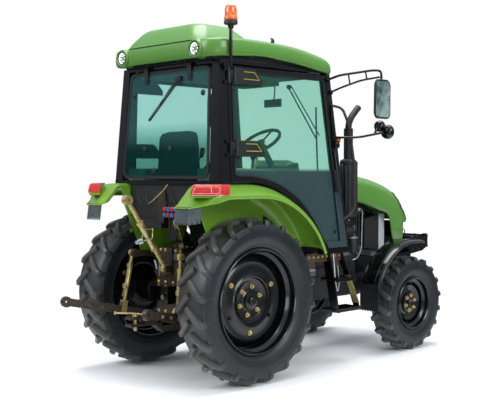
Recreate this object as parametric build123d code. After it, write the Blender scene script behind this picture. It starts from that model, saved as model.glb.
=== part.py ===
from build123d import *
import os
from math import atan2, cos, degrees, hypot, radians, sin

# Compact four-wheel-drive farm tractor with a closed cab.
# Millimetres. +Z up, +Y forward, +X to the tractor's right. The model is worked out from the
# rear axle (Y = 0 there) and every piece is moved by REAR_AXLE_Y as it is saved, so that the
# origin lies on the ground under the middle of the machine.

# ---- wheels and axles
WHEELBASE = 1926.0
REAR_TYRE_R = 602.5
REAR_TYRE_WIDTH = 284.0
REAR_TRACK = 1200.0
REAR_RIM_R = 386.0
FRONT_TYRE_R = 402.5
FRONT_TYRE_WIDTH = 207.0
FRONT_TRACK = 1184.0
FRONT_RIM_R = 225.0
KINGPIN_X = 460.0
AXLE_TUBE_R = 85.0
BEAM_Z = 520.0
BEAM_H = 84.0
STEER_LIMIT = 30.0
REAR_LUGS = 20
REAR_LUG_H = 32.0
FRONT_LUGS = 18
FRONT_LUG_H = 24.0

# ---- chassis
BODY_HALF = 165.0
CHASSIS_LOW_Z = 380.0
GEARBOX_TOP_Z = 860.0
GEARBOX_REAR_Y = -230.0
GEARBOX_FRONT_Y = 1130.0
ENGINE_SETBACK = 186.0
ENGINE_FRONT_Y = WHEELBASE - ENGINE_SETBACK
ENGINE_TOP_Z = 1300.0
FRONT_OVERHANG = 924.0
BUMPER_DEPTH = 290.0
BUMPER_HALF = 170.0
BUMPER_REACH = WHEELBASE + FRONT_OVERHANG
FRAME_FRONT_Y = BUMPER_REACH - BUMPER_DEPTH
BUMPER_Z = 860.0
RAIL_LOW_Z = 640.0
RAIL_TOP_Z = 780.0
RAIL_T = 20.0

# ---- cab
CAB_HALF = 618.0
CAB_LOW_Z = 930.0
CAB_TOP_Z = 2330.0
LEAN = 2.6
DOOR_REAR_Y = -165.0
DOOR_FRONT_LOW_Y = 1062.0
DOOR_FRONT_TOP_Y = 883.0
DOOR_THICK = 34.0
DOOR_RIM = 42.0
GLASS_THICK = 6.0
DOOR_GAP = 6.0
PILLAR_W = 60.0
SILL_Z = 1476.0
REAR_WALL_Y = -298.0
REAR_WALL_RAKE = 4.1
REAR_WINDOW_HALF = 500.0
WALL = 6.0
ROOF_HALF = 615.0
ROOF_LENGTH = 1300.0
ROOF_REAR_Y = -345.0
ROOF_THICK = 190.0
ROOF_CORNER = 160.0
SEAT_WIDTH = 480.0
SEAT_Y = 130.0
SEAT_Z = 1420.0
SEAT_TOP_Z = 1860.0
STEERING_WHEEL_R = 190.0

# ---- fenders
FENDER_R = 840.0
FENDER_EDGE_R = 768.0
FENDER_IN_X = 425.0
FENDER_CROWN_X = 600.0
FENDER_OUT_X = 746.0
FENDER_LIP = 22.0
FENDER_REAR_Y = -565.0
FENDER_SKIRT_Z = 1282.0
FENDER_FRONT_ANGLE = 24.0
FRONT_FENDER_R = 547.5
FRONT_FENDER_IN_X = 500.0
FRONT_FENDER_WIDTH = 195.0
SHEET = 5.0

# ---- bonnet
HOOD_HALF = 360.0
HOOD_NOSE_HALF = 310.0
HOOD_REAR_Y = 1135.0
HOOD_REAR_TOP_Z = 1525.0
HOOD_OVERHANG = 414.0
HOOD_FRONT_Y = WHEELBASE + HOOD_OVERHANG
HOOD_LOW_Z = 930.0
HOOD_OPEN = 55.0

# ---- hitch
ROCKSHAFT_Y = -130.0
ROCKSHAFT_Z = 905.0
LIFT_ARM_X = 255.0
LIFT_ARM_LEN = 242.0
LINK_PIVOT_X = 225.0
LINK_PIVOT_Y = -20.0
LINK_PIVOT_Z = 400.0
LINK_RISE = 11.6
LINK_BAR = (14.0, 58.0)
LINK_BALL_R = 22.4
LINK_BORE = 22.4
LINK_PIN_R = 15.0
ROD_PICKUP = 443.0
LIFT_LOW = -38.0
LIFT_HIGH = 30.0
TOP_LINK_Y = -220.0
TOP_LINK_Z = 810.0
TOP_LINK_LEN = 627.0
TOP_LINK_ANGLE = 56.0
TOP_LINK_BORE = 19.3

# ---- clearances
RUN_GAP = 0.5
SEAT_GAP = 0.3

# left link, right link: reach to the ball (telescopic ends) and how far each sways outward
LINKS = {"left": (-1, 906.0, 11.3), "right": (1, 790.0, 13.5)}
LINK_EYE_R = 40.0
LINK_REACH = LINKS["left"][1] * cos(radians(LINK_RISE)) * cos(radians(LINKS["left"][2])) - LINK_PIVOT_Y
REAR_AXLE_Y = (LINK_REACH + LINK_EYE_R - BUMPER_REACH) / 2

SIDES = (("left", -1), ("right", 1))

os.makedirs("parts", exist_ok=True)


def save(name, shape):
    """Move a piece from the rear-axle frame into the part's frame and write it."""
    export_step(Pos(0, REAR_AXLE_Y, 0) * shape, f"parts/{name}.step")


def block(x0, x1, y0, y1, z0, z1):
    """A box between two corners."""
    middle = Pos((x0 + x1) / 2, (y0 + y1) / 2, (z0 + z1) / 2)
    return middle * Box(abs(x1 - x0), abs(y1 - y0), abs(z1 - z0))


def rod(start, end, radius):
    """A round bar between two points."""
    a, b = Vector(*start), Vector(*end)
    bar = Cylinder(radius, (b - a).length, align=(Align.CENTER, Align.CENTER, Align.MIN))
    return Plane(origin=a, z_dir=b - a) * bar


def tube(points, radius, bend):
    """A round bar bent along a path of straight runs joined by arcs."""
    path = FilletPolyline(*points, radius=bend)
    return sweep(Plane(origin=path @ 0, z_dir=path % 0) * Circle(radius), path)


def side_plate(points, x0, x1):
    """A flat outline of (y, z) points, as thick as from x0 to x1."""
    face = make_face(Polyline(*[(x0, y, z) for y, z in points], close=True))
    return extrude(face, abs(x1 - x0), dir=(1 if x1 > x0 else -1, 0, 0))


def turned(profile, side):
    """A ring or disc turned about a crosswise axle from (outward, radius) points."""
    face = make_face(Polyline(*[(out, 0, r) for out, r in profile], close=True))
    return on_side(revolve(face, Axis.X), side)


def post(low, high):
    """A straight post between two level rectangles (x0, x1, y0, y1, z)."""
    ends = []
    for x0, x1, y0, y1, z in (low, high):
        ends.append(make_face(Polyline((x0, y0, z), (x1, y0, z), (x1, y1, z), (x0, y1, z), close=True)))
    return loft(ends, ruled=True)


def other_side(shape):
    return mirror(shape, about=Plane.YZ)


def both_sides(shape):
    return shape + other_side(shape)


def on_side(shape, side):
    return shape if side > 0 else other_side(shape)


# =========================================================== wheels
BEAD_SHARE = 0.78
BEAD_H = 12.0
TREAD_SHARE = 0.88
SHOULDER_DROP = 10.0
# lugs, as shares of the tyre's half width: slant, half widths at top and foot, reach of top and end
LUG_SWEEP = 0.78
LUG_TOP = 0.12
LUG_FOOT = 0.20
TOP_END = 0.94
LUG_END = 0.97
LUG_SKIRT = 52.0


def tyre(radius, width, rim_r, lug_count, lug_height):
    """Tyre of flat facets with its slanted lugs, those of the two halves half a pitch apart."""
    half = width / 2
    seat = half * BEAD_SHARE - SEAT_GAP
    ground = radius - lug_height
    pitch = 360 / lug_count
    turn = degrees(half / radius)
    # one lug's corner points straight down, so that the tyre stands at its full radius
    start = -90 + LUG_TOP * turn
    # rings below the lugs as (outward, radius); the facets of the last two stand outside the rim seat
    reach = 1 / cos(radians(pitch / 4))
    rings = [(half, (rim_r + radius) / 2), (seat, (rim_r + 1) * reach), (seat, (rim_r - BEAD_H) * reach)]
    faces = []

    def spot(out, r, angle):
        """A point of the wheel about the X axis; 0 degrees is forward and 90 is up."""
        return (out, r * cos(radians(angle)), r * sin(radians(angle)))

    def panel(*corners):
        for i in range(1, len(corners) - 1):
            faces.append(make_face(Polyline(corners[0], corners[i], corners[i + 1], close=True)))

    def lug_edge(side, angle, edge):
        """Corners of a lug's leading (-1) or trailing (1) edge: three feet from the middle out, then two tops."""
        back = angle + LUG_SWEEP * turn
        foot, top = edge * LUG_FOOT * turn, edge * LUG_TOP * turn
        return (spot(0, ground, angle + foot),
                spot(side * half * TREAD_SHARE, ground - SHOULDER_DROP, back + foot),
                spot(side * half * LUG_END, ground - LUG_SKIRT, back + foot),
                spot(side * half * TOP_END, radius - SHOULDER_DROP, back + top), spot(0, radius, angle + top))

    for side in (1, -1):
        for i in range(lug_count):
            angle = start + (i + (0 if side > 0 else 0.5)) * pitch
            lead, trail = lug_edge(side, angle, -1), lug_edge(side, angle, 1)
            following = lug_edge(side, angle + pitch, -1)
            panel(*lead)
            panel(*trail)
            for low, high in ((0, 4), (4, 3), (3, 2)):
                panel(lead[low], trail[low], trail[high], lead[high])
            other = angle + pitch / 2
            panel(trail[1], trail[0], lug_edge(side, other, -1)[0], lug_edge(side, other, 1)[0], following[0],
                  following[1])
            panel(trail[1], following[1], following[2], trail[2])
            quarters = [angle + LUG_SWEEP * turn + pitch * share for share in (-0.25, 0.25, 0.75)]
            above = (lead[2], trail[2], following[2])
            for out, r in rings:
                below = [spot(side * out, r, quarter) for quarter in quarters]
                for j in (0, 1):
                    panel(above[j], above[j + 1], below[j + 1], below[j])
                above = below
            if side > 0:
                for j in (0, 1):
                    mirrored = [(-x, y, z) for x, y, z in above]
                    panel(above[j], above[j + 1], mirrored[j + 1], mirrored[j])
    return Solid(Shell(faces))


def rim(rim_r, width, disc_out, hub_r, hub_in):
    """Pressed rim: flanged well, dished disc and the hub that carries it, in one turned section."""
    bead = width / 2 * BEAD_SHARE
    well = rim_r - 42
    floor = rim_r - BEAD_H - SEAT_GAP
    t = 8.0
    return [(bead + 6, rim_r), (bead, rim_r), (bead, floor), (bead * 0.5, floor), (bead * 0.4, well + t),
            (-bead * 0.4, well + t), (-bead * 0.5, floor), (-bead, floor), (-bead, rim_r),
            (-bead - 6, rim_r), (-bead - 6, floor - t), (-bead * 0.5, floor - t), (-bead * 0.4, well),
            (disc_out - 40, well), (disc_out - t, well * 0.80), (disc_out - t, hub_r), (hub_in, hub_r),
            (hub_in, 0), (disc_out + 26, 0), (disc_out + 26, hub_r * 0.72), (disc_out + 6, hub_r * 0.9),
            (disc_out + 2, well * 0.82), (disc_out - 28, well), (bead * 0.4, well),
            (bead * 0.5, floor - t), (bead + 6, floor - t)]


REAR_HUB_R = 92.0
REAR_HUB_IN = -128.0
FRONT_HUB_R = 62.0
FRONT_HUB_IN = -52.0
REAR_DISC_OUT = 28.0
FRONT_DISC_OUT = 30.0

rear_tyre = tyre(REAR_TYRE_R, REAR_TYRE_WIDTH, REAR_RIM_R, REAR_LUGS, REAR_LUG_H)
front_tyre = tyre(FRONT_TYRE_R, FRONT_TYRE_WIDTH, FRONT_RIM_R, FRONT_LUGS, FRONT_LUG_H)
for name, side in SIDES:
    rear_place = Pos(side * REAR_TRACK / 2, 0, REAR_TYRE_R)
    save(f"rear_tyre_{name}", rear_place * on_side(rear_tyre, side))
    rear_rim = turned(rim(REAR_RIM_R, REAR_TYRE_WIDTH, REAR_DISC_OUT, REAR_HUB_R, REAR_HUB_IN), side)
    save(f"rear_rim_{name}", rear_place * rear_rim)
    front_place = Pos(side * FRONT_TRACK / 2, WHEELBASE, FRONT_TYRE_R)
    save(f"front_tyre_{name}", front_place * on_side(front_tyre, side))
    front_rim = turned(rim(FRONT_RIM_R, FRONT_TYRE_WIDTH, FRONT_DISC_OUT, FRONT_HUB_R, FRONT_HUB_IN), side)
    save(f"front_rim_{name}", front_place * front_rim)

# =========================================================== chassis
REAR_HOUSING_END = REAR_TRACK / 2 + REAR_HUB_IN - RUN_GAP
AXLE_Z = REAR_TYRE_R
gearbox = side_plate([(GEARBOX_REAR_Y, CHASSIS_LOW_Z + 60), (GEARBOX_REAR_Y + 60, CHASSIS_LOW_Z),
                      (GEARBOX_FRONT_Y, CHASSIS_LOW_Z + 40), (GEARBOX_FRONT_Y, GEARBOX_TOP_Z - 60),
                      (250, GEARBOX_TOP_Z), (GEARBOX_REAR_Y, GEARBOX_TOP_Z)], -BODY_HALF, BODY_HALF)
axle_housing = rod((-REAR_HOUSING_END, 0, AXLE_Z), (REAR_HOUSING_END, 0, AXLE_Z), AXLE_TUBE_R)
axle_flanges = both_sides(rod((BODY_HALF, 0, AXLE_Z), (BODY_HALF + 60, 0, AXLE_Z), AXLE_TUBE_R + 55))
# lugs and pins that carry the lower links
lugs = both_sides(block(BODY_HALF - 5, LINK_PIVOT_X - 12 - RUN_GAP, LINK_PIVOT_Y - 40, LINK_PIVOT_Y + 40,
                        LINK_PIVOT_Z - 40, LINK_PIVOT_Z + 60))
lugs += both_sides(rod((BODY_HALF - 5, LINK_PIVOT_Y, LINK_PIVOT_Z),
                       (LINK_PIVOT_X + 22, LINK_PIVOT_Y, LINK_PIVOT_Z), LINK_PIN_R))
save("transmission", gearbox + axle_housing + axle_flanges + lugs)

ENGINE_HALF = 175.0
SUMP_RISE = 90.0
ROCKER_H = 80.0
ROCKER_INSET = 50.0
engine = block(-ENGINE_HALF, ENGINE_HALF, GEARBOX_FRONT_Y, ENGINE_FRONT_Y, CHASSIS_LOW_Z + SUMP_RISE,
               ENGINE_TOP_Z)
engine += block(-ENGINE_HALF + ROCKER_INSET, ENGINE_HALF - ROCKER_INSET, GEARBOX_FRONT_Y + ROCKER_INSET,
                ENGINE_FRONT_Y - ROCKER_INSET, ENGINE_TOP_Z, ENGINE_TOP_Z + ROCKER_H)
# what is bolted to the engine's right side, each a round body along the machine:
# (rear end, front end, height, distance out, radius), the ends measured back from the engine's front
ENGINE_FITTINGS = ((300.0, 95.0, 800.0, 40.0, 48.0), (250.0, 140.0, 1020.0, 50.0, 58.0),
                   (420.0, 300.0, 1015.0, 30.0, 40.0))
for rear, front, z, out, radius in ENGINE_FITTINGS:
    fitting_x = ENGINE_HALF + out
    engine += rod((fitting_x, ENGINE_FRONT_Y - rear, z), (fitting_x, ENGINE_FRONT_Y - front, z), radius)
FUEL_PIPE_X = ENGINE_HALF + 95
PIPE_LOW_Z = 780.0
PIPE_HIGH_Z = 1205.0
for back in (70.0, 105.0):
    pipe_y = ENGINE_FRONT_Y - back
    engine += tube([(ENGINE_HALF - 5, pipe_y, PIPE_LOW_Z), (FUEL_PIPE_X, pipe_y, PIPE_LOW_Z),
                    (FUEL_PIPE_X, pipe_y, PIPE_HIGH_Z), (ENGINE_HALF - 5, pipe_y, PIPE_HIGH_Z)], 7, 30)
save("engine", engine)

RAIL_HALF = ENGINE_HALF + 6
NOSE_PLATE_T = 30.0
NOSE_PLATE_TOP_Z = BUMPER_Z + 60
BEARER_REACH = 180.0
rail = block(RAIL_HALF - RAIL_T, RAIL_HALF, ENGINE_FRONT_Y, FRAME_FRONT_Y, RAIL_LOW_Z, RAIL_TOP_Z)
bearer = block(-RAIL_HALF, RAIL_HALF, ENGINE_FRONT_Y, WHEELBASE + BEARER_REACH, RAIL_LOW_Z, RAIL_LOW_Z + RAIL_T)
nose_plate = block(-RAIL_HALF, RAIL_HALF, FRAME_FRONT_Y - NOSE_PLATE_T, FRAME_FRONT_Y, RAIL_LOW_Z,
                   NOSE_PLATE_TOP_Z)
front_frame = both_sides(rail) + bearer + nose_plate
save("front_frame", front_frame)

BUMPER_T = 20.0
CHEEK_T = 16.0
CHEEK_LOW_Z = BUMPER_Z - 100
bumper_back_y = FRAME_FRONT_Y + BUMPER_T
bumper = block(-BUMPER_HALF, BUMPER_HALF, FRAME_FRONT_Y, bumper_back_y, CHEEK_LOW_Z, BUMPER_Z + 70)
bumper += block(-BUMPER_HALF, BUMPER_HALF, bumper_back_y, BUMPER_REACH, BUMPER_Z + 40, BUMPER_Z + 60)
bumper += both_sides(side_plate([(bumper_back_y, CHEEK_LOW_Z), (BUMPER_REACH - 90, CHEEK_LOW_Z + BUMPER_T),
                                 (BUMPER_REACH, BUMPER_Z - 40), (BUMPER_REACH, BUMPER_Z + 40),
                                 (bumper_back_y, BUMPER_Z + 40)], BUMPER_HALF - CHEEK_T, BUMPER_HALF))
bumper += block(-BUMPER_HALF, BUMPER_HALF, BUMPER_REACH - 24, BUMPER_REACH, BUMPER_Z - 50, BUMPER_Z + 60)
# towing pin through the top plate, with its ring handle
TOW_PIN_Y = FRAME_FRONT_Y + 120
TOW_PIN_R = 11.0
RING_R = 22.0
RING_ROD_R = 5.0
bumper += rod((0, TOW_PIN_Y, BUMPER_Z - 30), (0, TOW_PIN_Y, BUMPER_Z + 78), TOW_PIN_R)
bumper += Pos(0, TOW_PIN_Y, BUMPER_Z + 78 + RING_R) * Rot(90, 0, 0) * Torus(RING_R, RING_ROD_R)
save("weight_bracket", bumper)

# front axle: beam on its middle pivot, with a bored boss over each kingpin
BOSS_R = 60.0
DIFF_R = 110.0
BEAM_BASE = BEAM_Z - BEAM_H / 2
beam = block(-KINGPIN_X, KINGPIN_X, WHEELBASE - 45, WHEELBASE + 45, BEAM_BASE, BEAM_BASE + BEAM_H)
beam += both_sides(Pos(KINGPIN_X, WHEELBASE, BEAM_Z) * Cylinder(BOSS_R, BEAM_H))
beam += Pos(0, WHEELBASE, BEAM_Z) * Sphere(DIFF_R)
PIVOT_HALF = 90.0
beam += block(-PIVOT_HALF, PIVOT_HALF, WHEELBASE - 100, WHEELBASE + 100, BEAM_Z, RAIL_LOW_Z)
save("front_axle", beam)
PROP_Z = 440.0
PROP_R = 22.0
prop_end = WHEELBASE - (DIFF_R ** 2 - (BEAM_Z - PROP_Z - PROP_R) ** 2) ** 0.5 - SEAT_GAP
save("prop_shaft", rod((0, GEARBOX_FRONT_Y + SEAT_GAP, PROP_Z), (0, prop_end, PROP_Z), PROP_R))

KNUCKLE_R = 62.0
FRONT_HUB_FACE = FRONT_TRACK / 2 + FRONT_HUB_IN - RUN_GAP
BRACKET_X = FRONT_TRACK / 2 - FRONT_TYRE_WIDTH / 2 - 24
knuckle = Pos(KINGPIN_X, WHEELBASE, (BEAM_BASE - RUN_GAP + FRONT_TYRE_R - 80) / 2) * Cylinder(
    KNUCKLE_R, BEAM_BASE - RUN_GAP - FRONT_TYRE_R + 80)
knuckle += rod((KINGPIN_X, WHEELBASE, FRONT_TYRE_R), (FRONT_HUB_FACE, WHEELBASE, FRONT_TYRE_R), 58)
FENDER_TOP_Z = FRONT_TYRE_R + FRONT_FENDER_R
stay_y = WHEELBASE - BOSS_R - 22
knuckle += block(BRACKET_X - 12, BRACKET_X, stay_y - 26, WHEELBASE - 30, FRONT_TYRE_R - 40, FRONT_TYRE_R + 20)
stay_top = FRONT_TYRE_R + ((FRONT_FENDER_R - SHEET) ** 2 - (stay_y - 26 - WHEELBASE) ** 2) ** 0.5 - SEAT_GAP
knuckle += block(BRACKET_X - 12, BRACKET_X, stay_y - 26, stay_y, FRONT_TYRE_R, stay_top)
knuckle += block(BRACKET_X - 12, FRONT_FENDER_IN_X + FRONT_FENDER_WIDTH * 0.6, stay_y - 26, stay_y,
                 stay_top - 20, stay_top)
FLAP_LOW_Z = 370.0
for name, side in SIDES:
    save(f"knuckle_{name}", on_side(knuckle, side))

# front fender: an arc about the wheel that runs straight forward at its top, with a rubber flap
FRONT_FENDER_BACK = 162.0
FRONT_FENDER_NOSE = 334.0


def fender_point(radius, angle):
    return (FRONT_FENDER_IN_X, WHEELBASE + radius * cos(radians(angle)), FRONT_TYRE_R + radius * sin(radians(angle)))


outer, inner = FRONT_FENDER_R, FRONT_FENDER_R - SHEET
mid = (90 + FRONT_FENDER_BACK) / 2
nose_y = WHEELBASE + FRONT_FENDER_NOSE
edge = [Line((FRONT_FENDER_IN_X, nose_y, FENDER_TOP_Z), fender_point(outer, 90)),
        ThreePointArc(fender_point(outer, 90), fender_point(outer, mid), fender_point(outer, FRONT_FENDER_BACK)),
        Line(fender_point(outer, FRONT_FENDER_BACK), fender_point(inner, FRONT_FENDER_BACK)),
        ThreePointArc(fender_point(inner, FRONT_FENDER_BACK), fender_point(inner, mid), fender_point(inner, 90)),
        Line(fender_point(inner, 90), (FRONT_FENDER_IN_X, nose_y, FENDER_TOP_Z - SHEET)),
        Line((FRONT_FENDER_IN_X, nose_y, FENDER_TOP_Z - SHEET), (FRONT_FENDER_IN_X, nose_y, FENDER_TOP_Z))]
front_fender = extrude(make_face(edge), FRONT_FENDER_WIDTH, dir=(1, 0, 0))
flap_top = fender_point(inner, FRONT_FENDER_BACK)
front_fender += block(FRONT_FENDER_IN_X, FRONT_FENDER_IN_X + FRONT_FENDER_WIDTH, flap_top[1] - SHEET, flap_top[1],
                      FLAP_LOW_Z, flap_top[2] + 30)
for name, side in SIDES:
    save(f"front_fender_{name}", on_side(front_fender, side))

# =========================================================== bonnet and what it covers
RADIATOR_HALF = 262.0
RADIATOR_BACK_Y = WHEELBASE + 34
RADIATOR_DEPTH = 80.0
RADIATOR_LOW_Z = 800.0
RADIATOR_TOP_Z = 1160.0
SHROUD_BACK_Y = RADIATOR_BACK_Y - 150
SHROUD_LOW_Z = 830.0
BATTERY_HALF = 150.0
radiator_front_y = RADIATOR_BACK_Y + RADIATOR_DEPTH
radiator = block(-RADIATOR_HALF, RADIATOR_HALF, RADIATOR_BACK_Y, radiator_front_y, RADIATOR_LOW_Z,
                 RADIATOR_TOP_Z)
radiator += block(-RAIL_HALF, RAIL_HALF, RADIATOR_BACK_Y, radiator_front_y, RAIL_TOP_Z, RADIATOR_LOW_Z)
radiator += block(-BATTERY_HALF, BATTERY_HALF, radiator_front_y, radiator_front_y + 110, RAIL_TOP_Z,
                  RADIATOR_LOW_Z + 100)
save("radiator", radiator)
# fan shroud: a hood drawn in from the radiator to the fan, with the fan's hub on the engine
SHROUD_DRAW = 40.0
shroud_back = make_face(Polyline(*[(x * (RADIATOR_HALF - SHROUD_DRAW), SHROUD_BACK_Y, z) for x, z in (
    (-1, SHROUD_LOW_Z + SHROUD_DRAW), (1, SHROUD_LOW_Z + SHROUD_DRAW), (1, RADIATOR_TOP_Z - SHROUD_DRAW),
    (-1, RADIATOR_TOP_Z - SHROUD_DRAW))], close=True))
shroud_front = make_face(Polyline(*[(x * RADIATOR_HALF, RADIATOR_BACK_Y - SEAT_GAP, z) for x, z in (
    (-1, SHROUD_LOW_Z), (1, SHROUD_LOW_Z), (1, RADIATOR_TOP_Z), (-1, RADIATOR_TOP_Z))], close=True))
FAN_HUB_R = 60.0
shroud = loft([shroud_back, shroud_front], ruled=True)
FAN_Z = 1010.0
shroud -= rod((0, SHROUD_BACK_Y - 5, FAN_Z), (0, RADIATOR_BACK_Y - 20, FAN_Z), FAN_HUB_R + 90)
save("fan_shroud", shroud)

HOOD_ROUND = 70.0
# bonnet sections along the machine: (y, half width, shoulder height, top height)
HOOD_SECTIONS = ((HOOD_REAR_Y, HOOD_HALF, HOOD_REAR_TOP_Z - 50, HOOD_REAR_TOP_Z),
                 (WHEELBASE - 360, HOOD_HALF, 1450, 1500), (WHEELBASE - 75, HOOD_HALF - 2, 1398, 1453),
                 (WHEELBASE + 144, HOOD_NOSE_HALF + 32, 1325, 1386),
                 (WHEELBASE + 314, HOOD_NOSE_HALF + 5, 1215, 1285),
                 (HOOD_FRONT_Y, HOOD_NOSE_HALF - 25, 1090, 1160))


def hood_form(inset, low_z):
    """The bonnet's outer form, drawn in by an inset, down to a height."""
    last = len(HOOD_SECTIONS) - 1
    faces = []
    for i, (y, half, shoulder, top) in enumerate(HOOD_SECTIONS):
        half, shoulder, top = half - inset, shoulder - inset, top - inset
        if inset:
            y += -5 if i == 0 else (-inset if i == last else 0)
        right = [(half, low_z), (half, shoulder), (half - HOOD_ROUND, top)]
        outline = right + [(-x, z) for x, z in reversed(right)]
        faces.append(make_face(Polyline(*[(x, y, z) for x, z in outline], close=True)))
    return loft(faces, ruled=True)


# below the lamps the nose stands back from their brow
BROW_Z = 1080.0
NOSE_BACK = 77.0


def under_brow(inset):
    """What is cut from under the brow; an inset moves the cut back and up by the skin."""
    low_y = HOOD_FRONT_Y - NOSE_BACK - inset
    return side_plate([(low_y, HOOD_LOW_Z - 60), (low_y, BROW_Z - 5 + inset),
                       (HOOD_FRONT_Y + 20, BROW_Z + inset), (HOOD_FRONT_Y + 20, HOOD_LOW_Z - 60)],
                      -HOOD_HALF, HOOD_HALF)


# opening in each side: a low rear edge that climbs forward under the shoulder
SIDE_OPENING = [(HOOD_REAR_Y - 10, HOOD_LOW_Z - 5), (HOOD_REAR_Y - 10, 1335), (WHEELBASE - 379, 1277),
                (WHEELBASE + 50, 1170), (WHEELBASE + 75, 1140), (WHEELBASE + 138, HOOD_LOW_Z - 5)]
HOOD_PIN_Y = HOOD_REAR_Y + 24
HOOD_PIN_Z = HOOD_REAR_TOP_Z - 42
HOOD_PIN_R = 6.0
HOOD_LUG_X = 150.0
HOOD_WALL = 12.0
hood = hood_form(0, HOOD_LOW_Z) - under_brow(0)
hood -= hood_form(HOOD_WALL, HOOD_LOW_Z - 50) - under_brow(HOOD_WALL)
hood -= side_plate(SIDE_OPENING, -HOOD_HALF - 5, HOOD_HALF + 5)
hood += both_sides(block(HOOD_LUG_X, HOOD_LUG_X + 12, HOOD_PIN_Y - 14, HOOD_PIN_Y + 14, HOOD_PIN_Z - 14,
                         HOOD_REAR_TOP_Z - 8))
hood += both_sides(rod((HOOD_LUG_X - 18, HOOD_PIN_Y, HOOD_PIN_Z), (HOOD_LUG_X, HOOD_PIN_Y, HOOD_PIN_Z),
                       HOOD_PIN_R))
save("hood", hood)

# headlamps: glass patches that wrap round the corners of the nose
LAMP_PROUD = 9.0
LAMP_INNER_X = 120.0
lamp_zone = side_plate([(HOOD_FRONT_Y - 176, 1340), (HOOD_FRONT_Y + 40, 1340),
                        (HOOD_FRONT_Y + 40, BROW_Z + 4), (HOOD_FRONT_Y + 5, BROW_Z + 4),
                        (HOOD_FRONT_Y - 45, 1132), (HOOD_FRONT_Y - 107, 1216)], LAMP_INNER_X, HOOD_HALF)
headlamp = (hood_form(-LAMP_PROUD, BROW_Z - 40) - hood_form(-SEAT_GAP, BROW_Z - 60)) & lamp_zone
save("headlamps", both_sides(headlamp))

# grille: a slatted panel on the nose below the brow
GRILLE_HALF = 190.0
GRILLE_T = 14.0
SLAT_COUNT = 6
grille_y = HOOD_FRONT_Y - NOSE_BACK + SEAT_GAP
grille_low_z, grille_top_z = HOOD_LOW_Z + 12, BROW_Z - 32
grille = block(-GRILLE_HALF, GRILLE_HALF, grille_y, grille_y + GRILLE_T / 2, grille_low_z, grille_top_z)
slat_pitch = (grille_top_z - grille_low_z) / SLAT_COUNT
for i in range(SLAT_COUNT):
    slat_z = grille_low_z + (i + 0.5) * slat_pitch
    grille += block(-GRILLE_HALF, GRILLE_HALF, grille_y + GRILLE_T / 2, grille_y + GRILLE_T,
                    slat_z - 5, slat_z + 5)
save("hood_grille", grille)

# =========================================================== exhaust
MUFFLER_X = 500.0
MUFFLER_Y = 1245.0
MUFFLER_R = 72.0
MUFFLER_LOW_Z = 1165.0
MUFFLER_TOP_Z = 1640.0
PIPE_R = 30.0
OUTLET_Z = 1255.0
PIPE_BEND_Z = 1960.0
PIPE_TIP_Z = 2075.0
PIPE_TIP_BACK = 130.0
exhaust = rod((MUFFLER_X, MUFFLER_Y, MUFFLER_LOW_Z), (MUFFLER_X, MUFFLER_Y, MUFFLER_TOP_Z), MUFFLER_R)
exhaust += rod((ENGINE_HALF + SEAT_GAP, MUFFLER_Y, OUTLET_Z), (MUFFLER_X, MUFFLER_Y, OUTLET_Z), PIPE_R)
exhaust += tube([(MUFFLER_X, MUFFLER_Y, MUFFLER_TOP_Z - 10), (MUFFLER_X, MUFFLER_Y, PIPE_BEND_Z),
                 (MUFFLER_X, MUFFLER_Y + PIPE_TIP_BACK, PIPE_TIP_Z)], PIPE_R, 90)
save("exhaust", exhaust)

# =========================================================== cab
def lean_side(shape):
    """Tilt a right-hand side piece in at the top about the sill line."""
    return shape.rotate(Axis((CAB_HALF, 0, CAB_LOW_Z), (0, 1, 0)), -LEAN)


def lean_rear(shape):
    """Tilt a rear piece forward at the top about the rear sill."""
    return shape.rotate(Axis((0, REAR_WALL_Y, SILL_Z), (1, 0, 0)), -REAR_WALL_RAKE)


def side_x(z):
    """Outer face of the cab side at a height."""
    return CAB_HALF - (z - CAB_LOW_Z) * sin(radians(LEAN))


def rear_y(z):
    """Outer face of the cab rear at a height."""
    return REAR_WALL_Y + (z - SILL_Z) * sin(radians(REAR_WALL_RAKE))


def door_front_y(z):
    """Front edge of the door at a height."""
    return DOOR_FRONT_LOW_Y + (DOOR_FRONT_TOP_Y - DOOR_FRONT_LOW_Y) * (z - CAB_LOW_Z) / (CAB_TOP_Z - CAB_LOW_Z)


DOOR_ARC_R = FENDER_R + 16
DOOR_TOP_Z = CAB_TOP_Z - 38
arc_low = degrees(atan2(CAB_LOW_Z - AXLE_Z, (DOOR_ARC_R ** 2 - (CAB_LOW_Z - AXLE_Z) ** 2) ** 0.5))


def arc_point(angle):
    return (CAB_HALF, DOOR_ARC_R * cos(radians(angle)), AXLE_Z + DOOR_ARC_R * sin(radians(angle)))


def door_outline():
    """Door edge, following the fender at its lower rear corner."""
    low_rear = (CAB_HALF, DOOR_REAR_Y, AXLE_Z + DOOR_ARC_R)
    low_front = (CAB_HALF, DOOR_FRONT_LOW_Y, CAB_LOW_Z)
    top_front = (CAB_HALF, door_front_y(DOOR_TOP_Z), DOOR_TOP_Z)
    top_rear = (CAB_HALF, DOOR_REAR_Y, DOOR_TOP_Z)
    arch = ThreePointArc(arc_point(90), arc_point((90 + arc_low) / 2), arc_point(arc_low))
    edge = [Line(low_rear, arc_point(90)), arch, Line(arc_point(arc_low), low_front),
            Line(low_front, top_front), Line(top_front, top_rear), Line(top_rear, low_rear)]
    return make_face(edge)


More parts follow.
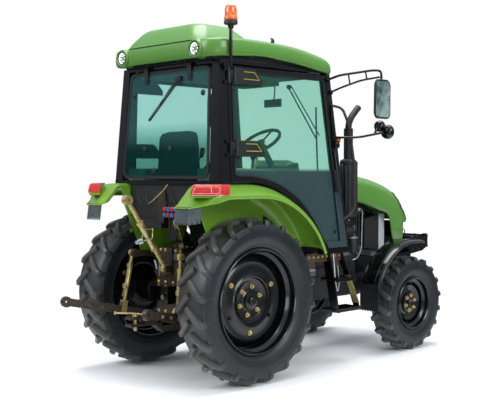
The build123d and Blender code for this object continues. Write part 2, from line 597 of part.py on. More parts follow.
door_face = door_outline()
window_face = offset(door_face, amount=-DOOR_RIM, kind=Kind.INTERSECTION)
door_slab = extrude(door_face, DOOR_THICK, dir=(-1, 0, 0))
door_hole = extrude(window_face, DOOR_THICK, dir=(-1, 0, 0))
glass_slab = Pos(-(DOOR_THICK - GLASS_THICK) / 2, 0, 0) * extrude(window_face, GLASS_THICK, dir=(-1, 0, 0))
HANDLE_LOW_Z, HANDLE_TOP_Z, HANDLE_SET = 1375.0, 1710.0, 28.0
HANDLE_PROUD = 34.0
handle_low = (CAB_HALF + HANDLE_PROUD, door_front_y(HANDLE_LOW_Z) - HANDLE_SET, HANDLE_LOW_Z)
handle_top = (CAB_HALF + HANDLE_PROUD, door_front_y(HANDLE_TOP_Z) - HANDLE_SET, HANDLE_TOP_Z)
handle = rod(handle_low, handle_top, 11)
for z in (HANDLE_LOW_Z + 30, HANDLE_TOP_Z - 30):
    foot_y = door_front_y(z) - HANDLE_SET
    handle += block(CAB_HALF - 4, CAB_HALF + HANDLE_PROUD, foot_y - 7, foot_y + 7, z - 9, z + 9)
HINGES_Z = (1700.0, 2215.0)
PIN_OUT = 13.0
BARREL_R = 9.0
BARREL_H = 70.0
hinges = []
leaves = []
for z in HINGES_Z:
    hinges.append(block(CAB_HALF, CAB_HALF + 20, DOOR_REAR_Y + 14, DOOR_REAR_Y + 270, z - 42, z + 42))
    hinges.append(rod((CAB_HALF + PIN_OUT, DOOR_REAR_Y, z - BARREL_H / 2),
                      (CAB_HALF + PIN_OUT, DOOR_REAR_Y, z + BARREL_H / 2), BARREL_R))
    hinges.append(block(CAB_HALF + PIN_OUT - 5, CAB_HALF + PIN_OUT + 5, DOOR_REAR_Y, DOOR_REAR_Y + 20,
                        z - BARREL_H / 2, z + BARREL_H / 2))
    for low in (z - BARREL_H / 2 - RUN_GAP - 22, z + BARREL_H / 2 + RUN_GAP):
        leaves.append(rod((CAB_HALF + PIN_OUT, DOOR_REAR_Y, low), (CAB_HALF + PIN_OUT, DOOR_REAR_Y, low + 22),
                          BARREL_R))
        leaves.append(block(CAB_HALF - 3, CAB_HALF + PIN_OUT, DOOR_REAR_Y - 44, DOOR_REAR_Y - 3,
                            low, low + 22))
door_frame = lean_side(door_slab - door_hole + handle + hinges)
door_leaves = lean_side(Part() + leaves)
door_glass = lean_side(glass_slab)
for name, side in SIDES:
    save(f"door_{name}", on_side(door_frame, side))
    save(f"door_glass_{name}", on_side(door_glass, side))

# cab frame: four pillars, sills and headers
A_W = 48.0
pillar_low_y = DOOR_FRONT_LOW_Y + DOOR_GAP
pillar_top_y = door_front_y(CAB_TOP_Z) + DOOR_GAP
x_low, x_top = side_x(CAB_LOW_Z - 30), side_x(CAB_TOP_Z)
front_pillar = post((x_low - PILLAR_W, x_low, pillar_low_y, pillar_low_y + A_W, CAB_LOW_Z - 30),
                    (x_top - PILLAR_W, x_top, pillar_top_y, pillar_top_y + A_W, CAB_TOP_Z))
CAB_SEAT_Z = AXLE_Z + FENDER_R + SEAT_GAP
x_sill = side_x(CAB_SEAT_Z)
rear_pillar = post((REAR_WINDOW_HALF + 8, x_sill, REAR_WALL_Y, DOOR_REAR_Y - DOOR_GAP, CAB_SEAT_Z),
                   (x_top - 75, x_top, rear_y(CAB_TOP_Z), DOOR_REAR_Y - DOOR_GAP, CAB_TOP_Z))
HEADER_H = 24.0
side_header = block(x_top - PILLAR_W, x_top - 3, rear_y(CAB_TOP_Z), pillar_top_y + A_W, CAB_TOP_Z - HEADER_H,
                    CAB_TOP_Z)
side_sill = block(x_low - PILLAR_W, x_low - 2, arc_point(arc_low)[1], pillar_low_y + A_W, CAB_LOW_Z - 40,
                  CAB_LOW_Z - DOOR_GAP)
cab_frame = both_sides(front_pillar + rear_pillar + side_header + side_sill + door_leaves)
cab_frame += block(-x_top, x_top, rear_y(CAB_TOP_Z), rear_y(CAB_TOP_Z) + 50, CAB_TOP_Z - HEADER_H, CAB_TOP_Z)
cab_frame += block(-x_top, x_top, pillar_top_y, pillar_top_y + A_W, CAB_TOP_Z - HEADER_H, CAB_TOP_Z)
cab_frame += block(-x_sill, x_sill, REAR_WALL_Y, REAR_WALL_Y + 50, CAB_SEAT_Z, SILL_Z - 6)
cab_frame += block(-x_low, x_low, pillar_low_y, pillar_low_y + A_W, CAB_LOW_Z - 40, CAB_LOW_Z)
WINDOW_PIN_Z = CAB_TOP_Z - 12
WINDOW_PIN_Y = rear_y(CAB_TOP_Z) - 20
WINDOW_ARM_X = 250.0
ear = block(WINDOW_ARM_X - 34, WINDOW_ARM_X - 20 - RUN_GAP, WINDOW_PIN_Y - 10, rear_y(CAB_TOP_Z) + 5,
            WINDOW_PIN_Z - 10, WINDOW_PIN_Z + 10)
cab_frame += both_sides(ear)

# post for the beacon, welded to the right rear pillar and clear of the roof
BEACON_Y = -205.0
BEACON_X = ROOF_HALF + 20
BEACON_Z = 2560.0
BEACON_R = 50.0
BEACON_H = 140.0
POST_R = 12.0
cab_frame += block(side_x(2284) - 10, BEACON_X, BEACON_Y - 14, BEACON_Y + 14, 2270, 2298)
cab_frame += rod((BEACON_X, BEACON_Y, 2270), (BEACON_X, BEACON_Y, BEACON_Z), POST_R)
save("cab_frame", cab_frame)

# cab tub: floor, seat platform, rear wall and firewall
PLATFORM_Z = 1220.0
SEAT_POST_HALF = 160.0
TUB_FOOT_HALF = 150.0
FLOOR_T = 30.0
SEAT_CUSHION_H = 90.0
PLATFORM_FRONT_Y = 420.0
TUB_HALF = FENDER_IN_X - SEAT_GAP
TUB_FRONT_Y = pillar_low_y - 12
tub = side_plate([(TUB_FRONT_Y, CAB_LOW_Z), (PLATFORM_FRONT_Y, CAB_LOW_Z), (PLATFORM_FRONT_Y, PLATFORM_Z),
                  (REAR_WALL_Y + 50, PLATFORM_Z), (REAR_WALL_Y + 50, CAB_SEAT_Z),
                  (REAR_WALL_Y + 20, CAB_SEAT_Z),
                  (REAR_WALL_Y + 20, PLATFORM_Z - FLOOR_T), (PLATFORM_FRONT_Y - FLOOR_T, PLATFORM_Z - FLOOR_T),
                  (PLATFORM_FRONT_Y - FLOOR_T, CAB_LOW_Z - FLOOR_T), (TUB_FRONT_Y, CAB_LOW_Z - FLOOR_T)],
                 -TUB_HALF, TUB_HALF)
floor_side = block(TUB_HALF, x_low - PILLAR_W - SEAT_GAP, DOOR_ARC_R * 0.93, TUB_FRONT_Y, CAB_LOW_Z - FLOOR_T,
                   CAB_LOW_Z)
tub += both_sides(floor_side)
tub += block(-TUB_FOOT_HALF, TUB_FOOT_HALF, 90, 240, GEARBOX_TOP_Z, PLATFORM_Z - FLOOR_T)
tub += block(-TUB_FOOT_HALF, TUB_FOOT_HALF, PLATFORM_FRONT_Y, 900, GEARBOX_TOP_Z - 8, CAB_LOW_Z - 30)
tub += block(-SEAT_POST_HALF, SEAT_POST_HALF, SEAT_Y - 180, SEAT_Y + 180, PLATFORM_Z, SEAT_Z - SEAT_CUSHION_H)
save("cab_floor", tub)

FIREWALL_TOP = 1540.0
fire_low, fire_top = side_x(CAB_LOW_Z) - PILLAR_W - SEAT_GAP, side_x(FIREWALL_TOP) - PILLAR_W - SEAT_GAP
firewall = post((-fire_low, fire_low, pillar_low_y + 10, pillar_low_y + 30, CAB_LOW_Z),
                (-fire_top, fire_top,
                 door_front_y(FIREWALL_TOP) + 16, door_front_y(FIREWALL_TOP) + 36, FIREWALL_TOP))
# the ear reaches forward below the bonnet's rear edge, which swings down behind the pin
EAR_DROP = 60.0
EAR_H = 32.0
EAR_T = 16.0
ear_low_z = HOOD_PIN_Z - EAR_DROP - EAR_H
hood_ear = block(HOOD_LUG_X - EAR_T, HOOD_LUG_X - RUN_GAP, door_front_y(ear_low_z) + 30, HOOD_PIN_Y + EAR_T,
                 ear_low_z, HOOD_PIN_Z - EAR_DROP)
hood_ear += block(HOOD_LUG_X - EAR_T, HOOD_LUG_X - RUN_GAP, HOOD_PIN_Y - EAR_T, HOOD_PIN_Y + EAR_T,
                  ear_low_z, HOOD_PIN_Z + EAR_T)
hood_ear -= rod((HOOD_LUG_X - 20, HOOD_PIN_Y, HOOD_PIN_Z), (HOOD_LUG_X + 5, HOOD_PIN_Y, HOOD_PIN_Z),
                HOOD_PIN_R + RUN_GAP)
save("firewall", firewall + both_sides(hood_ear))
screen_low_y, screen_top_y = door_front_y(FIREWALL_TOP) + 20, pillar_top_y + 14
screen_top = x_top - PILLAR_W - SEAT_GAP
windscreen = post((-fire_top, fire_top, screen_low_y, screen_low_y + GLASS_THICK, FIREWALL_TOP),
                  (-screen_top, screen_top, screen_top_y, screen_top_y + GLASS_THICK, CAB_TOP_Z - HEADER_H))
save("windscreen", windscreen)

# rear window on two hinges at its head
REAR_WINDOW_LOW = SILL_Z + 4
REAR_WINDOW_TOP = CAB_TOP_Z - 34
window_low_half = REAR_WINDOW_HALF
window_top_half = x_top - 85
right_edge = [(window_low_half, REAR_WINDOW_LOW), (window_top_half, REAR_WINDOW_TOP)]
pane_outline = right_edge + [(-x, z) for x, z in reversed(right_edge)]
pane = make_face(Polyline(*[(x, REAR_WALL_Y, z) for x, z in pane_outline], close=True))
pane = extrude(pane, GLASS_THICK, dir=(0, 1, 0))
rear_glass = lean_rear(pane)
window_arm = post((WINDOW_ARM_X - 20, WINDOW_ARM_X + 20, rear_y(REAR_WINDOW_TOP - 80) - 10,
                   rear_y(REAR_WINDOW_TOP - 80) + 2, REAR_WINDOW_TOP - 80),
                  (WINDOW_ARM_X - 20, WINDOW_ARM_X + 20, WINDOW_PIN_Y - 8, WINDOW_PIN_Y + 6, WINDOW_PIN_Z))
window_arm += rod((WINDOW_ARM_X - 20, WINDOW_PIN_Y, WINDOW_PIN_Z),
                  (WINDOW_ARM_X + 20, WINDOW_PIN_Y, WINDOW_PIN_Z), BARREL_R)
rear_glass += both_sides(window_arm)
save("rear_window", rear_glass)

# roof: rounded plans drawn in as they rise, under a crowned top and over an arched lower edge
ROOF_FRONT_CORNER = 110.0
ROOF_RINGS = ((35.0, CAB_TOP_Z - 40), (0.0, CAB_TOP_Z + 55), (6.0, CAB_TOP_Z + 110), (25.0, CAB_TOP_Z + 145),
              (90.0, CAB_TOP_Z + 182))
ROOF_FRONT_Y = ROOF_REAR_Y + ROOF_LENGTH


def roof_plan(inset, z):
    """Level outline of the roof, drawn in by an inset, with its own corners front and rear."""
    middle_y = (ROOF_REAR_Y + ROOF_FRONT_Y) / 2
    plan = Pos(0, middle_y, 0) * Rectangle(2 * (ROOF_HALF - inset), ROOF_LENGTH - 2 * inset)
    plan = fillet(plan.vertices().group_by(Axis.Y)[0], ROOF_CORNER)
    plan = fillet(plan.vertices().filter_by(lambda v: v.Y > ROOF_FRONT_Y - inset - 1), ROOF_FRONT_CORNER)
    return Pos(0, 0, z) * plan


roof = loft([roof_plan(inset, z) for inset, z in ROOF_RINGS], ruled=True)
roof_low = ThreePointArc((-ROOF_HALF, ROOF_REAR_Y - 1, CAB_TOP_Z + 8), (-ROOF_HALF, 150, CAB_TOP_Z + 44),
                         (-ROOF_HALF, ROOF_FRONT_Y + 1, CAB_TOP_Z - 26))
roof_top = ThreePointArc((-ROOF_HALF, ROOF_REAR_Y - 1, CAB_TOP_Z + 135), (-ROOF_HALF, 250, CAB_TOP_Z + 184),
                         (-ROOF_HALF, ROOF_FRONT_Y + 1, CAB_TOP_Z + 108))
roof_side = make_face([roof_low, Line(roof_low @ 1, roof_top @ 1), roof_top,
                       Line(roof_top @ 0, roof_low @ 0)])
roof &= extrude(roof_side, 2 * ROOF_HALF, dir=(1, 0, 0))
# below the cab's top only the side lips hang down, clear of the doors
roof -= block(-CAB_HALF + 52, CAB_HALF - 52, ROOF_REAR_Y - 5, ROOF_FRONT_Y + 5, CAB_TOP_Z - 60,
              CAB_TOP_Z + SEAT_GAP)
ROOF_PAN_HALF = 540.0
roof += block(-ROOF_PAN_HALF, ROOF_PAN_HALF, rear_y(CAB_TOP_Z) + 7, pillar_top_y + A_W - 12,
              CAB_TOP_Z + SEAT_GAP, CAB_TOP_Z + 70)
# raised housing of the ventilation at the rear: (half width, rear y, front y, z) low and high
HUMP = ((415.0, -322.0, 210.0, CAB_TOP_Z + 150), (290.0, -210.0, 130.0, CAB_TOP_Z + 285))
HUMP_CORNER = 60.0
hump_ends = [Pos(0, (rear + front) / 2, z) * RectangleRounded(2 * half, front - rear, HUMP_CORNER)
             for half, rear, front, z in HUMP]
roof += loft(hump_ends, ruled=True)
WORK_LAMP_X = 420.0
WORK_LAMP_R = 44.0
WORK_LAMP_Z = CAB_TOP_Z + 72
LAMP_BULGE_R = 68.0
LAMP_DEPTH = 50.0
bulge_rear_y = ROOF_REAR_Y - 17
lens_y = bulge_rear_y + 3
bulges = []
for x in (-WORK_LAMP_X, WORK_LAMP_X):
    roof -= block(x - WORK_LAMP_R - 12, x + WORK_LAMP_R + 12, bulge_rear_y - 5, bulge_rear_y + 100,
                  WORK_LAMP_Z - WORK_LAMP_R - 12, WORK_LAMP_Z + WORK_LAMP_R + 12)
    bulge = rod((x, bulge_rear_y, WORK_LAMP_Z), (x, bulge_rear_y + 160, WORK_LAMP_Z), LAMP_BULGE_R)
    bulges.append(bulge - rod((x, bulge_rear_y - 5, WORK_LAMP_Z),
                              (x, lens_y + LAMP_DEPTH + SEAT_GAP, WORK_LAMP_Z), WORK_LAMP_R + SEAT_GAP))
roof += bulges
save("roof", roof)
lamps = both_sides(rod((WORK_LAMP_X, lens_y, WORK_LAMP_Z), (WORK_LAMP_X, lens_y + LAMP_DEPTH, WORK_LAMP_Z),
                       WORK_LAMP_R))
save("work_lamps", lamps)

# amber beacon on its post
beacon = rod((BEACON_X, BEACON_Y, BEACON_Z + SEAT_GAP), (BEACON_X, BEACON_Y, BEACON_Z + BEACON_H), BEACON_R)
save("beacon", beacon)

# =========================================================== inside the cab
cushion = block(-SEAT_WIDTH / 2, SEAT_WIDTH / 2, SEAT_Y - 190, SEAT_Y + 260,
                SEAT_Z - SEAT_CUSHION_H + SEAT_GAP, SEAT_Z)
save("seat_cushion", cushion)
backrest = block(-SEAT_WIDTH / 2, SEAT_WIDTH / 2, SEAT_Y - 310, SEAT_Y - 190 - SEAT_GAP,
                 SEAT_Z - SEAT_CUSHION_H, SEAT_TOP_Z)
save("seat_back", backrest)

DASH_Y = 900.0
DASH_TOP_Z = 1610.0
DASH_HALF = 200.0
dash = side_plate([(DASH_Y - 60, CAB_LOW_Z), (DASH_Y + 110, CAB_LOW_Z), (DASH_Y + 90, DASH_TOP_Z - 110),
                   (DASH_Y + 60, DASH_TOP_Z), (DASH_Y - 40, DASH_TOP_Z - 20), (DASH_Y - 70, DASH_TOP_Z - 110)],
                  -DASH_HALF, DASH_HALF)
WHEEL_Y, WHEEL_Z, WHEEL_RAKE = 720.0, 1780.0, 35.0
STEM_R = 26.0
STEM_LEN = 300.0
to_wheel = Pos(0, WHEEL_Y, WHEEL_Z) * Rot(WHEEL_RAKE, 0, 0)
column = to_wheel * rod((0, 0, -24 - RUN_GAP), (0, 0, -STEM_LEN), STEM_R)
save("dashboard", dash + column)
WHEEL_ROD_R = 15.0
rim_r = STEERING_WHEEL_R - WHEEL_ROD_R
steering = Torus(rim_r, WHEEL_ROD_R) + Pos(0, 0, -14) * Cylinder(34, 20)
steering += [Rot(0, 0, angle) * block(0, rim_r, -12, 12, -8, 2) for angle in (90, 210, 330)]
save("steering_wheel", to_wheel * steering)

# =========================================================== rear fenders
lip_r = FENDER_EDGE_R - FENDER_LIP
WALL_DROP = 160.0
CROWN_Z = AXLE_Z + FENDER_R
EDGE_Z = AXLE_Z + FENDER_EDGE_R
outer_path = [(FENDER_IN_X, FENDER_R - WALL_DROP), (FENDER_IN_X, FENDER_R), (FENDER_CROWN_X, FENDER_R),
              (FENDER_OUT_X, FENDER_EDGE_R), (FENDER_OUT_X, lip_r)]
inner_path = [(FENDER_OUT_X - SHEET, lip_r), (FENDER_OUT_X - SHEET, FENDER_EDGE_R - SHEET),
              (FENDER_CROWN_X - SHEET, FENDER_R - SHEET), (FENDER_IN_X + SHEET, FENDER_R - SHEET),
              (FENDER_IN_X + SHEET, FENDER_R - WALL_DROP)]
section = make_face(Polyline(*[(x, 0, AXLE_Z + r) for x, r in outer_path + inner_path], close=True))
wheel_axis = Axis((0, 0, AXLE_Z), (1, 0, 0))
arc_part = revolve(section, wheel_axis, -(90 - FENDER_FRONT_ANGLE))
SLOPE_Y = FENDER_REAR_Y + 165
SLOPE_DROP = 147.0
CORNER_CUT = 150.0
COVER_LOW_Z = FENDER_SKIRT_Z - 130


def rear_cover(inset):
    """The fender's rear end as a full form: level crown, slope down to the rear, corner cut across."""
    out_x, end_y, top_z = FENDER_OUT_X - inset, FENDER_REAR_Y + inset, CROWN_Z - inset
    open_y = 0 if inset <= 0 else 5
    across = [(FENDER_IN_X + inset, COVER_LOW_Z), (out_x, COVER_LOW_Z), (out_x, EDGE_Z - inset),
              (FENDER_CROWN_X - inset / 4, top_z), (FENDER_IN_X + inset, top_z)]
    along = [(open_y, COVER_LOW_Z), (end_y, COVER_LOW_Z), (end_y, CROWN_Z - SLOPE_DROP - inset),
             (SLOPE_Y + inset / 3, top_z), (open_y, top_z)]
    plan = [(0, open_y), (out_x, open_y), (out_x, FENDER_REAR_Y + CORNER_CUT + inset / 3),
            (FENDER_OUT_X - CORNER_CUT - inset / 3, end_y), (0, end_y)]
    form = extrude(make_face(Polyline(*[(x, open_y, z) for x, z in across], close=True)), open_y - end_y,
                   dir=(0, -1, 0))
    form &= side_plate(along, 0, FENDER_OUT_X)
    return form & extrude(make_face(Polyline(*[(x, y, COVER_LOW_Z) for x, y in plan], close=True)),
                          CROWN_Z - COVER_LOW_Z, dir=(0, 0, 1))


rear_end = rear_cover(0) - rear_cover(SHEET)
# the lower edge is level beside the tyre and falls to the skirt at the rear
rear_end -= side_plate([(5, COVER_LOW_Z - 5), (5, AXLE_Z + lip_r), (FENDER_REAR_Y + 235, AXLE_Z + lip_r),
                        (FENDER_REAR_Y - 5, FENDER_SKIRT_Z), (FENDER_REAR_Y - 5, COVER_LOW_Z - 5)],
                       FENDER_IN_X + SHEET, FENDER_OUT_X + 5)
rear_end -= block(FENDER_IN_X - 5, FENDER_IN_X + SHEET, FENDER_REAR_Y - 5, 5, COVER_LOW_Z - 5, FENDER_SKIRT_Z)
inner_wall = side_plate([(FENDER_REAR_Y + 40, FENDER_SKIRT_Z), (-150, 880), (200, 880),
                         (300, AXLE_Z + FENDER_R - 200), (0, AXLE_Z + FENDER_R - 140)],
                        FENDER_IN_X, FENDER_IN_X + SHEET)
fender = arc_part + rear_end + inner_wall
for name, side in SIDES:
    save(f"rear_fender_{name}", on_side(fender, side))

# rubber flap with a toothed edge, hung inside the skirt
FLAP_T = 7.0
FLAP_LOW_Z = FENDER_SKIRT_Z - 116
TOOTH_PITCH = 26.0
TOOTH_H = 14.0
flap = rear_cover(SHEET + SEAT_GAP) - rear_cover(SHEET + SEAT_GAP + FLAP_T)
flap &= block(FENDER_IN_X + 2 * SHEET, FENDER_OUT_X, FENDER_REAR_Y, FENDER_REAR_Y + 130, FLAP_LOW_Z,
              FENDER_SKIRT_Z + 8)
tooth_x = FENDER_IN_X + 2 * SHEET + TOOTH_PITCH / 2
while tooth_x < FENDER_OUT_X - TOOTH_PITCH:
    flap -= block(tooth_x, tooth_x + TOOTH_PITCH / 2, FENDER_REAR_Y - 5, FENDER_REAR_Y + 140, FLAP_LOW_Z - 5,
                  FLAP_LOW_Z + TOOTH_H)
    tooth_x += TOOTH_PITCH
save("mud_flaps", both_sides(flap))

# tail lamp standing across the fender's corner, cut to its sloping crown
TAIL_X, TAIL_Y = 655.0, -415.0
TAIL_LEN, TAIL_DEPTH = 280.0, 90.0
tail = block(-TAIL_LEN / 2, TAIL_LEN / 2, -TAIL_DEPTH / 2, TAIL_DEPTH / 2, CROWN_Z - 80, CROWN_Z + 6)
tail = Pos(TAIL_X, TAIL_Y, 0) * Rot(0, 0, 45) * tail
tail &= block(0, FENDER_OUT_X + 4, FENDER_REAR_Y, 0, 0, CROWN_Z + 50)
tail -= rear_cover(-SEAT_GAP)
save("tail_lamps", both_sides(tail))

# =========================================================== steps, mirrors, rails
STEP_X0, STEP_X1 = 480.0, 650.0
HANGER_X = side_x(CAB_LOW_Z) - PILLAR_W + 10
HANGER_T = 12.0
HANGER_TOP_Z = CAB_LOW_Z - 40
# treads as (rear y, front y, lower face z)
TREADS = ((930.0, 1250.0, 415.0), (917.0, 1178.0, 660.0))
TREAD_T = 20.0
step = Part() + [block(STEP_X0, STEP_X1, rear, front, z, z + TREAD_T) for rear, front, z in TREADS]
low_rear, low_front, low_z = TREADS[0]
step += side_plate([(low_rear, low_z), (low_front, low_z), (low_front - 130, HANGER_TOP_Z),
                    (low_rear, HANGER_TOP_Z)], HANGER_X, HANGER_X + HANGER_T)
save("steps", both_sides(step))

MIRROR_X = 950.0
MIRROR_LOW_Z, MIRROR_TOP_Z = 1950.0, 2240.0
ARM_Z, LAMP_ARM_Z = 2200.0, 1806.0
ROOT_GAP = 0.8
ARM_R, LAMP_ARM_R = 11.0, 10.0
ARM_TOP_Z = MIRROR_TOP_Z + 70
MIRROR_REAR_Y, MIRROR_FRONT_Y = 1000.0, 1190.0
MIRROR_T = 36.0
SIDE_LAMP_Z = 1850.0
SIDE_LAMP_R = 45.0
LAMP_ROOT_Y = 1159.6
mirror_y = (MIRROR_REAR_Y + MIRROR_FRONT_Y) / 2
root_x = side_x(ARM_Z)
root_y = door_front_y(ARM_Z) + DOOR_GAP + A_W / 2
arm = tube([(root_x + ROOT_GAP, root_y, ARM_Z), (root_x + 60, root_y, ARM_Z),
            (root_x + 120, root_y + 30, ARM_TOP_Z - 20), (MIRROR_X, mirror_y, ARM_TOP_Z), (MIRROR_X, mirror_y, MIRROR_TOP_Z + SEAT_GAP)], ARM_R, 30)
lamp_root_x = side_x(LAMP_ARM_Z)
lamp_root_y = door_front_y(LAMP_ARM_Z) + DOOR_GAP + A_W / 2
lower_arm = tube([(lamp_root_x + ROOT_GAP, lamp_root_y, LAMP_ARM_Z),
                  (lamp_root_x + 60, lamp_root_y, LAMP_ARM_Z), (MIRROR_X - 200, mirror_y - 35, LAMP_ARM_Z),
                  (MIRROR_X, LAMP_ROOT_Y - 9, SIDE_LAMP_Z)], LAMP_ARM_R, 60)
head = block(MIRROR_X - MIRROR_T / 2, MIRROR_X + MIRROR_T / 2, MIRROR_REAR_Y, MIRROR_FRONT_Y, MIRROR_LOW_Z,
             MIRROR_TOP_Z)
save("mirror_arms", both_sides(arm + lower_arm))
save("mirrors", both_sides(head))
side_lamp = rod((MIRROR_X + 5, LAMP_ROOT_Y, SIDE_LAMP_Z), (MIRROR_X + 5, LAMP_ROOT_Y + 75, SIDE_LAMP_Z),
                SIDE_LAMP_R)
save("side_lamps", both_sides(side_lamp))

# =========================================================== hitch
SHAFT_R = 34.0
HOUSING_HALF = 130.0
HOUSING_TOP_Z = ROCKSHAFT_Z + 60
housing = block(-HOUSING_HALF, HOUSING_HALF, GEARBOX_REAR_Y, 60, GEARBOX_TOP_Z, HOUSING_TOP_Z)
housing += both_sides(rod((HOUSING_HALF - 10, ROCKSHAFT_Y, ROCKSHAFT_Z), (LIFT_ARM_X - 22 - RUN_GAP, ROCKSHAFT_Y,
                                                                       ROCKSHAFT_Z), SHAFT_R + 16))
housing -= block(-BODY_HALF, BODY_HALF, GEARBOX_REAR_Y - 5, 60, GEARBOX_TOP_Z - 60, GEARBOX_TOP_Z)
housing -= rod((-LIFT_ARM_X, ROCKSHAFT_Y, ROCKSHAFT_Z), (LIFT_ARM_X, ROCKSHAFT_Y, ROCKSHAFT_Z), SHAFT_R + SEAT_GAP)
TOP_PIN_R = 9.5
TOP_EYE_HALF = 19.0
TOP_PIN_Y = TOP_LINK_Y - 60
housing += block(-34, 34, GEARBOX_REAR_Y - 14, GEARBOX_REAR_Y, TOP_LINK_Z - 50, HOUSING_TOP_Z)
housing += both_sides(block(TOP_EYE_HALF + RUN_GAP, 34, TOP_PIN_Y - 22, GEARBOX_REAR_Y - 10, TOP_LINK_Z - 24,
                            TOP_LINK_Z + 24))
housing += rod((-40, TOP_PIN_Y, TOP_LINK_Z), (40, TOP_PIN_Y, TOP_LINK_Z), TOP_PIN_R)
save("lift_housing", housing)

ARM_RISE = 3.6
ARM_PIN_R = 14.0
ARM_HALF = 16.0
ROD_EYE_W = 26.0
arms = rod((-LIFT_ARM_X, 0, 0), (LIFT_ARM_X, 0, 0), SHAFT_R)
for name, side in SIDES:
    at = Pos(side * LIFT_ARM_X, 0, 0)
    arms += at * block(-ARM_HALF, ARM_HALF, -LIFT_ARM_LEN, 0, -24, 24)
    arms += at * rod((-22, 0, 0), (22, 0, 0), 50)
    arms += at * rod((-ARM_HALF, -LIFT_ARM_LEN, 0), (ARM_HALF, -LIFT_ARM_LEN, 0), 32)
    pin_end = side * (ARM_HALF + RUN_GAP + ROD_EYE_W + 6)
    arms += at * rod((0, -LIFT_ARM_LEN, 0), (pin_end, -LIFT_ARM_LEN, 0), ARM_PIN_R)
save("lift_arms", Pos(0, ROCKSHAFT_Y, ROCKSHAFT_Z) * Rot(-ARM_RISE, 0, 0) * arms)

BAR_HALF, BAR_H = LINK_BAR[0] / 2, LINK_BAR[1]
FORK_GAP = 12.0
FORK_T = 8.0
FORK_LIFT = 56.0
rod_top = (ARM_HALF + RUN_GAP + ROD_EYE_W / 2 + LIFT_ARM_X,
           ROCKSHAFT_Y - LIFT_ARM_LEN * cos(radians(ARM_RISE)),
           ROCKSHAFT_Z + LIFT_ARM_LEN * sin(radians(ARM_RISE)))
for name, (side, reach, sway) in LINKS.items():
    link = block(-BAR_HALF, BAR_HALF, -reach + LINK_EYE_R - 6, 0, -BAR_H / 2, BAR_H / 2)
    link += rod((-16, -reach, 0), (16, -reach, 0), LINK_EYE_R)
    link -= rod((-20, -reach, 0), (20, -reach, 0), LINK_BORE / 2)
    at_pivot = Pos(side * LINK_PIVOT_X, LINK_PIVOT_Y, LINK_PIVOT_Z)
    to_link = at_pivot * Rot(0, 0, side * sway) * Rot(-LINK_RISE, 0, 0)
    eye = at_pivot * rod((-12, 0, 0), (12, 0, 0), 38)
    bore = at_pivot * rod((-30, 0, 0), (30, 0, 0), LINK_PIN_R + SEAT_GAP)
    save(f"lower_link_{name}", to_link * link + eye - bore)

    # lift rod: eye on the arm's pin, screwed sleeve, fork that straddles the link's bar
    fork = [block(s * (BAR_HALF + FORK_GAP), s * (BAR_HALF + FORK_GAP + FORK_T), -ROD_PICKUP - 20, -ROD_PICKUP + 20,
                  -18, FORK_LIFT) for s in (-1, 1)]
    half = BAR_HALF + FORK_GAP + FORK_T
    fork.append(block(-half, half, -ROD_PICKUP - 20, -ROD_PICKUP + 20, FORK_LIFT, FORK_LIFT + 16))
    fork = to_link * (Part() + fork)
    low = to_link * Pos(0, -ROD_PICKUP, FORK_LIFT + 8)
    top = (side * rod_top[0],) + rod_top[1:]
    reach_axis = Vector(*top) - low.position
    sleeve_low = low.position + reach_axis * 0.30
    sleeve_top = low.position + reach_axis * 0.72
    lift_rod = fork + rod(tuple(low.position), top, 12) + rod(tuple(sleeve_low), tuple(sleeve_top), 19)
    eye_x = side * (rod_top[0] - ROD_EYE_W / 2), side * (rod_top[0] + ROD_EYE_W / 2)
    lift_rod += rod((eye_x[0],) + rod_top[1:], (eye_x[1],) + rod_top[1:], 28)
    lift_rod -= rod((side * (LIFT_ARM_X - 5),) + rod_top[1:], (side * (rod_top[0] + 60),) + rod_top[1:],
                    ARM_PIN_R + SEAT_GAP)
    save(f"lift_rod_{name}", lift_rod)

top_link = rod((0, -30, 0), (0, -TOP_LINK_LEN + 30, 0), 16)
top_link += rod((-TOP_EYE_HALF, 0, 0), (TOP_EYE_HALF, 0, 0), 36)
top_link += rod((-22, -TOP_LINK_LEN, 0), (22, -TOP_LINK_LEN, 0), 36)
top_link += rod((0, -180, 0), (0, -430, 0), 24)
top_link -= rod((-25, -TOP_LINK_LEN, 0), (25, -TOP_LINK_LEN, 0), TOP_LINK_BORE / 2)
top_link -= rod((-25, 0, 0), (25, 0, 0), TOP_PIN_R + SEAT_GAP)
save("top_link", Pos(0, TOP_PIN_Y, TOP_LINK_Z) * Rot(-TOP_LINK_ANGLE, 0, 0) * top_link)

# drawbar with its clevis, and the pin dropped through it
BAR_Z, BAR_T, CLEVIS_GAP = 346.0, 32.0, 34.0
CLEVIS_REAR_Y, CLEVIS_FRONT_Y, CLEVIS_Z = -630.0, -500.0, 410.0
CLEVIS_PIN_Y, CLEVIS_PIN_R, DRAWBAR_HALF = -565.0, 13.0, 38.0
drawbar = side_plate([(120, BAR_Z), (CLEVIS_FRONT_Y + 170, BAR_Z), (CLEVIS_FRONT_Y + 90, CLEVIS_Z),
                      (CLEVIS_REAR_Y, CLEVIS_Z), (CLEVIS_REAR_Y, CLEVIS_Z + 20), (CLEVIS_FRONT_Y, CLEVIS_Z + 20),
                      (CLEVIS_FRONT_Y, CLEVIS_Z + 20 + CLEVIS_GAP), (CLEVIS_REAR_Y, CLEVIS_Z + 20 + CLEVIS_GAP),
                      (CLEVIS_REAR_Y, CLEVIS_Z + 40 + CLEVIS_GAP), (CLEVIS_FRONT_Y + 40, CLEVIS_Z + 40 + CLEVIS_GAP),
                      (CLEVIS_FRONT_Y + 100, CLEVIS_Z + 30), (CLEVIS_FRONT_Y + 180, BAR_Z + BAR_T),
                      (120, BAR_Z + BAR_T)], -DRAWBAR_HALF, DRAWBAR_HALF)
hanger_y = GEARBOX_REAR_Y + 60
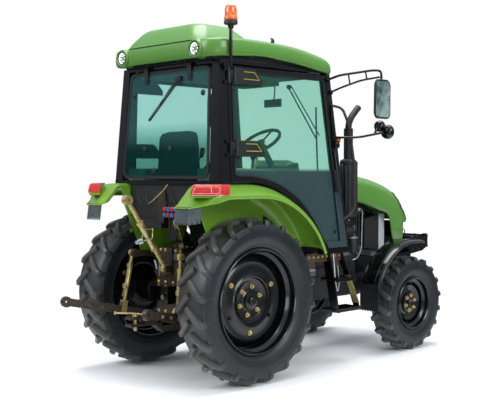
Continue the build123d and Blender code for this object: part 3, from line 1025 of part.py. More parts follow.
drawbar += block(-DRAWBAR_HALF, DRAWBAR_HALF, hanger_y, hanger_y + 50, BAR_Z + BAR_T, CHASSIS_LOW_Z)
drawbar -= rod((0, CLEVIS_PIN_Y, CLEVIS_Z - 5), (0, CLEVIS_PIN_Y, CLEVIS_Z + 80 + CLEVIS_GAP),
               CLEVIS_PIN_R + SEAT_GAP)
save("drawbar", drawbar)
pin_top = CLEVIS_Z + 40 + CLEVIS_GAP + SEAT_GAP
pin = rod((0, CLEVIS_PIN_Y, CLEVIS_Z - 30), (0, CLEVIS_PIN_Y, pin_top + 30), CLEVIS_PIN_R)
pin += rod((0, CLEVIS_PIN_Y, pin_top), (0, CLEVIS_PIN_Y, pin_top + 12), 24)
save("drawbar_pin", pin)

# power take-off stub and its guard
PTO_Z, PTO_R, PTO_LEN = 600.0, 17.5, 84.0
save("pto_shaft", rod((0, GEARBOX_REAR_Y - PTO_LEN, PTO_Z), (0, GEARBOX_REAR_Y - RUN_GAP, PTO_Z), PTO_R))
guard = block(-110, 110, GEARBOX_REAR_Y - 120, GEARBOX_REAR_Y - SEAT_GAP, PTO_Z + 85, PTO_Z + 91)
guard += both_sides(block(104, 110, GEARBOX_REAR_Y - 120, GEARBOX_REAR_Y - SEAT_GAP, PTO_Z - 40, PTO_Z + 91))
save("pto_guard", guard)

# spool couplers on a bracket behind the lift housing
COUPLER_Z = 1240.0
coupler_block = block(95, 300, REAR_WALL_Y - 40, REAR_WALL_Y + 20 - SEAT_GAP, COUPLER_Z - 40, COUPLER_Z + 40)
COUPLER_R = 17.0
for x in (125, 173, 222, 270):
    coupler_block += rod((x, REAR_WALL_Y - 90, COUPLER_Z), (x, REAR_WALL_Y - 30, COUPLER_Z), COUPLER_R)
save("hydraulic_couplers", coupler_block)
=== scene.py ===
"""Compact four-wheel-drive farm tractor with a closed cab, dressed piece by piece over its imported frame."""
import math

import bmesh
import bpy
from mathutils import Matrix, Vector


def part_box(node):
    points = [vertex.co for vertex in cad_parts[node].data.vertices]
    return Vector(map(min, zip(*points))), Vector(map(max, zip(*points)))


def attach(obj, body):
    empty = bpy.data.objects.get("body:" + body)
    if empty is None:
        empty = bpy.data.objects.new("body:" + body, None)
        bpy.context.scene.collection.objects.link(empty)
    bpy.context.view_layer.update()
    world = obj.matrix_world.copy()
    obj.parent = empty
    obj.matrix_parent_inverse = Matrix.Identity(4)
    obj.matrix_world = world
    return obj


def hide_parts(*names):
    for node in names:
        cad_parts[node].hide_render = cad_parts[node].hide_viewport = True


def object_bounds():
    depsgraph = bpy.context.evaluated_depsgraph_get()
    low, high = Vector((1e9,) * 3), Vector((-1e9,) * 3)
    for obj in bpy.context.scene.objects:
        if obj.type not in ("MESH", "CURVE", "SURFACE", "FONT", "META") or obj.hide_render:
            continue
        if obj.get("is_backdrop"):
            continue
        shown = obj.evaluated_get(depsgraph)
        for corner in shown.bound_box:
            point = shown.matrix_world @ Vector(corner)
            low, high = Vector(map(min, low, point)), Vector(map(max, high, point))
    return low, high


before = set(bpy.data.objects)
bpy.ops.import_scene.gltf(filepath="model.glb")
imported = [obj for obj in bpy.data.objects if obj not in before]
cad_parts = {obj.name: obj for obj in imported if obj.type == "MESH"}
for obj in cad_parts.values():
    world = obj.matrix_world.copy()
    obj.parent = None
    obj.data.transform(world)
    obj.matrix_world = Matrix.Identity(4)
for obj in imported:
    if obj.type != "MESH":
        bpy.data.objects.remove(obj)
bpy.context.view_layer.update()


# ======================================================================= camera, floor and light
# A studio: pale seamless floor, white surround, and large soft lamps behind the camera's left shoulder, at
# its right, overhead and low beside the wheels. The camera stands behind the right rear wheel.
def srgb(code):
    """The linear colour of a hex code."""
    parts = [int(code[i:i + 2], 16) / 255 for i in (1, 3, 5)]
    return tuple(c / 12.92 if c <= 0.04045 else ((c + 0.055) / 1.055) ** 2.4 for c in parts) + (1.0,)


def add(material, kind, inputs=(), **settings):
    """Adds one node with its settings; inputs are (socket, value or the output that feeds it)."""
    made = material.node_tree.nodes.new(kind)
    for key, value in settings.items():
        setattr(made, key, value)
    for socket, value in inputs:
        if isinstance(value, bpy.types.NodeSocket):
            material.node_tree.links.new(value, made.inputs[socket])
        else:
            made.inputs[socket].default_value = value
    return made


def place(item, name):
    """An object of a mesh, curve, lamp or camera, put in the scene."""
    made = bpy.data.objects.new(name, item)
    bpy.context.scene.collection.objects.link(made)
    return made


camera = place(bpy.data.cameras.new("camera"), "camera")
camera.location = (5.449, -5.697, 1.525)
camera.rotation_mode = "QUATERNION"
camera.rotation_quaternion = Vector((-0.70405, 0.70891, -0.04196)).to_track_quat("-Z", "Y")
camera.data.lens = 67.67
camera.data.shift_x = -0.0252
camera.data.shift_y = 0.0251
bpy.context.scene.camera = camera
bpy.context.scene.view_settings.view_transform = "Standard"

studio = bpy.data.worlds.new("studio")
studio.use_nodes = True
behind = studio.node_tree.nodes["Background"]
ray = add(studio, "ShaderNodeLightPath").outputs["Is Camera Ray"]
up = add(studio, "ShaderNodeSeparateXYZ",
         (("Vector", add(studio, "ShaderNodeTexCoord").outputs["Generated"]),))
sky = add(studio, "ShaderNodeMapRange", (("Value", up.outputs["Z"]), ("From Min", -0.1), ("From Max", 0.75),
                                         ("To Min", 0.14), ("To Max", 0.85)))
glow = add(studio, "ShaderNodeMix", (("Factor", ray), ("A", sky.outputs["Result"]), ("B", 1.0)))
studio.node_tree.links.new(glow.outputs["Result"], behind.inputs["Strength"])
tone = add(studio, "ShaderNodeMix", ((0, ray), (6, srgb("#e9f2ff")), (7, srgb("#ffffff"))), data_type="RGBA")
studio.node_tree.links.new(tone.outputs[2], behind.inputs["Color"])
bpy.context.scene.world = studio

# name, place, edge length in metres and power in watts
LAMPS = (("key_lamp", (-2.5, -8.0, 6.0), 4.0, 380), ("side_lamp", (8.5, -0.5, 5.5), 4.0, 380),
         ("top_lamp", (0.0, 0.5, 8.0), 5.0, 520), ("low_lamp", (7.0, -5.0, 1.0), 2.5, 110))
MIDDLE = Vector((0, 0, 1.1))
for name, spot, size, power in LAMPS:
    lamp = place(bpy.data.lights.new(name, "AREA"), name)
    lamp.location = spot
    lamp.rotation_euler = (MIDDLE - lamp.location).to_track_quat("-Z", "Y").to_euler()
    lamp.data.size = size
    lamp.data.energy = power

FLOOR_HALF = 60
FADE_FROM, FADE_TO = 1.6, 4.6
sweep = bpy.data.meshes.new("studio_floor")
sweep.from_pydata([(x * FLOOR_HALF, y * FLOOR_HALF, 0) for x, y in ((-1, -1), (1, -1), (1, 1), (-1, 1))], [],
                  [(0, 1, 2, 3)])
floor = place(sweep, "studio_floor")
floor_paint = bpy.data.materials.new("studio_floor_paint")
floor_paint.use_nodes = True
floor_shader = floor_paint.node_tree.nodes["Principled BSDF"]
floor_shader.inputs["Base Color"].default_value = srgb("#fbfbfa")
floor_shader.inputs["Roughness"].default_value = 0.9
floor_shader.inputs["Specular IOR Level"].default_value = 0.1
span = add(floor_paint, "ShaderNodeVectorMath",
           ((0, add(floor_paint, "ShaderNodeTexCoord").outputs["Object"]),), operation="LENGTH")
fade = add(floor_paint, "ShaderNodeMapRange", (("Value", span.outputs["Value"]), ("From Min", FADE_FROM),
                                               ("From Max", FADE_TO)), interpolation_type="SMOOTHSTEP")
open_air = add(floor_paint, "ShaderNodeBsdfTransparent")
floor_mix = add(floor_paint, "ShaderNodeMixShader",
                ((0, fade.outputs["Result"]), (1, floor_shader.outputs["BSDF"]),
                 (2, open_air.outputs["BSDF"])))
floor_paint.node_tree.links.new(floor_mix.outputs["Shader"],
                                floor_paint.node_tree.nodes["Material Output"].inputs["Surface"])
floor.data.materials.append(floor_paint)
floor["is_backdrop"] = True


# ======================================================================= tyres
# Agricultural cross-ply tyres: a black rubber carcass with 20 (front: 18) long bars a side, half a pitch
# apart, that lead at the middle and bend round the shoulder. Seated on the rims, dull black, with the lug
# tops painted greyer: a painted highlight mixed with brown-grey dust.
def finish_of(name, colour, second, roughness, mottle_mm, grain_mm, bump=0.15, metallic=0.0, **sockets):
    """A material whose two colours mottle at one size and whose surface is grained at another, both in mm."""
    material = bpy.data.materials.new(name)
    material.use_nodes = True
    shader = material.node_tree.nodes["Principled BSDF"]
    shader.inputs["Metallic"].default_value = metallic
    for socket, value in sockets.items():
        shader.inputs[socket.replace("_", " ")].default_value = value
    where = add(material, "ShaderNodeTexCoord").outputs["Object"]
    mottle = add(material, "ShaderNodeTexNoise",
                 (("Vector", where), ("Scale", 1000 / mottle_mm), ("Detail", 6.0)))
    grain = add(material, "ShaderNodeTexNoise",
                (("Vector", where), ("Scale", 1000 / grain_mm), ("Detail", 3.0)))
    ramp = add(material, "ShaderNodeValToRGB", (("Fac", mottle.outputs["Fac"]),))
    ramp.color_ramp.elements[0].color, ramp.color_ramp.elements[0].position = srgb(colour), 0.35
    ramp.color_ramp.elements[1].color, ramp.color_ramp.elements[1].position = srgb(second), 0.72
    spread = add(material, "ShaderNodeMapRange",
                 (("Value", grain.outputs["Fac"]), ("To Min", roughness * 0.85),
                  ("To Max", min(1.0, roughness * 1.15))))
    relief = add(material, "ShaderNodeBump", (("Height", grain.outputs["Fac"]), ("Strength", bump),
                                              ("Distance", grain_mm / 4000)))
    links = material.node_tree.links
    links.new(ramp.outputs["Color"], shader.inputs["Base Color"])
    links.new(spread.outputs["Result"], shader.inputs["Roughness"])
    links.new(relief.outputs["Normal"], shader.inputs["Normal"])
    return material


def piece(name, bm, material, body, sharp=32, bevel=0.0):
    """Turns a bmesh into a shaded piece that rides on a body, its edges eased by a bevel in metres."""
    mesh = bpy.data.meshes.new(name)
    bmesh.ops.recalc_face_normals(bm, faces=bm.faces)
    bm.to_mesh(mesh)
    bm.free()
    mesh.materials.append(material)
    mesh.shade_smooth()
    mesh.set_sharp_from_angle(angle=math.radians(sharp))
    made = place(mesh, name)
    if bevel:
        ease = made.modifiers.new("eased_edges", "BEVEL")
        ease.width = bevel
        ease.segments = 2
        ease.limit_method = "ANGLE"
        ease.angle_limit = math.radians(sharp)
        ease.harden_normals = True
    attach(made, body)
    return made


def ringed(bm, profile, centre, side=1, count=96):
    """Turns an open or closed run of (outward, radius) points about a crosswise axle."""
    rows = []
    for out, r in profile:
        row = []
        for i in range(count):
            a = math.tau * i / count
            row.append(bm.verts.new((centre[0] + side * out, centre[1] + r * math.cos(a),
                                     centre[2] + r * math.sin(a))))
        rows.append(row)
    for inner, outer in zip(rows, rows[1:]):
        for i in range(count):
            j = (i + 1) % count
            bm.faces.new((inner[i], inner[j], outer[j], outer[i]))


rubber = finish_of("black_rubber", "#0b0e10", "#14181a", 0.45, 260, 2.2, bump=0.25, Specular_IOR_Level=0.4)


def tread_rubber(name, centre, ground):
    """Tyre rubber, dark and smooth on the sides; the lugs above the carcass are painted lighter grey, a
    painted highlight mixed with dust.
    """
    material = finish_of(name, "#12171a", "#1c2226", 0.40, 260, 2.2, bump=0.25, Specular_IOR_Level=0.45)
    where = add(material, "ShaderNodeTexCoord").outputs["Object"]
    offset = add(material, "ShaderNodeVectorMath", ((0, where), (1, (0, centre.y, centre.z))),
                 operation="SUBTRACT")
    flat = add(material, "ShaderNodeVectorMath", ((0, offset.outputs[0]), (1, (0, 1, 1))),
               operation="MULTIPLY")
    reach = add(material, "ShaderNodeVectorMath", ((0, flat.outputs[0]),), operation="LENGTH")
    # Mask of the lugs above the carcass. They take the lighter greys: painted highlight on the tread, mottled
    # with dust.
    tread_highlight_and_dust = add(material, "ShaderNodeMapRange", (("Value", reach.outputs["Value"]),
                                                ("From Min", ground - 0.030), ("From Max", ground + 0.030)))
    dust = add(material, "ShaderNodeTexNoise", (("Vector", where), ("Scale", 9.0), ("Detail", 5.0)))
    dusty_highlight_greys = add(material, "ShaderNodeMix", ((0, dust.outputs["Fac"]), (6, srgb("#3b4042")),
                                            (7, srgb("#57544e"))), data_type="RGBA")
    shader = material.node_tree.nodes["Principled BSDF"]
    side_colour = shader.inputs["Base Color"].links[0].from_socket
    colour = add(material, "ShaderNodeMix", ((0, tread_highlight_and_dust.outputs["Result"]), (6, side_colour),
                                             (7, dusty_highlight_greys.outputs[2])), data_type="RGBA")
    material.node_tree.links.new(colour.outputs[2], shader.inputs["Base Color"])
    return material


SIDES = (("left", -1), ("right", 1))
REAR_LUG_H = 0.033
# the run of one lug: share of the half width, share of the sweep, drop of its top and of its foot in metres
LUG_STATIONS = ((-0.03, 0.0, 0.0, 0.0), (0.20, 0.27, 0.001, 0.004), (0.42, 0.54, 0.003, 0.010),
                (0.62, 0.75, 0.006, 0.018), (0.80, 0.90, 0.011, 0.028), (0.925, 0.97, 0.021, 0.047),
                (0.975, 1.0, 0.055, 0.072), (0.975, 1.02, 0.092, 0.098))
# the carcass from bead to shoulder: share of the wall's height, share of the half width
WALL = ((0.10, 0.82), (0.13, 0.86), (0.15, 0.85), (0.30, 0.955), (0.45, 0.99), (0.56, 0.985), (0.60, 0.995),
        (0.62, 0.98), (0.70, 0.95), (0.78, 0.90))
CROWN = ((0.84, 0.016), (0.70, 0.008), (0.40, 0.0024), (0.0, 0.0))
WHEELS = ({"name": "rear", "lugs": 20, "lug_h": REAR_LUG_H, "rim": 0.386, "sweep": 0.205},
          {"name": "front", "lugs": 18, "lug_h": 0.024, "rim": 0.225, "sweep": 0.150})
for wheel in WHEELS:
    low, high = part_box(f"{wheel['name']}_tyre_right")
    tread = tread_rubber(f"{wheel['name']}_tyre_rubber", (low + high) / 2,
                         (high.z - low.z) / 2 - wheel["lug_h"])
    for hand, side in SIDES:
        node = f"{wheel['name']}_tyre_{hand}"
        low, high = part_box(node)
        centre = (low + high) / 2
        radius, half = (high.z - low.z) / 2, (high.x - low.x) / 2
        ground = radius - wheel["lug_h"]
        wall = radius - wheel["rim"]
        bm = bmesh.new()
        carcass = [(half * 0.70, wheel["rim"] - 0.004), (half * 0.77, wheel["rim"] + 0.003)]
        carcass += [(half * out, wheel["rim"] + wall * share) for share, out in WALL]
        carcass += [(half * out, ground - drop) for out, drop in CROWN]
        carcass += [(-out, r) for out, r in reversed(carcass[:-1])]
        ringed(bm, carcass, centre, 1, 120)
        pitch = math.tau / wheel["lugs"]
        for half_side in (-1, 1):
            for i in range(wheel["lugs"]):
                start = i * pitch + (0.0 if half_side * side > 0 else pitch / 2)
                rows = []
                for out, turn, top_drop, foot_drop in LUG_STATIONS:
                    angle = start + wheel["sweep"] * turn
                    wide = 0.013 + 0.007 * out
                    top = radius - top_drop * (wheel["lug_h"] / REAR_LUG_H)
                    foot = ground - foot_drop * (wheel["lug_h"] / REAR_LUG_H) - 0.006
                    lean = 0.55 if turn < 0.9 else 0.25
                    row = []
                    for across, r in ((-1.5, foot), (-1.0, top - 0.004), (-0.72, top), (0.72, top),
                                      (1.0, top - 0.004), (1.5, foot)):
                        a = angle + across * wide / radius
                        x = half_side * (half * out - across * wide * lean)
                        x = max(-half * 0.995, min(half * 0.995, x))
                        row.append(bm.verts.new((centre.x + x, centre.y + r * math.cos(a),
                                                 centre.z + r * math.sin(a))))
                    rows.append(row)
                for near, far in zip(rows, rows[1:]):
                    for k in range(5):
                        bm.faces.new((near[k], near[k + 1], far[k + 1], far[k]))
                bm.faces.new(rows[0])
                bm.faces.new(rows[-1])
        tyre = piece(f"{wheel['name']}_lugged_tyre_{hand}", bm, tread, f"{wheel['name']}_wheel_{hand}",
                     sharp=38)
        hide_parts(node)


# ======================================================================= wheel rims
# Pressed steel rims in satin black: a stepped well, a dished disc and a hub with yellow-passivated nuts. Six
# bolts hold the rear disc to lugs inside the well; the front disc is welded in.
def bolt(bm, centre, axis, radius, height, sides=6):
    """A bolt head standing on a point, with a chamfered top and its washer."""
    turn = Vector(axis).normalized().to_track_quat("Z", "Y").to_matrix().to_4x4()
    spot = Matrix.Translation(centre) @ turn
    rings = ((radius * 1.45, 0.0, 20), (radius * 1.45, height * 0.18, 20), (radius, height * 0.18, sides),
             (radius, height * 0.85, sides), (radius * 0.8, height, sides))
    for (r0, z0, n0), (r1, z1, n1) in zip(rings, rings[1:]):
        if n0 != n1:
            continue
        bmesh.ops.create_cone(bm, cap_ends=True, segments=n0, radius1=r0, radius2=r1,
                              depth=max(z1 - z0, 0.0005),
                              matrix=spot @ Matrix.Translation((0, 0, (z0 + z1) / 2)))


rim_black = finish_of("rim_black_enamel", "#07090a", "#0d1012", 0.25, 320, 3.0, bump=0.04, Coat_Weight=0.3,
                      Specular_IOR_Level=0.35)
zinc = finish_of("yellow_zinc", "#cdbd86", "#ab9458", 0.32, 18, 1.2, bump=0.08, metallic=0.7)
RIMS = ({"name": "rear", "bolts": 6, "bolt_ring": 0.232, "nuts": 6, "nut_ring": 0.104, "rim": 0.386,
         "bead": 0.111, "disc": 0.028, "nut_seat": -0.018, "hub": 0.090, "hub_back": -0.128},
        {"name": "front", "bolts": 0, "bolt_ring": 0.15, "nuts": 6, "nut_ring": 0.064, "rim": 0.225,
         "bead": 0.081, "disc": 0.030, "nut_seat": 0.010, "hub": 0.060, "hub_back": -0.052})
for rim in RIMS:
    for hand, side in SIDES:
        node = f"{rim['name']}_rim_{hand}"
        tyre_low, tyre_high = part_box(f"{rim['name']}_tyre_{hand}")
        centre = (tyre_low + tyre_high) / 2
        r, bead, disc = rim["rim"], rim["bead"], rim["disc"]
        well = r - 0.045
        bm = bmesh.new()
        ringed(bm, [(bead + 0.006, r - 0.002), (bead + 0.010, r - 0.008), (bead + 0.004, r - 0.015),
                    (bead - 0.010, r - 0.016), (bead * 0.62, r - 0.018), (bead * 0.50, r - 0.030),
                    (bead * 0.42, well + 0.004), (-bead * 0.42, well + 0.004), (-bead * 0.55, r - 0.018),
                    (-bead, r - 0.016), (-bead - 0.006, r - 0.010), (-bead - 0.006, r - 0.002)], centre, side,
               128)
        ringed(bm, [(bead + 0.006, r - 0.002), (bead + 0.002, r), (bead - 0.008, r - 0.006)], centre, side,
               128)
        dish = [(disc - 0.050, well + 0.003), (disc - 0.046, well - 0.004), (disc - 0.030, well * 0.93),
                (disc - 0.006, well * 0.87), (disc, well * 0.83)]
        if rim["name"] == "rear":
            dish += [(disc - 0.003, 0.262), (disc - 0.004, 0.204), (disc + 0.002, 0.188),
                     (disc + 0.008, 0.180), (disc + 0.006, 0.173), (disc - 0.012, 0.164),
                     (disc - 0.018, 0.150), (disc - 0.018, 0.078), (disc - 0.012, 0.068),
                     (disc + 0.004, 0.062), (disc + 0.008, 0.050), (disc + 0.010, 0.034),
                     (disc + 0.022, 0.030), (disc + 0.026, 0.024), (disc + 0.026, 0.0005)]
        else:
            dish += [(disc - 0.004, well * 0.78), (disc - 0.022, well * 0.60), (disc - 0.014, well * 0.50),
                     (disc + 0.008, 0.088), (disc + 0.011, 0.080), (disc + 0.012, 0.050),
                     (disc + 0.010, 0.040), (disc + 0.026, 0.036), (disc + 0.030, 0.030),
                     (disc + 0.026, 0.012), (disc + 0.026, 0.0005)]
        ringed(bm, dish, centre, side, 128)
        hub, back = rim["hub"], rim["hub_back"]
        ringed(bm, [(disc - 0.012, well * 0.42), (disc - 0.030, hub + 0.01), (back + 0.03, hub),
                    (back, hub * 0.9)], centre, side, 64)
        nuts = bmesh.new()
        for i in range(rim["bolts"]):
            a = math.tau * (i + 0.45) / rim["bolts"]
            spot = (centre.x + side * (disc - 0.004), centre.y + rim["bolt_ring"] * math.cos(a),
                    centre.z + rim["bolt_ring"] * math.sin(a))
            bolt(nuts if i % 2 == 0 else bm, spot, (side, 0, 0), 0.0135, 0.016)
        made = piece(f"{rim['name']}_wheel_rim_{hand}", bm, rim_black, f"{rim['name']}_wheel_{hand}",
                     sharp=28)
        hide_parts(node)
        for i in range(rim["nuts"]):
            a = math.tau * i / rim["nuts"] + 0.3
            spot = (centre.x + side * (disc + rim["nut_seat"]), centre.y + rim["nut_ring"] * math.cos(a),
                    centre.z + rim["nut_ring"] * math.sin(a))
            bolt(nuts, spot, (side, 0, 0), 0.0125, 0.020)
        made = piece(f"{rim['name']}_wheel_nuts_{hand}", nuts, zinc, f"{rim['name']}_wheel_{hand}", sharp=28)


# ======================================================================= roof
# One-piece moulded cab roof in green: flared lip, upright band, crease and a crowned top with the raised
# ventilation housing at its rear. Bulges at the rear corners hold the work lamps. Bolted on the frame.
AXLE_Y = sum(corner.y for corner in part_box("rear_tyre_right")) / 2
AXLE_Z = 0.6025


def at(x, y, z):
    """A place with its length measured forward from the rear axle."""
    return (x, AXLE_Y + y, z)




def along(y, table):
    """The value at y read from a short table of (y, value), joined smoothly."""
    for (y0, v0), (y1, v1) in zip(table, table[1:]):
        if y <= y1:
            t = max(0.0, (y - y0) / (y1 - y0))
            t = t * t * (3 - 2 * t) * 0.35 + t * 0.65
            return v0 + (v1 - v0) * t
    return table[-1][1]


def rounded(half_x, rear, front, corner_rear, corner_front, steps=10, straight=8):
    """Points round a rectangle with its own corner radii at rear and front, in (x, y), anticlockwise."""
    points = []
    corners = ((half_x - corner_rear, rear + corner_rear, -90, corner_rear),
               (half_x - corner_front, front - corner_front, 0, corner_front),
               (-half_x + corner_front, front - corner_front, 90, corner_front),
               (-half_x + corner_rear, rear + corner_rear, 180, corner_rear))
    for cx, cy, start, r in corners:
        arc = [(cx + r * math.cos(math.radians(start + 90 * i / steps)),
                cy + r * math.sin(math.radians(start + 90 * i / steps))) for i in range(steps + 1)]
        if points:
            (x0, y0), (x1, y1) = points[-1], arc[0]
            points += [(x0 + (x1 - x0) * k / straight, y0 + (y1 - y0) * k / straight)
                       for k in range(1, straight)]
        points += arc
    (x0, y0), (x1, y1) = points[-1], points[0]
    return points + [(x0 + (x1 - x0) * k / straight, y0 + (y1 - y0) * k / straight)
                     for k in range(1, straight)]


def skin(bm, rows, closed=True, cap_last=False, cap_first=False):
    """Joins rows of points into a surface, each row a ring or a strip."""
    made = [[bm.verts.new(p) for p in row] for row in rows]
    for near, far in zip(made, made[1:]):
        count = len(near)
        for i in range(count if closed else count - 1):
            j = (i + 1) % count
            bm.faces.new((near[i], near[j], far[j], far[i]))
    if cap_last:
        bm.faces.new(made[-1])
    if cap_first:
        bm.faces.new(made[0])
    return made


green = finish_of("green_enamel", "#548a34", "#5c923c", 0.40, 900, 1.6, bump=0.02, Coat_Weight=0.3,
                  Coat_Roughness=0.08)
dark_plastic = finish_of("black_moulded_plastic", "#131516", "#1a1c1d", 0.55, 120, 0.9, bump=0.2)
roof_low, roof_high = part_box("roof")
half = roof_high.x
rear, front = roof_low.y + 0.017, roof_high.y
LIP = [(rear, 2.340), (AXLE_Y + 0.15, 2.374), (AXLE_Y + 0.49, 2.352), (AXLE_Y + 0.81, 2.312), (front, 2.296)]
CREASE = [(rear, 2.466), (AXLE_Y - 0.10, 2.476), (AXLE_Y + 0.25, 2.474), (AXLE_Y + 0.49, 2.458),
          (AXLE_Y + 0.78, 2.414), (front, 2.372)]
CREST = [(rear, 2.474), (AXLE_Y - 0.20, 2.502), (AXLE_Y + 0.10, 2.512), (AXLE_Y + 0.50, 2.508),
         (AXLE_Y + 0.66, 2.494), (AXLE_Y + 0.86, 2.458), (front, 2.400)]
# the shell's rings: inset, share of the way from lip to crease, then from crease to crest
ROOF_RINGS = ((0.085, 0.26, 0), (0.040, 0.10, 0), (0.028, 0.0, 0), (0.014, 0.01, 0), (0.004, 0.12, 0),
              (0.0, 0.30, 0), (0.001, 0.60, 0), (0.005, 0.86, 0), (0.012, 0.97, 0), (0.022, 1, 0.12),
              (0.045, 1, 0.34), (0.085, 1, 0.62), (0.150, 1, 0.88), (0.240, 1, 1.0), (0.360, 1, 1.03),
              (0.500, 1, 1.04))
bm = bmesh.new()
rows = []
for inset, band, rise in ROOF_RINGS:
    corner = max(0.02, 0.150 - inset * 0.7)
    row = []
    for x, y in rounded(half - inset, rear + inset, front - inset, corner, max(0.02, 0.110 - inset * 0.5)):
        lip, crease, crest = along(y, LIP), along(y, CREASE), along(y, CREST)
        row.append((x, y, lip + (crease - lip) * band + (crest - crease) * rise))
    rows.append(row)
skin(bm, rows, cap_last=True)
roof = piece("cab_roof", bm, green, "chassis", sharp=50)
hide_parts("roof")


# ======================================================================= roof ventilation housing
# Raised green moulding on the roof that takes in air for the cab: full at the rear, with rounded shoulders
# and a long sunken front flank, one with the roof's shell. A ring: half width, rear, front, height, corner.
bm = bmesh.new()
HOUSING = ((0.425, -0.335, 0.290, 2.470, 0.09), (0.412, -0.320, 0.262, 2.496, 0.09),
           (0.400, -0.308, 0.235, 2.515, 0.09), (0.372, -0.285, 0.195, 2.548, 0.09),
           (0.345, -0.262, 0.165, 2.578, 0.09), (0.325, -0.243, 0.145, 2.596, 0.09),
           (0.300, -0.220, 0.120, 2.608, 0.08), (0.262, -0.188, 0.088, 2.6145, 0.07),
           (0.150, -0.095, 0.010, 2.615, 0.04))
rows = []
for half_x, back, ahead, z, corner in HOUSING:
    rows.append([(x, y, z) for x, y in rounded(half_x, AXLE_Y + back, AXLE_Y + ahead, corner, corner, 8, 4)])
skin(bm, rows, cap_last=True)
cover = piece("roof_vent_housing", bm, green, "chassis", sharp=60)


# ======================================================================= roof liner
# Black moulded tray that closes the shell from below and shows as a dark rail under the rear lip, clipped to
# the cab frame. A ring: inset from the shell, inset at the rear, height.
bm = bmesh.new()
rows = []
for inset, rear_inset, z in ((0.075, 0.070, 2.3303), (0.075, 0.070, 2.352), (0.040, 0.040, 2.366)):
    rows.append([(x, y, z) for x, y in
                 rounded(half - inset, rear + rear_inset, front - 0.03 - inset * 0.2, 0.10, 0.08)])
skin(bm, rows, cap_first=True, cap_last=True)
liner = piece("roof_liner", bm, dark_plastic, "chassis", sharp=30)


# ======================================================================= work lamps
# Two round reflector lamps in arched bulges at the roof's rear corners: a black bezel, and a bowl with a ring
# of small bulbs behind clear glass. The lamps are off; the bowls glow faintly, a painted glow standing in for
# their bright reflections.
def spun(bm, profile, centre, axis, count=48, closed=True):
    """Turns (along, radius) points about an axis through a centre, its far end closed or open."""
    turn = Matrix.Translation(centre) @ Vector(axis).normalized().to_track_quat("Z", "Y").to_matrix().to_4x4()
    rows = []
    for out, r in profile:
        rows.append([turn @ Vector((r * math.cos(math.tau * i / count), r * math.sin(math.tau * i / count),
                                    out)) for i in range(count)])
    made = skin(bm, rows)
    if closed:
        bm.faces.new(made[-1])
    return made


LAMP_R = 0.024
REARWARD = (0, -1, 0)
# Emission Strength makes every bowl, front and guide in this finish glow white although no lamp is lit: a
# painted glow for their bright reflections.
glow_painted_reflector = finish_of("reflector_painted_glow", "#fbfcfd", "#eef1f4", 0.16, 12, 1.5, bump=0.05, metallic=0.3,
                   Emission_Strength=0.55)
clear = finish_of("clear_lens", "#f4f7f8", "#e6ecee", 0.04, 60, 3.0, bump=0.02, Alpha=0.12, Coat_Weight=0.8)
for side in (-1, 1):
    spot = Vector((side * 0.420, rear - 0.017, 2.402))
    bm = bmesh.new()
    spun(bm, [(-0.190, 0.066), (-0.020, 0.0675), (-0.008, 0.0665), (-0.002, 0.062), (0.0, 0.057),
              (-0.003, 0.051), (-0.016, 0.049), (-0.040, 0.047)], spot, REARWARD)
    bulge = piece(f"lamp_bulge_{'right' if side > 0 else 'left'}", bm, green, "chassis", sharp=35)
lamp_bowls = bmesh.new()
lamp_rings = bmesh.new()
lamp_glass = bmesh.new()
for side in (-1, 1):
    spot = Vector((side * 0.420, rear - 0.017, 2.402))
    spun(lamp_bowls, [(-0.006, 0.0435), (-0.009, 0.0425), (-0.016, 0.038), (-0.026, 0.028), (-0.031, 0.014),
                      (-0.032, 0.002)], spot, REARWARD)
    for i in range(6):
        a = math.tau * i / 6
        bulb = spot + Vector((LAMP_R * math.cos(a), 0, LAMP_R * math.sin(a)))
        spun(lamp_bowls, [(-0.028, 0.009), (-0.016, 0.0085), (-0.012, 0.006), (-0.011, 0.001)], bulb,
             REARWARD, 16)
    spun(lamp_rings, [(-0.035, 0.047), (-0.004, 0.0475), (-0.001, 0.046), (-0.001, 0.0440), (-0.010, 0.043)],
         spot, REARWARD, closed=False)
    for i in range(6):
        a = math.tau * (i + 0.5) / 6
        bulb = spot + Vector((LAMP_R * math.cos(a), 0, LAMP_R * math.sin(a)))
        spun(lamp_rings, [(-0.029, 0.0065), (-0.0105, 0.0045), (-0.010, 0.001)], bulb, REARWARD, 12)
    spun(lamp_glass, [(-0.006, 0.044), (-0.003, 0.040), (-0.001, 0.028), (0.0, 0.014), (0.0, 0.001)], spot,
         REARWARD)
bowls = piece("work_lamp_bowls", lamp_bowls, glow_painted_reflector, "chassis", sharp=40)
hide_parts("work_lamps")
piece("work_lamp_bezels", lamp_rings, dark_plastic, "chassis", sharp=40)
piece("work_lamp_glasses", lamp_glass, clear, "chassis", sharp=60)


# ======================================================================= beacon
# Amber warning beacon: a ribbed dome of clear moulded plastic on a black base, screwed on the post at the
# cab's right rear corner.
def see_through(name, colour, second, alpha, roughness=0.05):
    """Tinted clear plastic or glass."""
    return finish_of(name, colour, second, roughness, 45, 6.0, bump=0.01, Alpha=alpha, Coat_Weight=1.0,
                     Coat_Roughness=0.02)


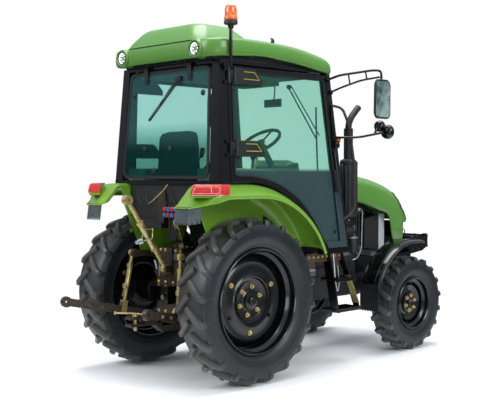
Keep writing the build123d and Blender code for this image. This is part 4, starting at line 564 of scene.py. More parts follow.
amber = see_through("amber_lens", "#f0701c", "#e85c12", 0.93)
low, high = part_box("beacon")
foot = Vector(((low.x + high.x) / 2, (low.y + high.y) / 2, low.z))
UP = (0, 0, 1)
bm = bmesh.new()
dome = ((0.030, 0.0440), (0.034, 0.0470), (0.050, 0.0472), (0.052, 0.0440), (0.100, 0.0420), (0.116, 0.0400),
             (0.128, 0.0350), (0.135, 0.0270), (0.139, 0.0150), (0.1397, 0.0010))
rings = spun(bm, dome, foot, UP, 72)
for k in (3, 4, 5):
    for i in range(0, 72, 2):
        spoke = rings[k][i].co - Vector((foot.x, foot.y, rings[k][i].co.z))
        rings[k][i].co -= spoke * 0.035
lens = piece("beacon_lens", bm, amber, "chassis", sharp=70)
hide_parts("beacon")
bm = bmesh.new()
spun(bm, [(0.0, 0.012), (0.0, 0.040), (0.004, 0.0480), (0.022, 0.0485), (0.028, 0.0450), (0.033, 0.0430)],
     foot, UP, 48)
spun(bm, [(-0.030, 0.012), (-0.022, 0.020), (0.0, 0.022), (0.001, 0.002)], foot, UP, 32)
piece("beacon_base", bm, dark_plastic, "chassis", sharp=40)


# ======================================================================= roof front lamp
# Small round black lamp on a stalk, screwed to the front of the roof on a dished foot. Moulded housing with
# fronts before and behind that glow faintly, a painted glow for their reflections.
bm = bmesh.new()
stalk = Vector(at(0.20, 0.64, 2.497))
spun(bm, [(0.0, 0.060), (0.008, 0.056), (0.014, 0.030), (0.030, 0.014), (0.046, 0.013), (0.048, 0.002)],
     stalk, UP, 32)
bulb = stalk + Vector((0, 0.0, 0.070))
spun(bm, [(-0.020, 0.004), (-0.018, 0.024), (0.0, 0.030), (0.014, 0.029), (0.018, 0.026)], bulb, (0.2, 1, 0),
     32)
piece("roof_front_lamp", bm, dark_plastic, "chassis", sharp=40)
bm = bmesh.new()
spun(bm, [(0.016, 0.027), (0.022, 0.020), (0.024, 0.001)], bulb, (0.2, 1, 0), 32)
spun(bm, [(0.018, 0.024), (0.022, 0.016), (0.023, 0.001)], bulb, (-0.2, -1, 0), 32)
piece("roof_front_lamp_glass", bm, glow_painted_reflector, "chassis", sharp=40)


# ======================================================================= cab frame and glass
# Welded black steel frame under satin-gloss enamel, with frameless tinted safety glass all round: clear
# green-blue above, and painted darker in the doors' low front corners as painted shade of the dim cab seen
# through them. Rubber seals run round every pane.
def slab(bm, low, high, turn=None):
    """A box between two corners, turned about its own middle."""
    low, high = Vector(low), Vector(high)
    spot = Matrix.Translation((low + high) / 2)
    if turn:
        spot = spot @ turn
    bmesh.ops.create_cube(bm, size=1.0, matrix=spot @ Matrix.Diagonal((*(high - low), 1)))


def prism(bm, outline, axis, start, end):
    """An outline of points in the other two axes, in order, thick from start to end along x, y or z."""
    ends = []
    for level in (start, end):
        ring = []
        for a, b in outline:
            spot = {"x": (level, a, b), "y": (a, level, b), "z": (a, b, level)}[axis]
            ring.append(bm.verts.new(spot))
        ends.append(ring)
        bm.faces.new(ring)
    for i in range(len(outline)):
        j = (i + 1) % len(outline)
        bm.faces.new((ends[0][i], ends[0][j], ends[1][j], ends[1][i]))


def bar(bm, start, end, radius, count=20, thin=1.0):
    """A round bar between two points, its far end thinner by a share."""
    start, end = Vector(start), Vector(end)
    length = (end - start).length
    spun(bm, [(0.0, radius * 0.02), (0.0, radius * 0.92), (min(0.001, radius * 0.1), radius),
              (length, radius * thin), (length, radius * 0.02)], start, end - start, count)


def pipe(bm, points, radius, bend, count=14, flat=1.0):
    """A tube bent along straight runs joined by arcs; flat below 1 squeezes it."""
    points = [Vector(p) for p in points]
    path = [points[0]]
    for before, corner, after in zip(points, points[1:], points[2:]):
        cut = min(bend, (before - corner).length * 0.49, (after - corner).length * 0.49)
        start = corner + (before - corner).normalized() * cut
        end = corner + (after - corner).normalized() * cut
        for i in range(7):
            t = i / 6
            path.append(start * (1 - t) ** 2 + corner * 2 * t * (1 - t) + end * t ** 2)
    path.append(points[-1])
    rows = []
    normal = None
    for i, spot in enumerate(path):
        ahead = (path[min(i + 1, len(path) - 1)] - path[max(i - 1, 0)]).normalized()
        if normal is None:
            normal = ahead.orthogonal().normalized()
        normal = (normal - ahead * normal.dot(ahead)).normalized()
        across = ahead.cross(normal)
        rows.append([spot + normal * radius * math.cos(math.tau * k / count)
                     + across * radius * flat * math.sin(math.tau * k / count) for k in range(count)])
    skin(bm, rows, cap_first=True, cap_last=True)


def dress(node, material, bevel=0.0, sharp=30):
    """Gives a CAD node that keeps its shape its finish, with eased edges."""
    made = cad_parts[node]
    made.data.materials.clear()
    made.data.materials.append(material)
    for face in made.data.polygons:
        face.use_smooth = True
    if bevel:
        ease = made.modifiers.new("eased_edges", "BEVEL")
        ease.width = bevel
        ease.segments = 2
        ease.limit_method = "ANGLE"
        ease.angle_limit = math.radians(sharp)
        ease.harden_normals = True
    return made


def side_x(z):
    """The cab side's outer face at a height; it leans in as it rises."""
    return 0.618 - (z - 0.930) * 0.04536


def door_front(z):
    """The door's front edge at a height."""
    return AXLE_Y + 1.062 - 0.12786 * (z - 0.930)


black = finish_of("black_enamel", "#060708", "#0b0c0e", 0.14, 500, 2.0, bump=0.03, Coat_Weight=0.3,
                  Specular_IOR_Level=0.4)
rubber_seal = finish_of("seal_rubber", "#08090a", "#0d0e0f", 0.6, 60, 1.2, bump=0.1)
dress("cab_frame", black, bevel=0.004)
dress("door_left", black, bevel=0.004)
dress("door_right", black, bevel=0.004)


def glazing(name, tint, low_tint, body, low_body, break_z, blur, share, low_share):
    """Tinted safety glass that colours what is seen through it, painted darker and more opaque below a line
    as painted shade of the dim cab behind it.
    """
    material = bpy.data.materials.new(name)
    material.use_nodes = True
    shader = material.node_tree.nodes["Principled BSDF"]
    shader.inputs["Roughness"].default_value = 0.03
    where = add(material, "ShaderNodeTexCoord").outputs["Object"]
    parts = add(material, "ShaderNodeSeparateXYZ", (("Vector", where),))
    rise = add(material, "ShaderNodeMapRange", (("Value", parts.outputs["Z"]), ("From Min", break_z - blur),
                                                ("From Max", break_z + blur))).outputs["Result"]
    haze = add(material, "ShaderNodeTexNoise", (("Vector", where), ("Scale", 1.4), ("Detail", 1.0)))
    passed = add(material, "ShaderNodeMix", ((0, rise), (6, srgb(low_tint)), (7, srgb(tint))),
                 data_type="RGBA")
    bodies = add(material, "ShaderNodeMix", ((0, rise), (6, srgb(low_body)), (7, srgb(body))),
                 data_type="RGBA")
    shares = add(material, "ShaderNodeMapRange", (("Value", rise), ("To Min", low_share), ("To Max", share)))
    cloudy = add(material, "ShaderNodeMath", ((0, haze.outputs["Fac"]), (1, 0.08),
                                              (2, shares.outputs["Result"])), operation="MULTIPLY_ADD")
    rim_light = add(material, "ShaderNodeLayerWeight", (("Blend", 0.12),))
    solid = add(material, "ShaderNodeMath",
                ((0, rim_light.outputs["Fresnel"]), (1, 0.45), (2, cloudy.outputs[0])),
                operation="MULTIPLY_ADD", use_clamp=True)
    through = add(material, "ShaderNodeBsdfTransparent", (("Color", passed.outputs[2]),))
    mixed = add(material, "ShaderNodeMixShader",
                ((0, solid.outputs[0]), (1, through.outputs[0]), (2, shader.outputs[0])))
    material.node_tree.links.new(bodies.outputs[2], shader.inputs["Base Color"])
    material.node_tree.links.new(mixed.outputs[0],
                                 material.node_tree.nodes["Material Output"].inputs["Surface"])
    return material


# The doors' glass is painted darker and more opaque below 1.55 m: painted shade for the dim cab seen through
# it.
door_glass = glazing("door_safety_glass", "#e2f5ee", "#b6cbc8", "#7cc4ac", "#4e686b", 1.550, 0.012, 0.02,
                     0.38)
screen_glass = glazing("screen_safety_glass", "#e6f5f2", "#e6f5f2", "#86c8bb", "#86c8bb", 1.0, 0.1, 0.02,
                       0.02)
# The rear glass is painted darker and more opaque below 1.8 m: painted shade for the dark seat and cab seen
# through it.
rear_tint = glazing("rear_safety_glass", "#e6f6f8", "#aed3ce", "#86cdd0", "#125650", 1.800, 0.10, 0.03, 0.14)
dress("door_glass_left", door_glass)
dress("door_glass_right", door_glass)
dress("windscreen", screen_glass)


# ======================================================================= door seals and handles
# A black rubber seal follows each opening on the door's outer face. Below the waist the glass runs on over
# the front stile, printed grey-green behind, and a moulded pull handle stands above it.
ARC_R = 0.896
WAIST_Z, DOOR_TOP_Z, DOOR_REAR = 1.380, 2.252, AXLE_Y - 0.125
smoked = finish_of("printed_smoked_glass", "#2c3a3d", "#35464a", 0.08, 9, 1.0, bump=0.01, Coat_Weight=0.3)
for hand, side in SIDES:
    edge = [(door_front(WAIST_Z) - 0.040, WAIST_Z), (door_front(DOOR_TOP_Z) - 0.040, DOOR_TOP_Z),
            (DOOR_REAR, DOOR_TOP_Z), (DOOR_REAR, AXLE_Z + 0.004 + ARC_R),
            (AXLE_Y + 0.02, AXLE_Z + 0.004 + ARC_R)]
    for i in range(1, 12):
        a = math.radians(90 - i * 5.6)
        edge.append((AXLE_Y + ARC_R * math.cos(a), AXLE_Z + ARC_R * math.sin(a)))
    edge.append((AXLE_Y + 0.842, 0.972))
    bm = bmesh.new()
    pipe(bm, [(side * (side_x(z) + 0.001), y, z) for y, z in edge], 0.0075, 0.03, 8)
    bar(bm, at(side * (side_x(1.06) - 0.002), 0.95, 1.06), at(side * (side_x(1.06) + 0.008), 0.95, 1.06),
        0.013)
    piece(f"door_seal_{hand}", bm, rubber_seal, f"door_{hand}", sharp=60)
    strip = [(AXLE_Y + 0.838, 0.985), (AXLE_Y + 0.862, 0.936), (door_front(0.936) + 0.030, 0.936),
             (door_front(WAIST_Z) + 0.012, WAIST_Z), (door_front(WAIST_Z) - 0.050, WAIST_Z),
             (door_front(0.985) - 0.050, 0.985)]
    bm = bmesh.new()
    skin(bm, [[(side * (side_x(z) + out), y, z) for y, z in strip] for out in (0.0006, 0.0052)],
         cap_first=True, cap_last=True)
    piece(f"door_glass_margin_{hand}", bm, smoked, f"door_{hand}", sharp=30, bevel=0.001)
    bm = bmesh.new()
    grip = [(-0.046, 1.372), (0.006, 1.372), (0.006, 1.548), (-0.046, 1.548)]
    rows = []
    for out, shrink in ((0.001, 1.0), (0.022, 1.0), (0.030, 0.82)):
        ring = []
        for dy, z in grip:
            level = 1.460 + (z - 1.460) * (0.5 + shrink / 2)
            ring.append((side * (side_x(level) + out), door_front(level) - 0.020 + (dy + 0.020) * shrink,
                         level))
        rows.append(ring)
    skin(bm, rows, cap_first=True, cap_last=True)
    piece(f"door_handle_{hand}", bm, dark_plastic, f"door_{hand}", sharp=25, bevel=0.004)


# ======================================================================= hinge covers
# Black mouldings with a pointed front end over the doors' hinges, outlined by a painted yellow-green stripe.
# Screwed to the door; two a side.
stripe = finish_of("yellow_green_stripe", "#a3a63a", "#8d9430", 0.45, 30, 2.0, bump=0.03)
COVER = ((-0.128, -0.058), (-0.128, 0.058), (0.085, 0.058), (0.160, -0.020), (0.160, -0.058))
for hand, side in SIDES:
    covers, lines = bmesh.new(), bmesh.new()
    for z in (1.700, 2.215):
        face_x = side_x(z)
        ends = []
        for out, shrink in ((0.0, 1.0), (0.026, 1.0), (0.034, 0.93)):
            ends.append([(side * (face_x + out), AXLE_Y + 0.016 + (y - 0.016) * shrink, z + dz * shrink)
                         for y, dz in COVER])
        skin(covers, ends, cap_last=True, cap_first=True)
        slab(covers, at(side * face_x - 0.008, -0.176, z - 0.045),
             at(side * face_x + 0.020, -0.126, z + 0.045))
        run = ((-0.040, 0.034), (0.068, 0.034), (0.118, -0.018), (-0.040, -0.018))
        run = [at(side * (face_x + 0.0355), y, z + dz) for y, dz in run]
        for start, end in zip(run, run[1:]):
            bar(lines, start, end, 0.0034, 8)
    piece(f"hinge_covers_{hand}", covers, dark_plastic, f"door_{hand}", sharp=25, bevel=0.004)
    piece(f"hinge_stripes_{hand}", lines, stripe, f"door_{hand}")


# ======================================================================= rear window
# Frameless glass hung from two black straps at its head, with a printed black edge, four round fixings, a
# latch inside and a wiper that parks low on the left.
def rear_y(z):
    """The cab rear's outer face at a height; it leans forward as it rises."""
    return AXLE_Y - 0.298 + (z - 1.476) * 0.0715


def on_rear(x, z, out=0.0):
    """A point on the rear glass, or out behind it."""
    return (x, rear_y(z) - out, z)


half_low, half_top, z_low, z_top = 0.498, 0.467, 1.482, 2.294


def pane_edge(inset, steps=6):
    """Points round the rear glass, its corners rounded."""
    corner = 0.060 - inset * 0.5
    points = []
    for sx, sz, start in ((1, -1, -90), (1, 1, 0), (-1, 1, 90), (-1, -1, 180)):
        hx = (half_low if sz < 0 else half_top) - inset - corner
        cz = (z_low + inset + corner) if sz < 0 else (z_top - inset - corner)
        for i in range(steps + 1):
            a = math.radians(start + 90 * i / steps)
            points.append((sx * hx + corner * math.cos(a), cz + corner * math.sin(a)))
    return points


bm = bmesh.new()
skin(bm, [[on_rear(x, z, -0.006) for x, z in pane_edge(0.0)], [on_rear(x, z) for x, z in pane_edge(0.0)]],
     cap_first=True, cap_last=True)
pane = piece("rear_window_glass", bm, rear_tint, "rear_window", sharp=30)
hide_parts("rear_window")
bm = bmesh.new()
skin(bm, [[on_rear(x, z, 0.0015) for x, z in pane_edge(0.0)],
          [on_rear(x, z, 0.0015) for x, z in pane_edge(0.024)]])
skin(bm, [[on_rear(x, z, -0.0075) for x, z in pane_edge(0.0)],
          [on_rear(x, z, -0.0075) for x, z in pane_edge(0.024)]])
piece("rear_window_edge", bm, rubber_seal, "rear_window")
bm = bmesh.new()
for x in (-0.250, 0.250):
    strap = [(x - 0.022, 2.318), (x - 0.024, 2.230), (x - 0.018, 2.205), (x, 2.195), (x + 0.018, 2.205),
             (x + 0.024, 2.230), (x + 0.022, 2.318)]
    outer = [(px, rear_y(pz) - 0.012 - max(0.0, pz - 2.26) * 0.22, pz) for px, pz in strap]
    inner = [(px, y + 0.007, pz) for px, y, pz in outer]
    skin(bm, [outer, inner], cap_first=True, cap_last=True)
    bar(bm, at(x - 0.020, -0.2569, 2.318), at(x + 0.020, -0.2569, 2.318), 0.0088, 20)
    bolt(bm, on_rear(x, 2.222, 0.012), (0, -1, 0.07), 0.008, 0.007)
for x, z in ((-0.40, 2.12), (0.40, 2.10), (-0.235, 1.705), (-0.115, 1.545), (0.060, 1.705)):
    spun(bm, [(0.0, 0.022), (0.006, 0.021), (0.009, 0.016), (0.0095, 0.002)], on_rear(x, z, 0.001),
         (0, -1, 0.07), 24)
piece("rear_window_fittings", bm, dark_plastic, "rear_window", sharp=35, bevel=0.0012)
bm = bmesh.new()
hub, tip = Vector(on_rear(0.150, 2.215, 0.030)), Vector(on_rear(-0.170, 1.930, 0.030))
spun(bm, [(0.0, 0.010), (0.003, 0.022), (0.020, 0.020), (0.026, 0.012), (0.027, 0.002)],
     on_rear(0.150, 2.215, 0.001), (0, -1, 0.07))
slab(bm, (0.110, rear_y(2.215) - 0.030, 2.200), (0.168, rear_y(2.215) - 0.002, 2.232))
mid = hub.lerp(tip, 0.55)
pipe(bm, [hub, hub.lerp(tip, 0.25) + Vector((0, -0.012, 0)), mid, mid.lerp(tip, 0.2)], 0.0048, 0.04, 10, 0.7)
blade = (tip - hub).normalized()
pipe(bm, [mid - blade * 0.205, mid + Vector((0, -0.004, 0)), mid + blade * 0.205], 0.0050, 0.15, 8, 0.6)
pipe(bm, [mid - blade * 0.21 + Vector((0, 0.016, 0)), mid + blade * 0.21 + Vector((0, 0.016, 0))], 0.0035,
     0.1, 8, 2.2)
piece("rear_wiper", bm, dark_plastic, "rear_window", sharp=35)


# ======================================================================= driver's seat
# Sprung seat with a waisted high back in black woven fabric over foam, with a sewn middle panel and piped
# edges, on a black bellows and slide.
fabric = finish_of("woven_seat_fabric", "#15181b", "#1d2125", 0.85, 90, 1.8, bump=0.35, Sheen_Weight=0.35)


def stuffed(name, bm, cap, body):
    """Foam under cloth: the closed form is remeshed and blown up as cloth, no point by more than cap."""
    mesh = bpy.data.meshes.new(name)
    bmesh.ops.recalc_face_normals(bm, faces=bm.faces)
    bm.to_mesh(mesh)
    bm.free()
    mesh.materials.append(fabric)
    made = place(mesh, name)
    even = made.modifiers.new("even_weave", "REMESH")
    even.mode = "VOXEL"
    even.voxel_size = 0.008
    held = bpy.context.evaluated_depsgraph_get()
    made.data = bpy.data.meshes.new_from_object(made.evaluated_get(held))
    made.modifiers.clear()
    before = [v.co.copy() for v in made.data.vertices]
    cloth = made.modifiers.new("blown", "CLOTH")
    cloth.settings.use_pressure = True
    cloth.settings.uniform_pressure_force = 4.0
    cloth.settings.effector_weights.gravity = 0.0
    cloth.settings.quality = 4
    cloth.point_cache.frame_end = 16
    for number in range(1, 17):
        bpy.context.scene.frame_set(number)
    held = bpy.context.evaluated_depsgraph_get()
    after = bpy.data.meshes.new_from_object(made.evaluated_get(held))
    made.modifiers.clear()
    for vert, old in zip(after.vertices, before):
        step = vert.co - old
        if step.length > cap:
            vert.co = old + step * (cap / step.length)
    made.data = after
    bpy.context.scene.frame_set(1)
    soft = made.modifiers.new("soft", "SMOOTH")
    soft.iterations = 5
    for face in made.data.polygons:
        face.use_smooth = True
    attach(made, body)
    return made


low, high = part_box("seat_back")
BACK = ((1.345, 0.205), (1.370, 0.222), (1.450, 0.226), (1.560, 0.216), (1.660, 0.206), (1.740, 0.204),
        (1.800, 0.196), (1.835, 0.172), (1.848, 0.120))
bm = bmesh.new()
rows = []
for z, half_x in BACK:
    curve = 0.018 * math.sin((z - 1.345) / 0.5 * math.pi)
    back_y, face_y = low.y + 0.018, high.y - 0.012
    ring = []
    for x, depth in ((-1.0, 0.30), (-0.86, 0.85), (-0.45, 0.72), (0.0, 0.66), (0.45, 0.72), (0.86, 0.85),
                     (1.0, 0.30), (0.92, 0.0), (0.0, 0.02), (-0.92, 0.0)):
        ring.append((x * half_x, back_y + (face_y - back_y) * depth - curve * 0.3, z))
    rows.append(ring)
skin(bm, rows, cap_first=True, cap_last=True)
back = stuffed("seat_backrest", bm, 0.010, "chassis")
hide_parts("seat_back")
low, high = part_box("seat_cushion")
bm = bmesh.new()
rows = []
for z, grow in ((low.z + 0.012, -0.045), (low.z + 0.030, -0.022), (high.z - 0.040, -0.016),
                (high.z - 0.020, -0.030), (high.z - 0.012, -0.075)):
    rows.append([(x, y, z) for x, y in rounded(high.x + grow, low.y - grow, high.y + grow, 0.05, 0.09, 5, 6)])
skin(bm, rows, cap_first=True, cap_last=True)
pad = stuffed("seat_pad", bm, 0.010, "chassis")
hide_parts("seat_cushion")


# ======================================================================= seat shell and slide
# Shell behind the backrest with its adjusting knob, armrests on bent tubes, and a ribbed bellows over the
# springs, standing on the cab's seat platform. Moulded black plastic.
bm = bmesh.new()
shell_rows = []
for z, half_x in ((1.36, 0.200), (1.50, 0.214), (1.66, 0.200), (1.79, 0.188), (1.825, 0.150)):
    shell_rows.append([(x * half_x, AXLE_Y - 0.176 - 0.010 * (1 - abs(x)) - 0.004, z)
                       for x in (-1, -0.7, -0.3, 0.3, 0.7, 1)])
skin(bm, shell_rows, closed=False)
spun(bm, [(0.0, 0.020), (0.012, 0.024), (0.018, 0.018), (0.019, 0.002)], at(0, -0.186, 1.640), (0, -1, 0), 24)
for side in (-1, 1):
    pipe(bm, [at(side * 0.225, -0.10, 1.50), at(side * 0.262, -0.08, 1.58), at(side * 0.262, 0.19, 1.60)],
         0.026, 0.05, 14, 0.8)
for i in range(6):
    z = 1.232 + 0.017 * i
    slab(bm, at(-0.150, -0.03, z), at(0.150, 0.29, z + 0.010))
    slab(bm, at(-0.140, -0.02, z + 0.008), at(0.140, 0.28, z + 0.018))
slab(bm, at(-0.185, -0.05, 1.318), at(0.185, 0.33, 1.329))
piece("seat_shell", bm, dark_plastic, "chassis", sharp=35, bevel=0.002)


# ======================================================================= steering wheel
# Three-spoke steering wheel of moulded plastic over steel, with a slightly thicker grip between the spokes
# and a round boss, on the raked column of the dashboard. The floor and firewall are dressed with it.
grey_plastic = finish_of("grey_moulded_plastic", "#3b4547", "#454f50", 0.6, 150, 1.4, bump=0.15)
pale_plastic = finish_of("pale_console_plastic", "#8fa8a2", "#9db5ae", 0.5, 200, 1.4, bump=0.08)
dress("dashboard", dark_plastic, bevel=0.010)
dress("cab_floor", dark_plastic, bevel=0.004)
dress("firewall", black, bevel=0.003)
RIM_R, RAKE = 0.175, math.radians(35)
rake = Matrix.Translation(at(0, 0.720, 1.780)) @ Matrix.Rotation(RAKE, 4, "X")
bm = bmesh.new()
rows = []
for i in range(64):
    a = math.tau * i / 64
    grip = 0.0135 if 5 < i % 16 < 11 else 0.0145
    rows.append([rake @ Vector(((RIM_R + grip * math.cos(b)) * math.cos(a),
                                (RIM_R + grip * math.cos(b)) * math.sin(a), grip * math.sin(b)))
                 for b in [math.tau * k / 14 for k in range(14)]])
rows.append(rows[0])
skin(bm, rows)
bmesh.ops.remove_doubles(bm, verts=bm.verts, dist=0.00001)
for angle in (90, 210, 330):
    a = math.radians(angle)
    path = [(0.02, -0.012), (0.06, -0.008), (0.12, -0.004), (0.172, 0.0)]
    spoke = [rake @ Vector((r * math.cos(a), r * math.sin(a), z)) for r, z in path]
    pipe(bm, spoke, 0.013, 0.03, 12, 0.5)
spun(bm, [(-0.024, 0.026), (-0.018, 0.036), (-0.004, 0.040), (0.006, 0.034), (0.010, 0.002)],
     rake @ Vector((0, 0, 0)), rake.to_3x3() @ Vector((0, 0, 1)), 40)
wheel = piece("steering_wheel_grip", bm, dark_plastic, "steering", sharp=50)
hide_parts("steering_wheel")


# ======================================================================= consoles, levers and pedals
# Moulded side consoles over the inner fenders, an instrument hood with three dials, steel levers with black
# knobs, one on a yellow-green shaft, three pedals and a ribbed rubber mat. Screwed or hinged to the floor.
bm, dials = bmesh.new(), bmesh.new()
slab(bm, at(-0.185, 0.848, 1.560), at(0.185, 0.990, 1.618), Matrix.Rotation(math.radians(-14), 4, "X"))
for x in (-0.10, 0.0, 0.10):
    spun(dials, [(0.0, 0.036), (0.004, 0.034), (0.006, 0.030), (0.0055, 0.002)], at(x, 0.853, 1.585),
         (0, -1, 0.25), 28)
for side in (-1, 1):
    # console over the inner fender, rising forward, with a soft top
    prism(bm, [(AXLE_Y - 0.235, 1.452), (AXLE_Y - 0.235, 1.560), (AXLE_Y + 0.02, 1.560),
               (AXLE_Y + 0.34, 1.545), (AXLE_Y + 0.44, 1.500), (AXLE_Y + 0.44, 1.385),
               (AXLE_Y + 0.30, 1.450)], "x", side * 0.300, side * 0.545)
piece("side_consoles", bm, pale_plastic, "chassis", sharp=30, bevel=0.012)
piece("dash_dials", dials, clear, "chassis")
bm = bmesh.new()
# levers: (x, foot y, knob y, knob z)
for x, y0, y1, z1 in ((0.33, 0.30, 0.36, 1.72), (0.38, 0.26, 0.30, 1.69), (0.43, 0.20, 0.22, 1.67),
                      (-0.33, 0.32, 0.38, 1.70), (0.12, 0.62, 0.58, 1.55)):
    foot_z = 1.54 if abs(x) > 0.2 else 1.24
    pipe(bm, [at(x, y0, foot_z), (x, AXLE_Y + y0 + (y1 - y0) * 0.3, foot_z + (z1 - foot_z) * 0.5),
              at(x, y1, z1)], 0.007, 0.05, 10)
    spun(bm, [(-0.050, 0.009), (-0.040, 0.016), (-0.010, 0.020), (0.016, 0.021), (0.030, 0.016),
              (0.034, 0.002)], at(x, y1, z1), (0, 0.25, 1), 20)
for x in (-0.17, 0.10, 0.17):
    pipe(bm, [at(x, 0.88, 1.20), at(x, 0.80, 1.02), at(x, 0.76, 0.985)], 0.009, 0.04, 10)
    slab(bm, at(x - 0.030, 0.725, 0.975), at(x + 0.030, 0.780, 1.000), Matrix.Rotation(0.6, 4, "X"))
for i in range(18):
    slab(bm, (-0.40, AXLE_Y + 0.44 + i * 0.032, 0.9305), (0.40, AXLE_Y + 0.452 + i * 0.032, 0.936))
piece("levers_and_pedals", bm, dark_plastic, "chassis", sharp=35, bevel=0.002)
bm = bmesh.new()
pipe(bm, [at(0.30, 0.34, 1.54), at(0.30, 0.38, 1.60), at(0.30, 0.385, 1.645)], 0.0095, 0.03, 10)
piece("yellow_lever", bm, stripe, "chassis")


# ======================================================================= head lining
# Grey padded board clipped under the roof, with a raised console in front for the lamp and the fan.
# Moulded plastic.
bm = bmesh.new()
slab(bm, at(-0.475, -0.17, 2.262), at(0.475, 0.80, 2.304))
slab(bm, at(-0.20, 0.56, 2.222), at(0.20, 0.74, 2.262))
piece("head_lining", bm, grey_plastic, "chassis", sharp=30, bevel=0.010)


# ======================================================================= inside mirror and front wiper
# A wide inside mirror hung from the head of the windscreen, and a parallel-arm wiper outside the glass that
# parks upright on the right. Black moulded plastic and painted steel.
def screen_y(z):
    """The windscreen's place at a height; it leans back as it rises."""
    return door_front(z) + 0.012


bm = bmesh.new()
slab(bm, (-0.095, screen_y(2.12) - 0.060, 2.070), (0.095, screen_y(2.12) - 0.045, 2.135))
pipe(bm, [(0.0, screen_y(2.12) - 0.045, 2.11), (0.0, screen_y(2.2) - 0.02, 2.18),
          (0.0, screen_y(2.25) - 0.012, 2.262)], 0.006, 0.03, 8)
piece("inside_mirror", bm, dark_plastic, "chassis", sharp=30, bevel=0.006)
bm = bmesh.new()
wiper_hub = Vector((0.10, screen_y(2.235) + 0.042, 2.235))
wiper_tip = Vector((0.36, screen_y(1.80) + 0.046, 1.800))
spun(bm, [(0.0, 0.020), (0.020, 0.018), (0.024, 0.002)], wiper_hub, (0, 1, 0.12), 20)
pipe(bm, [wiper_hub, wiper_hub.lerp(wiper_tip, 0.5), wiper_tip], 0.006, 0.05, 8)
pipe(bm, [wiper_hub + Vector((0.03, 0, 0.01)), wiper_tip + Vector((0.03, 0, 0.03))], 0.005, 0.05, 8)
pipe(bm, [wiper_tip + Vector((-0.01, 0.004, 0.26)), wiper_tip, wiper_tip + Vector((0.01, 0.004, -0.26))],
     0.007, 0.2, 8)
piece("front_wiper", bm, dark_plastic, "chassis", sharp=35)


# ======================================================================= bonnet
# One-piece tilting bonnet of pressed steel in green: crowned top, soft crease over each side, open over the
# engine's flanks, with a deep nose whose lower front stands back under a brow. Hinged on the firewall.
HOOD = ((1.140, 0.360, 1.474, 1.524), (1.340, 0.361, 1.466, 1.517), (1.567, 0.360, 1.449, 1.501),
        (1.721, 0.360, 1.425, 1.480), (1.852, 0.358, 1.396, 1.453), (1.971, 0.352, 1.362, 1.421),
        (2.071, 0.343, 1.322, 1.384), (2.161, 0.331, 1.274, 1.338), (2.241, 0.315, 1.213, 1.284),
        (2.296, 0.302, 1.158, 1.228), (2.326, 0.291, 1.118, 1.184), (2.340, 0.276, 1.098, 1.150))
HOOD_EDGE = ((1.140, 1.338), (1.548, 1.280), (1.921, 1.186), (1.969, 1.168), (2.003, 1.136), (2.031, 1.060),
             (2.055, 0.960), (2.069, 0.932), (2.141, 0.931), (2.264, 0.931))


def between(table, y):
    """A row of a table read between its rows by a smooth curve through them."""
    i = max(0, min(len(table) - 2, sum(row[0] <= y for row in table) - 1))
    rows = [table[max(0, min(len(table) - 1, i + k))] for k in (-1, 0, 1, 2)]
    t = (y - rows[1][0]) / (rows[2][0] - rows[1][0])
    out = []
    for k in range(1, len(table[0])):
        a, b, c, d = [row[k] for row in rows]
        out.append(0.5 * (2 * b + (c - a) * t + (2 * a - 5 * b + 4 * c - d) * t * t + (3 * b - a - 3 * c + d)
                          * t ** 3))
    return out


def hood_row(y, low):
    """Half of the bonnet's section at y, from its lower edge to the middle."""
    half, shoulder, top = between(HOOD, y)
    side = max(shoulder - 0.03, low + 0.01)
    run = [(half - 0.002, low), (half, low + (side - low) * 0.33), (half + 0.001, low + (side - low) * 0.66),
           (half, side), (half - 0.003, shoulder - 0.006), (half - 0.010, shoulder + 0.006),
           (half - 0.026, shoulder + 0.020), (half - 0.050, top - 0.012), (half - 0.085, top + 0.001),
           (half * 0.55, top + 0.008), (half * 0.25, top + 0.012), (0.0, top + 0.013)]
    return run


bm = bmesh.new()
stations = [1.140 + 0.0415 * i for i in range(20)] + [1.969, 1.986, 2.003, 2.017, 2.031, 2.043, 2.055, 2.062,
                                                      2.069, 2.096, 2.126, 2.161, 2.196, 2.231, 2.261]
rows = []
for y in sorted(stations):
    low = along(y, HOOD_EDGE) if y < 2.071 else 0.931
    half_row = hood_row(y, low)
    rows.append([at(x, y, z) for x, z in half_row] + [at(-x, y, z) for x, z in reversed(half_row[:-1])])
skin(bm, rows, closed=False)
nose = []
for y in (2.261, 2.279, 2.296, 2.311, 2.323, 2.332, 2.338, 2.340):
    half_row = hood_row(y, 1.082)
    nose.append([at(x, y, z) for x, z in half_row] + [at(-x, y, z) for x, z in reversed(half_row[:-1])])
skin(bm, nose, closed=False)
front_rows = []
for shrink, ahead in ((0.90, 0.003), (0.70, 0.006), (0.35, 0.008)):
    front_rows.append([(x * (0.6 + 0.4 * shrink), AXLE_Y + 2.340 + ahead, 1.105 + (z - 1.105) * shrink)
                       for x, _, z in nose[-1]])
skin(bm, [nose[-1]] + front_rows, closed=False)
bm.faces.new([bm.verts.new(p) for p in front_rows[-1]])
bmesh.ops.remove_doubles(bm, verts=bm.verts, dist=0.0002)
bonnet = piece("bonnet_shell", bm, green, "bonnet", sharp=40)
wall = bonnet.modifiers.new("sheet_thickness", "SOLIDIFY")
wall.thickness = 0.006
wall.offset = -1
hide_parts("hood")


